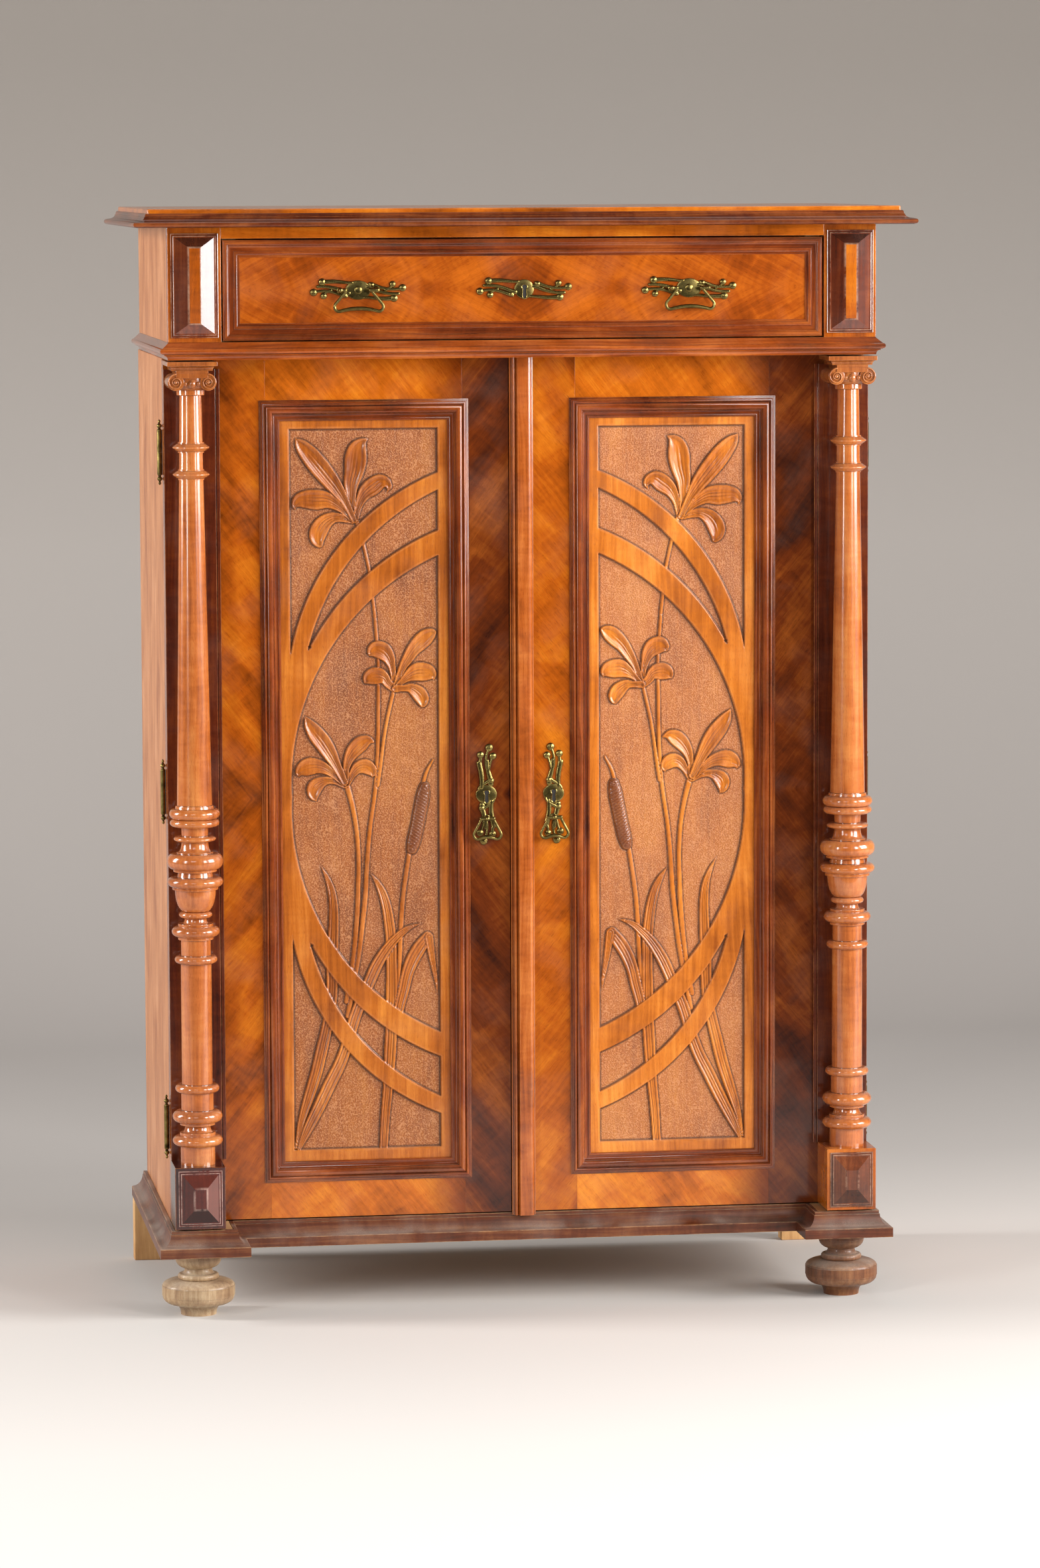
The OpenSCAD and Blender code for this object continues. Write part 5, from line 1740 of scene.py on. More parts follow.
@dataclass(frozen=True)
class DoorSizes:
    """Places on a door, given for the right one; the left one mirrors them about X = 0.

    Attributes:
        outer: Outer edge.
        low: Bottom edge.
        high: Top edge.
        back: Depth of the back.
        front: Depth of the face.
        opening: Inner and outer edge of the panel opening.
        sill: Bottom of the opening.
        head: Top of the opening.
        column_x: Axis of the column.
        column_d: Depth of that axis.
        column_back: Depth of the flat at the column's back.
        bottom: Foot of the column.
        hinge_x: Axis of the hinges.
        hinge_d: Depth of that axis.
        hinges: Heights of their middles.
    """

    outer: float = 479.0
    low: float = 126.5
    high: float = 1290.5
    back: float = 391.0
    front: float = 415.0
    opening: tuple = (77.0, 343.0)
    sill: float = 184.0
    head: float = 1227.5
    column_x: float = 445.5
    column_d: float = 449.0
    column_back: float = 421.2
    bottom: float = 211.0
    hinge_x: float = 482.6
    hinge_d: float = 390.5
    hinges: tuple = (252.5, 709.5, 1167.0)


class Door(Builder):
    """One door with its column, carving and brass, drawn for the right-hand side."""

    s = DoorSizes()

    def __init__(self, side: int, name: str, finishes: Finishes) -> None:
        """Keeps the side and the finishes.

        Args:
            side: -1 for the left door, 1 for the right one.
            name: Name of the side.
            finishes: The materials.
        """
        super().__init__(finishes)
        self.side = side
        self.name = name
        self.body = name + "_door"
        self.meeting = 14.0 if side < 0 else -13.0

    def put(
        self, name: str, surface: Surface, finish: Wood | Metal, slot: str, *nodes: str,
        **more: object,
    ) -> None:
        """Places a piece of this door.

        Args:
            name: Name without the side.
            surface: The form as it stands on the right.
            finish: Its finish.
            slot: Material slot of the record.
            nodes: CAD nodes that it stands for, without the side.
            more: Further settings of place.
        """
        if self.side < 0:
            surface = surface.mirrored()
            if "normals" in more:
                more["normals"] = more["normals"] * MIRROR
        names = [f"{self.name}_{node}" for node in nodes]
        super().put(f"{self.name}_{name}", surface, finish, slot, *names, **more)

    def put_apart(self, name: str, surface: Surface, body: str, *nodes: str) -> None:
        """Places a brass piece that rides another body than the door.

        Args:
            name: Its whole name.
            surface: The form as it stands on the right.
            body: Body that it rides.
            nodes: CAD nodes that it stands for.
        """
        surface = surface if self.side > 0 else surface.mirrored()
        super().put(name, surface, BRASS, "brass_fittings", *nodes, body=body)

    def make(self) -> None:
        """Makes every piece of the door."""
        self.frame()
        self.panel_moulding()
        Carving(self).build()
        self.pilaster()
        self.pedestal()
        self.column()
        self.capital()
        self.hinges()
        self.brass()

    def frame(self) -> None:
        """Stiles and rails with matched veneers."""
        s = self.s
        inner, outer = s.opening
        d = (s.back, s.front)
        hanging = block((outer, s.outer), d, (s.low, s.high), 0.15)
        meeting = block((self.meeting, inner), d, (s.low, s.high), 0.15)
        rails = [block((inner + 0.02, outer - 0.02), d, z, 0.1)
                 for z in ((s.low, s.sill), (s.head, s.high))]
        # The left door's meeting stile and the right door's hanging stile take the darker copy:
        # painted shade.
        outside, inside = (STILE_SHADED, STILE_BRIGHT)[:: self.side]
        self.put("hanging_stile", hanging, outside, "walnut_veneer", "door_frame")
        self.put("meeting_stile", meeting, inside, "walnut_veneer", "door_frame")
        self.put("rails", joined(rails), RAILS[self.side], "walnut_veneer", "door_frame")

    def panel_moulding(self) -> None:
        """The mitred moulding round the panel."""
        s = self.s
        w = 28.0
        profile = chain(
            [[0, 0], [0, 1.6], [1.3, 1.6], [1.3, 2.8], [2.8, 2.8], [2.8, 4]],
            bulge((4.4, 4), (8, 4), (0, 1), 2),
            bulge((8.6, 3.6), (w - 10, 2.4), (0, 1), 4),
            quarter((w - 9.2, 2.4), (w - 3.6, -1.6), 1),
            bulge((w - 3.4, -1.6), (w, -2.8), (0, 1), 1.3),
            [[w, -5], [8.8, -5], [8.8, 0]],
        )
        ring = frame_run((68.5, 351.5), (s.sill - 8.5, s.head + 8.5), s.front, profile)
        self.put("panel_frame", ring, MOULDING, "walnut_moulding", "panel_moulding")

    def pilaster(self) -> None:
        """The flat strip behind the column."""
        profile = np.array(
            [[0, 0], [0, 6], [4.2, 6], [4.6, 5.1], [5.3, 5.1], [5.7, 6], [74.5, 6], [74.5, 0]]
        )
        strip = upright_run(404.5, self.s.front, (self.s.bottom, 1278.5), profile)
        # Its finish paints the column's shade on the strip.
        self.put("pilaster_strip", strip, PILASTER_SHADED, "walnut_veneer", "pilaster")

    def pedestal(self) -> None:
        """The square block under the column with its raised plaque."""
        s = self.s
        wood, slot = (
            (MAHOGANY, "mahogany_block") if self.side < 0 else (PLAIN_Z, "walnut_veneer")
        )
        cube = block((411.5, 479.5), (s.front, 483), (s.low, s.bottom), 1.0)
        self.put("pedestal_block", cube, wood, slot, "pedestal")
        plaque = stepped_plaque(s.column_x, 168.75, 483, 59, 75.5, (16, 27.5), 1.6, 4)
        self.put("pedestal_plaque", plaque, PLAQUES[self.side], "walnut_moulding",
                 "pedestal_pyramid", smooth=6)

    def column(self) -> None:
        """The turned column, flat at its back, with two loose rings."""
        foot = [
            ("drum", 25, 23.4, 23.4), ("bead", 14.5, 24.5, 33.8), ("drum", 4, 24.2, 24.2),
            ("hollow", 10, 22, 17), ("drum", 3.2, 23.8, 23.8), ("bead", 17, 24, 33.6),
            ("drum", 24, 21.9, 21.9), ("bead", 11, 24, 29.8),
        ]
        knot = [
            ("bead", 10.5, 23, 28.7), ("drum", 22, 20.2, 20.2), ("drum", 3.5, 23.9, 23.9),
            ("bead", 14.5, 24, 32.2), ("drum", 3.5, 23.7, 23.7), ("hollow", 7.5, 18, 14.8),
            ("bead", 8.5, 17, 22.5), ("round", 30, 15.8, 27.6), ("drum", 3.6, 30.8, 30.8),
            ("bead", 13.2, 30, 37.4), ("drum", 7.6, 24.2, 22.8), ("drum", 3, 29.4, 29.4),
            ("bead", 21.2, 29.5, 37.6), ("drum", 2, 24.6, 24.6), ("hollow", 14, 23.6, 18.1),
            ("bead", 7.5, 21, 28.5), ("drum", 12.5, 17.8, 18.4), ("bead", 10.5, 27, 33.4),
            ("bead", 14, 27, 34.1), ("drum", 4, 26.2, 25.4),
        ]
        s = self.s
        z_knot = s.bottom + sum(m[1] for m in foot) + 164
        z_shaft = z_knot + sum(m[1] for m in knot)
        shaft = np.column_stack([np.linspace(23.7, 14.6, 25), np.linspace(z_shaft, 1245.5, 25)])
        profile = chain(
            turned_list(foot, s.bottom),
            [[20.8, z_knot - 164], [20.8, z_knot]],
            turned_list(knot, z_knot),
            shaft,
            [[18.6, 1245.5], [18.6, 1252]],
        )
        ring = np.array(
            [[3, -3.5], [3, -1.5], [4.5, -1.5], [10, 2.8], [10, 4.2], [4, 8.5], [3, 8.5],
             [3, 10.5]]
        ) + np.array([14.6, 0])
        parts = [
            turned(outline, s.column_x, s.column_d, 72, s.column_back)
            for outline in (profile, ring + np.array([0, 1172.5]), ring + np.array([0, 1136.5]))
        ]
        self.put("turned_column", joined(parts), TURNED, "walnut_moulding", "column")

    def capital(self) -> None:
        """Abacus, cushion, scrolls and eggs."""
        x, half = self.s.column_x, 33.5
        slab = block((x - half, x + half), (self.s.front, 482), (1284.5, self.s.high), 0.8)
        plan = [(x - half, 421), (x - half, 482), (x + half, 482), (x + half, 421)]
        cushion = chain(
            [[-20, 0]], quarter((-6, 0), (-1, 6), 1), [[-1, 6.2], [-20, 6.2]]
        )
        parts = [slab, level_run(plan, 1278.5, cushion, 0.2)]
        for way in (-1, 1):
            parts += self.scroll(x + way * 21.5, 1263.0, way)
        parts.append(block((x - 21.5, x + 21.5), (421, 478), (1268.4, 1278.5), 0.6))
        parts.append(block((x - 21.5, x + 21.5), (476, 479), (1275.5, 1278.5), 0.4))
        bell = chain(quarter((18, 0), (27, 12), 0), [[27, 17]]) + np.array([0, 1252.0])
        parts.append(turned(bell, x, self.s.column_d, 56, self.s.column_back))
        parts += [
            ball(x + dx, 474.5, 1261.0, (r, r, r * 1.15))
            for dx, r in ((-8.5, 3.0), (0.0, 5.5), (8.5, 3.0))
        ]
        self.put("carved_capital", joined(parts), CAPITAL, "walnut_moulding", "capital")

    def scroll(self, x: float, z: float, way: int) -> list:
        """One scroll: a drum with a spiral rib on its face.

        Args:
            x: Place of its eye.
            z: Height of its eye.
            way: -1 for the scroll on the left of the capital, 1 for the right.

        Returns:
            The surfaces.
        """
        rows = np.array([[0, 421], [11, 421], [11, 476.2], [10.4, 476.6], [0, 476.6]])
        drum = front_turned(rows, x, z, 48, 0.2)
        turn = np.linspace(0, 2.35 * 2 * math.pi, 150)
        reach = 11.0 * np.exp(-turn / 9.2)
        angle = QUARTER_TURN - way * turn
        path = np.column_stack([x + reach * np.cos(angle), z + reach * np.sin(angle)])
        rib = cast_ribbon(path, 1.15, 0.55, 476.4, 2.6)
        eye = dome(oval(2.5, 2.5, 24), x, 476.4, z, 1.8, 0.6)
        return [drum, rib, eye]

    def hinges(self) -> None:
        """Upper knuckles and finials of the three hinges; the case holds the lower ones."""
        s = self.s
        rise = np.array(
            [[3.4, 0.15], [3.4, 30], [2.1, 31.2], [1.7, 32.4], [3.23, 34.2], [3.47, 35.6],
             [3.06, 37], [1.7, 38.4], [1.02, 39.6], [1.87, 40.8], [1.7, 42.4], [0.3, 44]]
        )
        fall = rise[::-1] * np.array([1, -1])
        upper, lower = (
            joined([turned(half + np.array([0, z]), s.hinge_x, s.hinge_d, 32)
                    for z in s.hinges])
            for half in (rise, fall)
        )
        self.put("hinge_tops", upper, BRASS, "brass_fittings", "hinge_leaves")
        self.put_apart(f"{self.name}_hinge_feet", lower, "case", "case_hinge_leaves",
                       "hinge_pins")

    def brass(self) -> None:
        """The keyhole plate, the keyhole, the post and the pull."""
        # Place and height of the keyhole, height of the post, depth of the pull's eyes.
        x, z, low, eyes_d = 46.0, 700.0, 668.0, 424.3
        front = self.s.front
        parts = cast_plate(x, z, front, oval(14.2, 12.7), DOOR_STEMS, DOOR_BUDS, -1)
        parts.append(dome(oval(4.6, 4.6), x, front, low, 0.8, 1.6))
        parts.append(keyhole_rim(x, z, front + 2.3))
        parts.append(stud(x, low, front + 1.8, 7.5))
        self.put("keyhole_plate", joined(parts), BRASS, "brass_fittings", "escutcheon")
        self.put("keyhole", keyhole(x, z, front), KEYHOLE_SHADE, "iron_locks")
        pull = [DOOR_PULL.form(x, low, eyes_d),
                bar(x - DOOR_PULL.eyes, x + DOOR_PULL.eyes, eyes_d, low, 2.7)]
        name = f"pull_{self.name}"
        self.put_apart(name + "_bail", joined(pull), name, name)


# Carving


LEAF_STEPS = 48


@dataclass(frozen=True)
class Leaf:
    """A carved petal, blade or stem along a bent middle line.

    Attributes:
        points: Middle line from root to tip as (x, z, half width), on the right-hand door.
        rise: Height above the cut ground.
        kind: "petal", "blade", "stem" or "reed".
    """

    points: tuple
    rise: float = 3.2
    kind: str = "petal"

    def line(self) -> tuple:
        """The middle line as a smooth curve.

        Returns:
            Points of shape (n, 2) and half widths of shape (n,).
        """
        p = np.array(self.points, float)
        gap = lengths(p[:, :2])
        t = np.linspace(0, gap[-1], LEAF_STEPS)
        slope = np.gradient(p, gap, axis=0)
        i = np.clip(np.searchsorted(gap, t, side="right") - 1, 0, len(gap) - 2)
        h = (gap[i + 1] - gap[i])[:, None]
        u = ((t - gap[i]) / h[:, 0])[:, None]
        a, b = p[i], p[i + 1]
        curve = (
            (2 * u**3 - 3 * u**2 + 1) * a
            + (u**3 - 2 * u**2 + u) * h * slope[i]
            + (-2 * u**3 + 3 * u**2) * b
            + (u**3 - u**2) * h * slope[i + 1]
        )
        return curve[:, :2], np.maximum(curve[:, 2], 0.0)

    def measure(self, x: np.ndarray, z: np.ndarray) -> tuple:
        """How far each place lies across and along the leaf.

        Args:
            x: Places, shape (n,).
            z: Heights, shape (n,).

        Returns:
            Signed share of the half width, distance outside the outline and share along it.
        """
        line, half = self.line()
        a, d = line[:-1], np.diff(line, axis=0)
        size = np.maximum((d * d).sum(1), 1e-9)
        rx, rz = x[:, None] - a[:, 0], z[:, None] - a[:, 1]
        u = np.clip((rx * d[:, 0] + rz * d[:, 1]) / size, 0, 1)
        gap = np.hypot(rx - u * d[:, 0], rz - u * d[:, 1])
        width = half[:-1] + u * np.diff(half)
        outside = gap - width
        best = outside.argmin(1)
        row = np.arange(len(x))
        side = np.sign(rx[row, best] * d[best, 1] - rz[row, best] * d[best, 0])
        share = side * gap[row, best] / np.maximum(width[row, best], 0.4)
        along = (best + u[row, best]) / len(d)
        return share, outside[row, best], along

    def height(self, share: np.ndarray, outside: np.ndarray, along: np.ndarray) -> np.ndarray:
        """Height of the leaf above the ground.

        Args:
            share: Signed share of the half width.
            outside: Distance outside the outline.
            along: Share of the way from root to tip.

        Returns:
            Heights in millimetres.
        """
        q = np.abs(share)
        fall = np.clip(-outside / 0.9, 0, 1)
        fall = fall * fall * (3 - 2 * fall)
        if self.kind == "stem":
            body = 0.55 + 0.45 * np.sqrt(np.clip(1 - q * q, 0, 1))
        elif self.kind == "reed":
            knobs = 0.9 + 0.1 * np.cos(along * 170 + share) * np.cos(share * 7 + along * 40)
            body = np.sqrt(np.clip(1 - q * q, 0.02, 1)) * knobs
        elif self.kind == "blade":
            ribs = np.exp(-(((q - 0.42) / 0.13) ** 2)) + 0.7 * np.exp(-((q / 0.12) ** 2))
            body = 0.78 + 0.2 * q - 0.4 * ribs
        else:
            rim = np.clip((q - 0.35) / 0.5, 0, 1)
            veins = np.exp(-(((q - 0.17) / 0.09) ** 2)) * np.clip(2.6 - 3 * along, 0, 1)
            veins += 0.6 * np.exp(-(((q - 0.5) / 0.08) ** 2)) * np.clip(2 - 3 * along, 0, 1)
            belly = 0.42 + 0.56 * rim * rim * (3 - 2 * rim)
            body = belly + 0.16 * np.clip(along - 0.6, 0, 1) - 0.3 * veins
        return self.rise * body * fall


LILIES = (
    Leaf(((195.6, 942.8, 2.4), (193.4, 912.5, 2.4), (191.3, 878.6, 2.4), (191.5, 841.9, 2.6),
          (192, 799.0, 2.7), (193, 760, 2.8), (195.8, 714.5, 3.0), (199, 690, 2.9),
          (203.6, 659.5, 3.0), (208.6, 604.3, 3.3), (211, 564.5, 3.5), (216, 520, 3.6),
          (221.0, 482.0, 3.6), (226, 455, 3.6), (236, 400, 3.6)), 2.4, "stem"),
    Leaf(((218.6, 1070.8, 3.2), (212.1, 1046.8, 2.7), (206.9, 1025.2, 2.4), (202.7, 1005, 2.4),
          (198.5, 970, 2.4), (195.6, 942.8, 2.4)), 2.4, "stem"),
    Leaf(((170.6, 843, 2.6), (176.5, 818, 2.5), (181.5, 795, 2.5), (185.5, 770, 2.5),
          (189.2, 742.1, 2.8), (193.5, 714.6, 3.0)), 2.4, "stem"),
    Leaf(((235.4, 716.3, 4.0), (227.6, 685.4, 3.5), (222.6, 655.3, 3.2), (220.3, 623.0, 3.2),
          (221, 570, 3.4), (223.8, 520, 3.6), (229.4, 469.5, 3.4), (238, 420, 3.4)), 2.4,
         "stem"),
    Leaf(((149.6, 628, 3.0), (155.5, 591.6, 3.2), (160.6, 552.0, 3.3), (163.2, 512.5, 3.4),
          (165, 474.3, 3.2), (169.3, 427.5, 3.0), (176, 380, 3)), 2.4, "stem"),
    Leaf(((132.6, 710, 2.8), (126.4, 731.7, 2.5), (117.9, 747.4, 1.6)), 2.4, "stem"),
    Leaf(((147.2, 626.5, 7.4), (145.4, 634, 9.0), (141.5, 650, 9.3), (136, 677, 9.3),
          (131.6, 700, 9.0), (129.9, 711, 7.0)), 4.9, "reed"),
    Leaf(((188.6, 217, 5.9), (185.5, 265.7, 6.5), (181.3, 309.6, 7.2), (178.7, 351.9, 8.3),
          (177, 380.0, 8.3), (176.2, 427.7, 7.9), (176.0, 468.2, 7.4), (176.4, 500.1, 7.4),
          (178.8, 525.6, 7.2), (182.5, 548.6, 6.6), (188.1, 567.8, 5.6), (195.0, 581.9, 3.6),
          (205.0, 596.1, 0.0)), 3.0, "blade"),
    Leaf(((171, 380, 5), (166, 410, 7), (159.7, 435, 7.8), (154.4, 457.5, 8.4),
          (147.3, 475.2, 9.2), (137.7, 491.5, 9.4), (126.8, 506, 7.6)), 3.0, "blade"),
    Leaf(((124.6, 506.0, 6.0), (121.4, 483.5, 4.8), (118.1, 463.0, 3.6), (115.0, 445.1, 2.3),
          (113.2, 427.1, 0.3)), 2.6, "blade"),
    Leaf(((308.4, 221, 2.0), (299.5, 261.0, 5.3), (289.1, 293.7, 7.4), (279.5, 324.8, 8.2),
          (272.3, 354.3, 8.2), (265.9, 380.8, 7.8), (260, 410, 7.6), (257.2, 450, 8.0),
          (257.2, 482.9, 8.1), (255.8, 502.0, 7.6), (254.6, 527.4, 6.8), (254.6, 550, 6.2),
          (257.6, 573.0, 5.0), (264.0, 591.6, 3.0), (272.6, 608.0, 0.0)), 3.0, "blade"),
    Leaf(((304.5, 219, 2.6), (291.9, 246.6, 6.8), (276.0, 277.6, 8.3), (260.2, 310.1, 8.6),
          (247.5, 334.9, 8.3), (238, 360, 8), (226, 400.2, 8.2), (216, 425, 8.0),
          (207.3, 444.8, 7.9), (199.6, 462.4, 8.2), (190.6, 478.8, 7.7), (180.3, 493.8, 6.9),
          (168.8, 506.3, 5.9), (157.3, 516.2, 4.4), (145.8, 521.7, 2.4),
          (133.7, 524.8, 0.0)), 3.4, "blade"),
    Leaf(((224.6, 1071.5, 2.9), (236.6, 1076.0, 5.3), (248.6, 1077.7, 6.8),
          (260.6, 1073.1, 9.9), (267.9, 1065.4, 11.9), (272.1, 1056.5, 11.9),
          (272.8, 1047.6, 8.7), (269.8, 1041.6, 4.4), (266.6, 1038.9, 0.0))),
    Leaf(((228.1, 1075.7, 2.9), (237.7, 1086.6, 4.8), (248.4, 1095.1, 7.5),
          (260.4, 1101.2, 11.1), (273.6, 1101.9, 13.6), (286.8, 1102.5, 12.4),
          (297.6, 1101.0, 8.7), (303.0, 1095.1, 4.1), (302.5, 1086.8, 0.0))),
    Leaf(((220.3, 1075.6, 3.6), (216.2, 1094.7, 5.5), (208.1, 1110.1, 9.5),
          (196.6, 1119.5, 12.1), (186.9, 1125.4, 9.5), (179.7, 1124.1, 6.7),
          (175.5, 1118.1, 3.9), (178.8, 1109.5, 0.0))),
    Leaf(((224.5, 1078.0, 2.7), (226.4, 1100.8, 6.1), (226.6, 1121.1, 9.9),
          (222.3, 1140.1, 13.3), (220.1, 1156.8, 15.0), (217.9, 1169.3, 11.9),
          (211.8, 1178.2, 5.8), (203.1, 1183.1, 0.0))),
    Leaf(((222.7, 1073.0, 4.0), (236.4, 1100.9, 6.3), (247.1, 1117.1, 10.2),
          (260.1, 1134.0, 12.8), (273.2, 1150.2, 13.6), (283.9, 1163.5, 12.1),
          (292.8, 1173.7, 8.7), (301.9, 1184.8, 0.0)), 3.4),
    Leaf(((170.6, 848.0, 4.0), (171.6, 866.4, 4.2), (174.3, 879.2, 6.1), (179.2, 889.9, 9.6),
          (186.6, 896.9, 12.2), (194.4, 899.0, 10.9), (199.9, 896.2, 6.8),
          (203.3, 890.5, 1.1))),
    Leaf(((170, 846, 6.0), (178.6, 852.3, 6.1), (183.6, 859.7, 7.8), (190.5, 862.8, 10.9),
          (197.8, 862.9, 11.8), (203.8, 860.9, 8.9), (208.7, 855.1, 2.8))),
    Leaf(((168, 848, 4.0), (158.6, 873.5, 5.5), (150.7, 887.1, 7.8), (142.4, 899.4, 9.6),
          (134.0, 907.9, 11.3), (125.7, 915.1, 10.7), (118.8, 919.6, 6.5),
          (112.4, 922.0, 0.0))),
    Leaf(((167.8, 846.8, 3.4), (155.5, 858.3, 5.4), (147.2, 864.1, 9.1), (138.9, 867.5, 12.4),
          (130.6, 867.5, 12.7), (123.2, 866.5, 10.2), (117.7, 862.7, 5.2),
          (115.7, 855.8, 0.0))),
    Leaf(((168.8, 844.9, 5.0), (155.6, 845.7, 4.8), (147.8, 845.6, 6.3), (140.9, 841.8, 8.9),
          (135.2, 836.2, 10.3), (131.5, 829.4, 8.5), (131.3, 823.4, 4.6),
          (133.2, 818.9, 0.0)), 3.4),
    Leaf(((238.3, 716.3, 5.5), (250.5, 720.9, 4.7), (262.2, 722.1, 5.5), (272.5, 718.9, 8.4),
          (278.9, 713.2, 10.6), (280.9, 705.9, 8.6), (279.8, 699.5, 4.7),
          (276.1, 694.1, 0.0))),
    Leaf(((239.7, 718.3, 4.6), (254.3, 730.8, 5.1), (265.0, 738.3, 7.7), (276.7, 741.9, 10.2),
          (288.4, 741.2, 12.0), (296.3, 737.9, 8.4), (301.0, 732.6, 3.9),
          (299.8, 726.7, 0.0))),
    Leaf(((235.4, 717.2, 4.6), (227.2, 730.7, 5.5), (219.6, 738.9, 8.2), (211.3, 740.7, 10.0),
          (204.2, 737.1, 9.0), (200.1, 731.2, 4.7), (200.8, 725.7, 0.8))),
    Leaf(((237.3, 719.0, 4.2), (235.5, 740.7, 5.1), (230.9, 754.3, 7.8), (223.8, 764.4, 10.4),
          (215.9, 771.5, 10.6), (207.1, 775.8, 6.3), (197.3, 773.0, 0.6))),
    Leaf(((238.2, 719.0, 4.6), (251.3, 745.8, 7.5), (259.0, 759.7, 10.2),
          (267.7, 773.5, 11.8), (277.3, 786.3, 11.0), (285.5, 798.2, 7.3),
          (291.8, 810.5, 0.0)), 3.4),
)


class Carving:
    """The carved panel of a door: straps, border, punched ground, lilies and reeds.

    Its constants are the heights of the bands, the panel's left and right ends, the distance
    between neighbouring points, the depth of its face, how deep the ground is cut, the depth of
    its back and the height of its middle.
    """

    BANDS = ((197.0, 536.0), (536.0, 875.0), (875.0, 1214.5))

    ENDS = (92.0, 328.0)
    CELL, FACE, DEEP, BACK, MIDDLE = 0.95, 410.0, 4.0, 400.0, 700.5

    def __init__(self, door: Door) -> None:
        """Keeps the door.

        Args:
            door: The door that holds the panel.
        """
        self.door = door

    def ground(self, x: np.ndarray, z: np.ndarray) -> np.ndarray:
        """Distance into the cut ground, negative on the border and the straps.

        Args:
            x: Places.
            z: Heights.

        Returns:
            Signed distances in millimetres.
        """
        rel = np.abs(z - self.MIDDLE)
        corner = np.where(rel > 136, np.hypot(x + 7, rel - 136) - 322, -99)
        between = np.minimum(315 - np.hypot(x + 19, rel - 126), np.hypot(x + 16, rel - 42) - 340)
        between = np.where(rel > 199, between, -99)
        middle = 335 - np.hypot(x + 24, rel - 18)
        dot = 2.6 - np.hypot(x - 284.7, rel - 203)
        field_ = np.minimum.reduce([x - 109, 311 - x, z - 217.5, 1197.5 - z])
        cut = np.maximum.reduce([corner, between, middle, dot])
        return np.minimum(cut, field_)

    def relief(self, x: np.ndarray, z: np.ndarray) -> tuple:
        """Heights of the whole panel above its cut ground.

        Args:
            x: Grid of places.
            z: Grid of heights.

        Returns:
            Heights, and the shares of bare ground and of reed head at each place.
        """
        wavy = 0.12 * np.sin(x * 0.21 + 1.3 * np.sin(z * 0.05)) * np.sin(z * 0.17 + 0.6)
        low = wavy.copy()
        bare, head = np.ones_like(x), np.zeros_like(x)
        for leaf in LILIES:
            line, half = leaf.line()
            reach = half.max() + 4
            near = (
                (x > line[:, 0].min() - reach)
                & (x < line[:, 0].max() + reach)
                & (z > line[:, 1].min() - reach)
                & (z < line[:, 1].max() + reach)
            )
            share, outside, along = leaf.measure(x[near], z[near])
            rise = leaf.height(share, outside, along)
            over = np.clip(-outside / 0.5, 0, 1)
            rim = np.clip(1 - np.maximum(outside, 0) / 1.5, 0, 1) * (outside > 0)
            old = low[near] - 0.7 * rim
            low[near] = np.where(outside < 0, np.maximum(rise, old * (1 - over)), old)
            bare[near] = bare[near] * (1 - over)
            if leaf.kind == "reed":
                head[near] = np.maximum(head[near], over)
        cut = np.clip(self.ground(x, z) / 1.5 + 0.1, 0, 1)
        cut = cut * cut * (3 - 2 * cut)
        return self.DEEP + (low - self.DEEP) * cut, bare * cut, head * cut

    def build(self) -> None:
        """Builds the panel in three bands that share their edges."""
        xs, *rows = [
            np.linspace(a, b, int(round((b - a) / self.CELL)) + 1)
            for a, b in (self.ENDS, *self.BANDS)
        ]
        zs = np.concatenate([rows[0]] + [r[1:] for r in rows[1:]])
        x, z = np.meshgrid(xs, zs)
        high, bare, head = self.relief(x, z)
        soft = self.blurred(high, 3)
        slope_z, slope_x = np.gradient(high, zs, xs)
        marks = {
            "ground": bare,
            "head": head,
            # hollow: where the face lies below its surroundings; the finish paints shade there.
            "hollow": np.clip((soft - high - 0.12) / 0.7, 0, 1),
            "rim": np.clip((high - soft - 0.1) / 0.5, 0, 1),
        }
        points = front_grid(x, self.FACE - self.DEEP + high, z)
        normals = unit(np.stack([-slope_x, -np.ones_like(high), -slope_z], axis=-1))
        start = 0
        for number, row in enumerate(rows):
            band = slice(start, start + len(row))
            start += len(row) - 1
            part = {key: value[band] for key, value in marks.items()}
            self.band(number, points[band], normals[band], part)

    @staticmethod
    def blurred(value: np.ndarray, reach: int) -> np.ndarray:
        """The mean over a square about each place.

        Args:
            value: Grid of values.
            reach: Half size of the square in cells.

        Returns:
            Grid of means.
        """
        padded = np.pad(value, reach, mode="edge")
        size = 2 * reach + 1
        total = np.cumsum(np.cumsum(np.pad(padded, ((1, 0), (1, 0))), axis=0), axis=1)
        square = total[size:, size:] - total[:-size, size:] - total[size:, :-size]
        return (square + total[:-size, :-size]) / size**2

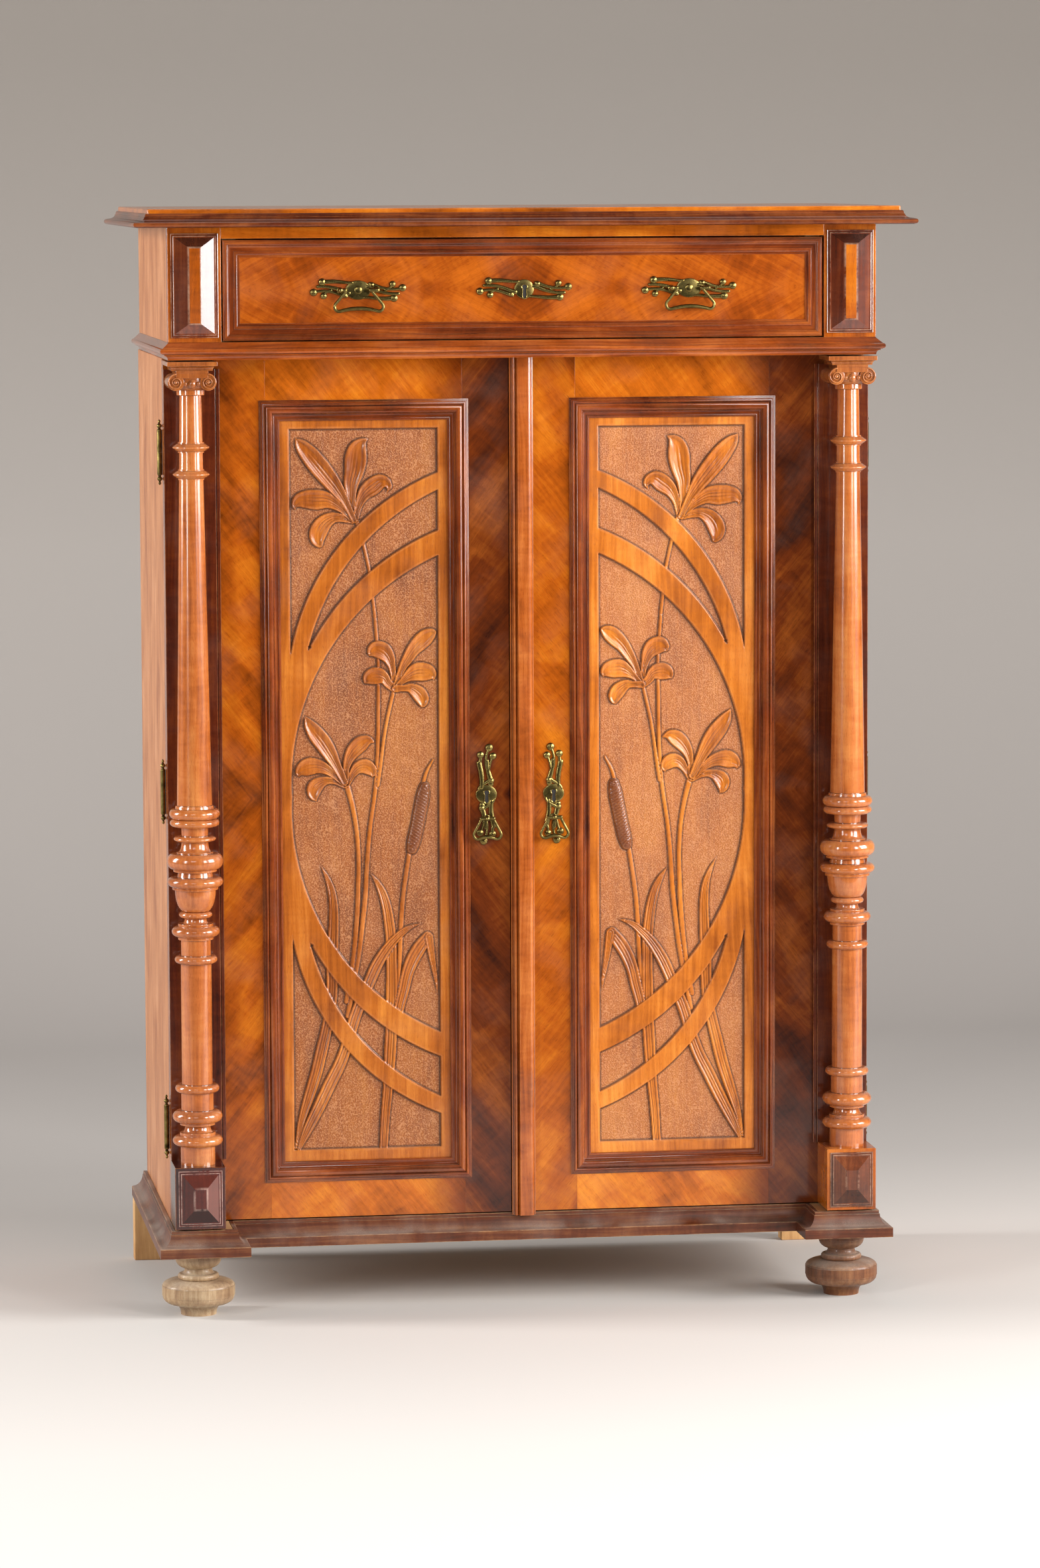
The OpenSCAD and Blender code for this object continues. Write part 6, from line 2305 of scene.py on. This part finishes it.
    def band(
        self, number: int, points: np.ndarray, normals: np.ndarray, marks: dict
    ) -> None:
        """One band as a closed slab: carved face, four sides and a flat back.

        Args:
            number: Number of the band from below.
            points: Grid of the face's points.
            normals: Their shading normals.
            marks: Shares of bare ground, reed head, groove and raised edge at each of them.
        """
        size = points.shape[0] * points.shape[1]
        ids = np.arange(size).reshape(points.shape[:2])
        edge = np.r_[ids[0, :-1], ids[:-1, -1], ids[-1, :0:-1], ids[:0:-1, 0]]
        rear = points.reshape(-1, 3)[edge].copy()
        rear[:, 1] = row_y(self.BACK)
        base = size + np.arange(len(edge))
        walls = np.stack([edge, base, np.roll(base, -1), np.roll(edge, -1)], axis=-1)
        faces = np.vstack([grid_faces(ids).reshape(-1, 4), walls])
        marks = {key: np.r_[value.ravel(), np.zeros(len(edge))] for key, value in marks.items()}
        surface = Surface(
            np.vstack([points.reshape(-1, 3), rear]),
            faces,
            np.zeros((len(faces), 4, 2)),
            marks.pop("rim"),
            [base[::-1].copy()],
        ).outward()
        back = np.tile([0.0, 1.0, 0.0], (len(edge), 1))
        self.door.put(
            f"carved_panel_{number + 1}", surface, CARVED[self.door.side], "walnut_veneer",
            "carved_panel", normals=np.vstack([normals.reshape(-1, 3), back]), marks=marks,
        )


# Brass


def cast_plate(
    x: float, z: float, depth: float, centre: np.ndarray, stems: tuple, buds: tuple, flip: int
) -> list:
    """A cast plate: an oval middle, two equal ends of whiplash stems, and their buds.

    Args:
        x: Place of the middle.
        z: Height of the middle.
        depth: Depth of the face that it lies on.
        centre: Outline of the middle.
        stems: Control points, first and last half width of each stem.
        buds: Place and radius of each bud.
        flip: 1 as drawn, -1 mirrored from side to side.

    Returns:
        The surfaces.
    """
    parts = [dome(centre, x, depth, z, 1.1, 1.3)]
    middle = np.array([x, z])
    for turn in (1.0, -1.0):
        for line, w0, w1 in stems:
            path = cubic(line) * turn * np.array([flip, 1]) + middle
            parts.append(cast_ribbon(path, w0, w1, depth, 2.6))
        for bx, bz, r in buds:
            at = np.array([bx * flip, bz]) * turn + middle
            parts.append(dome(oval(r, r, 28), at[0], depth, at[1], 2.6, 0.7))
            parts.append(dome(oval(r * 0.45, r * 0.45, 20), at[0], depth + 2.7, at[1], 0.9, 0.1))
    return parts


def keyhole_outline() -> np.ndarray:
    """Outline of a keyhole about its middle.

    Returns:
        Points of shape (n, 2).
    """
    top = np.linspace(-0.87, math.pi + 0.87, 20)
    foot = np.linspace(math.pi, FULL_TURN, 12)
    return chain(
        np.column_stack([3.3 * np.cos(top), 2.5 + 3.3 * np.sin(top)]),
        np.column_stack([2.6 * np.cos(foot), -9 + 2.6 * np.sin(foot)]),
    )


def keyhole_rim(x: float, z: float, depth: float) -> Surface:
    """The raised lip about a keyhole.

    Args:
        x: Place of the keyhole.
        z: Height of the keyhole.
        depth: Depth of the face that it stands on.

    Returns:
        The surface.
    """
    hole = keyhole_outline()
    rim = hole * np.array([1.45, 1.16])
    ring = [(hole, -0.3), (hole, 0.8), ((hole + rim) / 2, 1.2), (rim, 0.7), (rim, -0.3)]
    rows = [
        front_grid(x + outline[:, 0], depth + out, z + outline[:, 1])
        for outline, out in ((closed_up(o), out) for o, out in ring + ring[:1])
    ]
    return grid_surface(np.stack(rows), 0.6, close_rows=True)


def keyhole(x: float, z: float, depth: float) -> Surface:
    """The hole itself, as a near-black form: painted shade in the hole.

    Args:
        x: Place of the keyhole.
        z: Height of the keyhole.
        depth: Depth of the face behind it.

    Returns:
        The surface.
    """
    return dome(keyhole_outline(), x, depth, z, 0.05, 2.5)


@dataclass(frozen=True)
class Bail:
    """A cast bail that hangs from two eyes: legs that lean out and a bar that bows up.

    Attributes:
        eyes: Half distance of its eyes.
        tilt: Lean of the legs in degrees.
        bend: Radius of the bend at the eyes.
        corner: Radius of the lower corners.
        rise: Half angle of the bow in degrees.
        drop: Depth below the eyes.
        wire: Radius of the wire.
    """

    eyes: float
    tilt: float
    bend: float
    corner: float
    rise: float
    drop: float
    wire: float

    def path(self) -> np.ndarray:
        """The middle line.

        Returns:
            Points as (x, z) from the right eye to the left one.
        """
        r1, r2 = self.bend, self.corner
        t, b = math.radians(self.tilt), math.radians(self.rise)
        leg = (self.drop - r1 * math.sin(t) - r2 * (1 + math.sin(t))) / math.cos(t)
        xc = self.eyes + r1 * (1 - math.cos(t)) + leg * math.sin(t) - r2 * math.cos(t)
        bow = (xc - r2 * math.sin(b)) / math.sin(b)
        a = np.linspace(0, t, 6)
        eye = np.column_stack([self.eyes + r1 * (1 - np.cos(a)), -r1 * np.sin(a)])
        end = eye[-1] + leg * np.array([math.sin(t), -math.cos(t)])
        a = np.linspace(0, QUARTER_TURN + t + b, 12)
        mid = end + r2 * np.array([-math.cos(t), -math.sin(t)])
        corner = mid + r2 * np.column_stack([np.cos(t - a), np.sin(t - a)])
        a = np.linspace(b, 0, 14)
        top = corner[-1, 1] - bow * math.cos(b)
        low = np.column_stack([bow * np.sin(a), top + bow * np.cos(a)])
        low[:, 1] += corner[-1, 1] - low[0, 1]
        straight = np.linspace(eye[-1], end, 6)
        half = chain(eye, straight[1:], corner[1:], low[1:])
        return chain(half, half[::-1][1:] * np.array([-1, 1]))

    def form(self, x: float, z: float, depth: float) -> Surface:
        """The bail itself, which swells towards the middle of its bar.

        Args:
            x: Place of its middle.
            z: Height of its eyes.
            depth: Depth of its eyes.

        Returns:
            The surface.
        """
        flat = self.path()
        run = np.linspace(-1, 1, len(flat))
        radius = self.wire * (0.82 + 0.34 * np.exp(-((run / 0.42) ** 2)))
        return rod(front_grid(x + flat[:, 0], depth, z + flat[:, 1]), radius)


def bar(x0: float, x1: float, depth: float, z: float, r: float) -> Surface:
    """A short level pin with rounded ends.

    Args:
        x0: Left end.
        x1: Right end.
        depth: Depth of its axis.
        z: Height of its axis.
        r: Radius.

    Returns:
        The surface.
    """
    return rod(front_grid(np.linspace(x0, x1, 6), depth, z), np.full(6, r))


def stud(x: float, z: float, depth: float, length: float, r: float = 3.8) -> Surface:
    """A turned post that stands out of a plate and ends in a ball.

    Args:
        x: Place of its axis.
        z: Height of its axis.
        depth: Depth of the plate's face.
        length: Distance from the face to the middle of the ball.
        r: Radius of the ball.

    Returns:
        The surface.
    """
    t = np.linspace(-QUARTER_TURN + 0.7, QUARTER_TURN, 12)
    prof = chain(
        [[0, -0.4], [r * 1.05, -0.4], [r * 1.05, 0.8], [r * 0.62, 1.8], [r * 0.55, length - r]],
        np.column_stack([r * np.cos(t), length + r * np.sin(t)]),
    )
    prof[-1, 0] = 0
    return front_turned(prof + np.array([0, depth]), x, z, 28, 0.6)


# Stems are control points with the first and last half width, buds are place and radius.
DOOR_STEMS = (
    ([(-11, 6), (-10, 14), (4, 16), (6, 22)], 1.6, 3.0),
    ([(6, 14), (6, 24), (1, 30), (1, 46)], 3.8, 2.6),
    ([(1, 34), (-2, 44), (-1, 52), (3, 62)], 2.0, 1.6),
    ([(3, 30), (4, 38), (6, 46), (8.5, 51)], 1.8, 1.5),
    ([(-7, 9), (-5, 22), (-7, 30), (-10, 43)], 3.0, 3.6),
    ([(-10, 42), (-8, 46), (-8, 48), (-8, 52)], 2.4, 2.0),
)
DOOR_BUDS = ((6.5, 18.5, 4.2), (4, 63.5, 5.4), (9, 52, 5.0), (-8, 54, 5.0))
DRAWER_STEMS = (
    ([(-8, 10), (-18, 9), (-26, 13), (-46, 11)], 1.8, 3.0),
    ([(-12, -4), (-22, -2), (-30, 6), (-54, 5)], 3.0, 2.0),
    ([(-16, -8), (-24, -7), (-34, 2), (-58, -2)], 2.6, 2.0),
    ([(-36, 0), (-40, -1), (-43, -3), (-46, -6)], 2.0, 1.6),
)
DRAWER_BUDS = ((-18, -6.8, 3.8), (-48, 11, 5.0), (-59.5, -2.7, 5.0), (-46, -7.5, 4.4))


DOOR_PULL = Bail(eyes=9, tilt=28, bend=8, corner=6, rise=26, drop=28, wire=2.3)
DRAWER_BAIL = Bail(eyes=17.5, tilt=40, bend=5, corner=6, rise=16, drop=28, wire=2.4)


class MeetingStrip(Builder):
    """The moulded strip that covers the meeting line of the doors."""

    body = "right_door"

    def make(self) -> None:
        """Makes the strip."""
        x0, x1, t = -13.0, 19.0, 12.0
        turn = np.linspace(0, QUARTER_TURN, 6)
        profile = chain(
            [[x0, 0], [x0, t / 4], [x0 + 2.4, t / 4], [x0 + 2.4, t / 2]],
            bulge((x0 + 3.4, t / 2), (x0 + 7.4, t / 2), (0, 1), t / 4),
            [[x0 + 8.4, t * 0.6], [x0 + 10, t]],
            np.column_stack(
                [x1 - 8 + 6.4 * np.sin(turn), 0.3 * t + 0.7 * t * np.cos(turn)]
            ),
            [[x1, 0.25 * t], [x1, 0]],
        )
        strip = upright_run(0.0, DoorSizes.front, (122.0, DoorSizes.high), profile)
        self.put("meeting_strip", strip, STRIP, "walnut_veneer", "centre_strip")


class Drawer(Builder):
    """The wide drawer: front, moulding and brass."""

    body = "drawer"
    HIGH = (1317.5, 1450.5)
    FRONT = 473.0

    def make(self) -> None:
        """Makes the drawer's visible pieces."""
        board = [
            block((-404, 404), (466.6, self.FRONT), self.HIGH, 0.8),
            block((-404, -30.3), (457, 466.6), self.HIGH, 0.1),
            block((30.3, 404), (457, 466.6), self.HIGH, 0.1),
            block((-30.3, 30.3), (457, 466.6), (1317.5, 1366.2), 0.1),
        ]
        self.put("drawer_face", joined(board), DRAWER_FIELD, "walnut_veneer", "drawer_front")
        profile = chain(
            [[0, 0], [0, 3.6], [1.6, 5]],
            bulge((2.4, 5), (6.4, 5), (0, 1), 1),
            [[7, 4.6]],
            quarter((7.6, 4.6), (14, 2.2), 1),
            bulge((14.6, 2.2), (20, 1.4), (0, 1), 1.8),
            [[21, 1.2], [23, 1.2], [23, 0]],
        )
        ring = frame_run((-404, 404), self.HIGH, self.FRONT, profile)
        self.put("drawer_frame", ring, MOULDING, "walnut_moulding", "drawer_moulding")
        self.brass()

    def plate(self, x: float, z: float, half_width: float) -> list:
        """One cast plate.

        Args:
            x: Place of its middle.
            z: Height of its middle.
            half_width: Half width of its middle.

        Returns:
            The surfaces.
        """
        middle = oval(half_width, 12.7)
        return cast_plate(x, z, self.FRONT, middle, DRAWER_STEMS, DRAWER_BUDS, 1)

    def brass(self) -> None:
        """Handle plates with bails, and the keyhole plate."""
        # Height of the keyhole and the handles, depth of the bails' eyes.
        z, eyes_d = 1383.5, 482.3
        front, slot, eyes = self.FRONT, "brass_fittings", DRAWER_BAIL.eyes
        handles = {"bail_left": -223.0, "bail_right": 223.0}
        parts = []
        for x in handles.values():
            parts += self.plate(x, z, 16.5)
            parts.append(dome(oval(5.5, 5.5, 32), x, front + 2.2, z, 1.6, 0.3))
            parts += [stud(x + side * 24.5, z, front + 1.6, 7.6) for side, _ in SIDES]
        self.put("handle_plates", joined(parts), BRASS, slot, "drawer_handle_plates")
        for name, x in handles.items():
            hanger = [DRAWER_BAIL.form(x, z, eyes_d)]
            hanger += [
                bar(x + side * eyes - 2.6, x + side * eyes + 2.6 + side * 3, eyes_d, z, 2.9)
                for side, _ in SIDES
            ]
            self.put(name + "_drop", joined(hanger), BRASS, slot, name, body=name)
        escutcheon = self.plate(0, z, 12.9) + [keyhole_rim(0, z, front + 2.3)]
        self.put("drawer_keyhole_plate", joined(escutcheon), BRASS, slot, "drawer_escutcheon")
        self.put("drawer_keyhole", keyhole(0, z, front), KEYHOLE_SHADE, "iron_locks")


class HiddenPieces(Builder):
    """The CAD pieces that stay as they are, dressed in raw pine and iron."""

    LEVEL = ("shelves", "bottom_board", "drawer_back", "middle_board", "drawer_bottom")
    DEEP = ("drawer_guides", "shelf_battens", "drawer_sides")
    UPRIGHT = ("back_boards", "shelf_racks")
    BY_SLOT = {
        "walnut_veneer": PLAIN_X,
        "walnut_moulding": SHADED,
        "mahogany_block": MAHOGANY,
        "softwood": PINE_X,
        "brass_fittings": BRASS,
        "iron_locks": IRON,
    }

    def build(self) -> int:
        """Dresses every CAD piece by its kind.

        Returns:
            Number of pieces.
        """
        slots = {s["node"]: s["material_slot"] for s in frame["record"]["subparts"]}
        for name, node in frame["nodes"].items():
            finish = self.BY_SLOT[slots[name]]
            if name in self.DEEP:
                finish = PINE_Y
            elif name in self.UPRIGHT:
                finish = PINE_Z
            elif name in self.LEVEL:
                finish = PINE_X
            material = self.finishes.get(finish)
            if not node.material_slots:
                node.data.materials.append(material)
            for slot in node.material_slots:
                slot.material = material
        return len(frame["nodes"])


# Studio


@dataclass(frozen=True)
class View:
    """The photo's camera.

    Attributes:
        place: Place in metres.
        yaw: Turn towards +X in radians.
        pitch: Tilt upwards in radians.
        roll: Turn about its own axis in radians.
        focal: Focal length in pixels of a picture 2364 high.
    """

    place: tuple = (-1.1164, -7.8352, 1.5472)
    yaw: float = 0.1443
    pitch: float = -0.107
    roll: float = -0.004
    focal: float = 8682.6


def shown(name: str, data: object, axes: tuple = ()) -> bpy.types.Object:
    """Puts an object of the studio into the scene.

    Args:
        name: Its name.
        data: Its mesh, lamp or camera.
        axes: Its three axes and its place, if it isn't upright at the origin.

    Returns:
        The object.
    """
    obj = bpy.data.objects.new(name, data)
    if axes:
        matrix = np.eye(4)
        matrix[:3] = np.column_stack(axes)
        obj.matrix_world = Matrix(matrix.tolist())
    bpy.context.scene.collection.objects.link(obj)
    return obj


class Studio:
    """Camera, floor, backdrop and soft lights.

    The paper's tones go from the front of the floor up the backdrop and paint the light's
    fall-off. Each lamp has a name, a place, a point that it looks at, its width and height, and
    its watts.
    """

    PAPER_FALLOFF = (
        (0.0, "E1D9D4"), (0.11, "E1D9D4"), (0.18, "D8D3CD"), (0.36, "AAA49F"),
        (0.5, "A19A95"), (0.67, "9C958F"), (0.78, "857E77"), (1.0, "7C756E"),
    )
    LAMPS = (
        ("key", (4.1, -2.0, 2.1), (0, 0, 1.0), (2.2, 2.4), 350),
        ("tall_right", (2.2, -3.5, 1.9), (0, 0, 1.2), (0.8, 1.8), 85),
        ("tall_left", (-4.0, -3.7, 1.9), (0, 0, 0.9), (0.55, 2.2), 100),
        ("side", (-4.6, 0.5, 2.1), (0, 0, 0.9), (1.0, 2.4), 235),
        ("front", (-1.8, -6.5, 3.4), (0, 0, 0.9), (2.2, 1.4), 52),
        ("top", (0.2, 1.2, 4.2), (0, 0, 0.4), (3.0, 2.0), 32),
    )

    def __init__(self, view: View = View()) -> None:
        """Keeps the view.

        Args:
            view: The camera's place and lens.
        """
        self.view = view

    def build(self) -> int:
        """Builds the studio.

        Returns:
            Number of objects.
        """
        before = len(bpy.data.objects)
        self.camera()
        self.floor()
        self.lights()
        return len(bpy.data.objects) - before

    def camera(self) -> None:
        """Sets the camera to the photo's angle."""
        v = self.view
        ahead = np.array(
            [math.sin(v.yaw) * math.cos(v.pitch), math.cos(v.yaw) * math.cos(v.pitch),
             math.sin(v.pitch)]
        )
        right = np.array([math.cos(v.yaw), -math.sin(v.yaw), 0.0])
        up = np.cross(right, ahead)
        c, s = math.cos(v.roll), math.sin(v.roll)
        x_axis, y_axis = c * right + s * up, -s * right + c * up
        data = bpy.data.cameras.new("photo_camera")
        data.sensor_fit = "AUTO"
        data.sensor_width = 36.0
        data.lens = v.focal * data.sensor_width / 2364.0
        data.clip_end = 60.0
        obj = shown("photo_camera", data, (x_axis, y_axis, -ahead, v.place))
        bpy.context.scene.camera = obj

    def floor(self) -> None:
        """A floor that bends up into a backdrop, pale in front and grey higher up: painted light
        fall-off.
        """
        t = np.linspace(0, QUARTER_TURN, 33)
        bend = np.column_stack([2.2 + 1.6 * np.sin(t), 1.6 * (1 - np.cos(t))])
        y, z = np.vstack([[-9.5, 0.0], bend, [3.8, 7.0]]).T[:, :, None]
        grid = np.stack(np.broadcast_arrays(np.linspace(-7, 7, 3), y, z), axis=-1)
        points = grid.reshape(-1, 3)
        quads = grid_faces(np.arange(len(points)).reshape(grid.shape[:2]))
        mesh = bpy.data.meshes.new("studio_floor")
        mesh.from_pydata(points.tolist(), [], quads.reshape(-1, 4).tolist())
        mesh.shade_smooth()
        mesh.materials.append(self.floor_paint())
        shown("studio_floor", mesh)

    def floor_paint(self) -> bpy.types.Material:
        """Matt paper: nearly white on the floor and grey higher up as painted light fall-off,
        dark before it in mirrors.

        Returns:
            The material.
        """
        material, t, shader = new_material("studio_paper")
        xyz = t.add("SeparateXYZ", {0: t.add("TexCoord").outputs["Object"]}).outputs
        run = t.math("ADD", xyz[1], xyz[2])
        # Painted light fall-off: bright in front, darker further back and higher up.
        paper = t.ramp(t.fit(run, -3.0, 8.0), self.PAPER_FALLOFF)
        mirrored = t.add("LightPath").outputs["Is Glossy Ray"]
        before = t.math("MULTIPLY", mirrored, t.fit(run, -1.76, -1.85))
        paint = t.mix(before, paper, colour("2C2927"))
        t.feed(shader, {"Base Color": paint, "Roughness": 0.9})
        # Seen from behind, the paper lets the view through, so it never hides the cabinet.
        behind = t.add("NewGeometry").outputs["Backfacing"]
        clear = t.add("BsdfTransparent").outputs[0]
        one_sided = t.add("MixShader", {0: behind, 1: shader.outputs[0], 2: clear})
        t.feed(t.tree.nodes["Material Output"], {"Surface": one_sided.outputs[0]})
        return material

    def lights(self) -> None:
        """Key light from the upper right, fill from the left, and a soft sky."""
        for name, at, aim, size, watts in self.LAMPS:
            data = bpy.data.lights.new(name, "AREA")
            data.shape = "RECTANGLE"
            data.size, data.size_y = size
            data.energy = watts
            back = unit(np.array(at) - np.array(aim))
            side = unit(np.cross([0, 0, 1], back))
            shown(name, data, (side, np.cross(back, side), back, at))
        world = bpy.data.worlds.new("soft_sky")
        world.use_nodes = True
        t = Tree(world.node_tree)
        seen = t.add("LightPath").outputs["Is Glossy Ray"]
        sky = t.mix(seen, colour("B9BABC"), colour("606060"))
        t.feed(world.node_tree.nodes["Background"], {0: sky, 1: 0.2})
        bpy.context.scene.world = world
        bpy.context.scene.view_settings.view_transform = "Standard"


def main() -> None:
    """Builds the cabinet and its studio, and logs how many pieces each step makes."""
    logging.basicConfig(level=logging.INFO, format="%(name)s: %(message)s")
    finishes = Finishes()
    steps = [("inner pieces", HiddenPieces(finishes)), ("case", Carcase(finishes))]
    steps += [(name + " door", Door(side, name, finishes)) for side, name in SIDES]
    steps += [("strip", MeetingStrip(finishes)), ("drawer", Drawer(finishes))]
    steps.append(("studio", Studio()))
    for label, builder in steps:
        LOG.info("%s: %d pieces", label, builder.build())


if __name__ == "__main__":
    main()
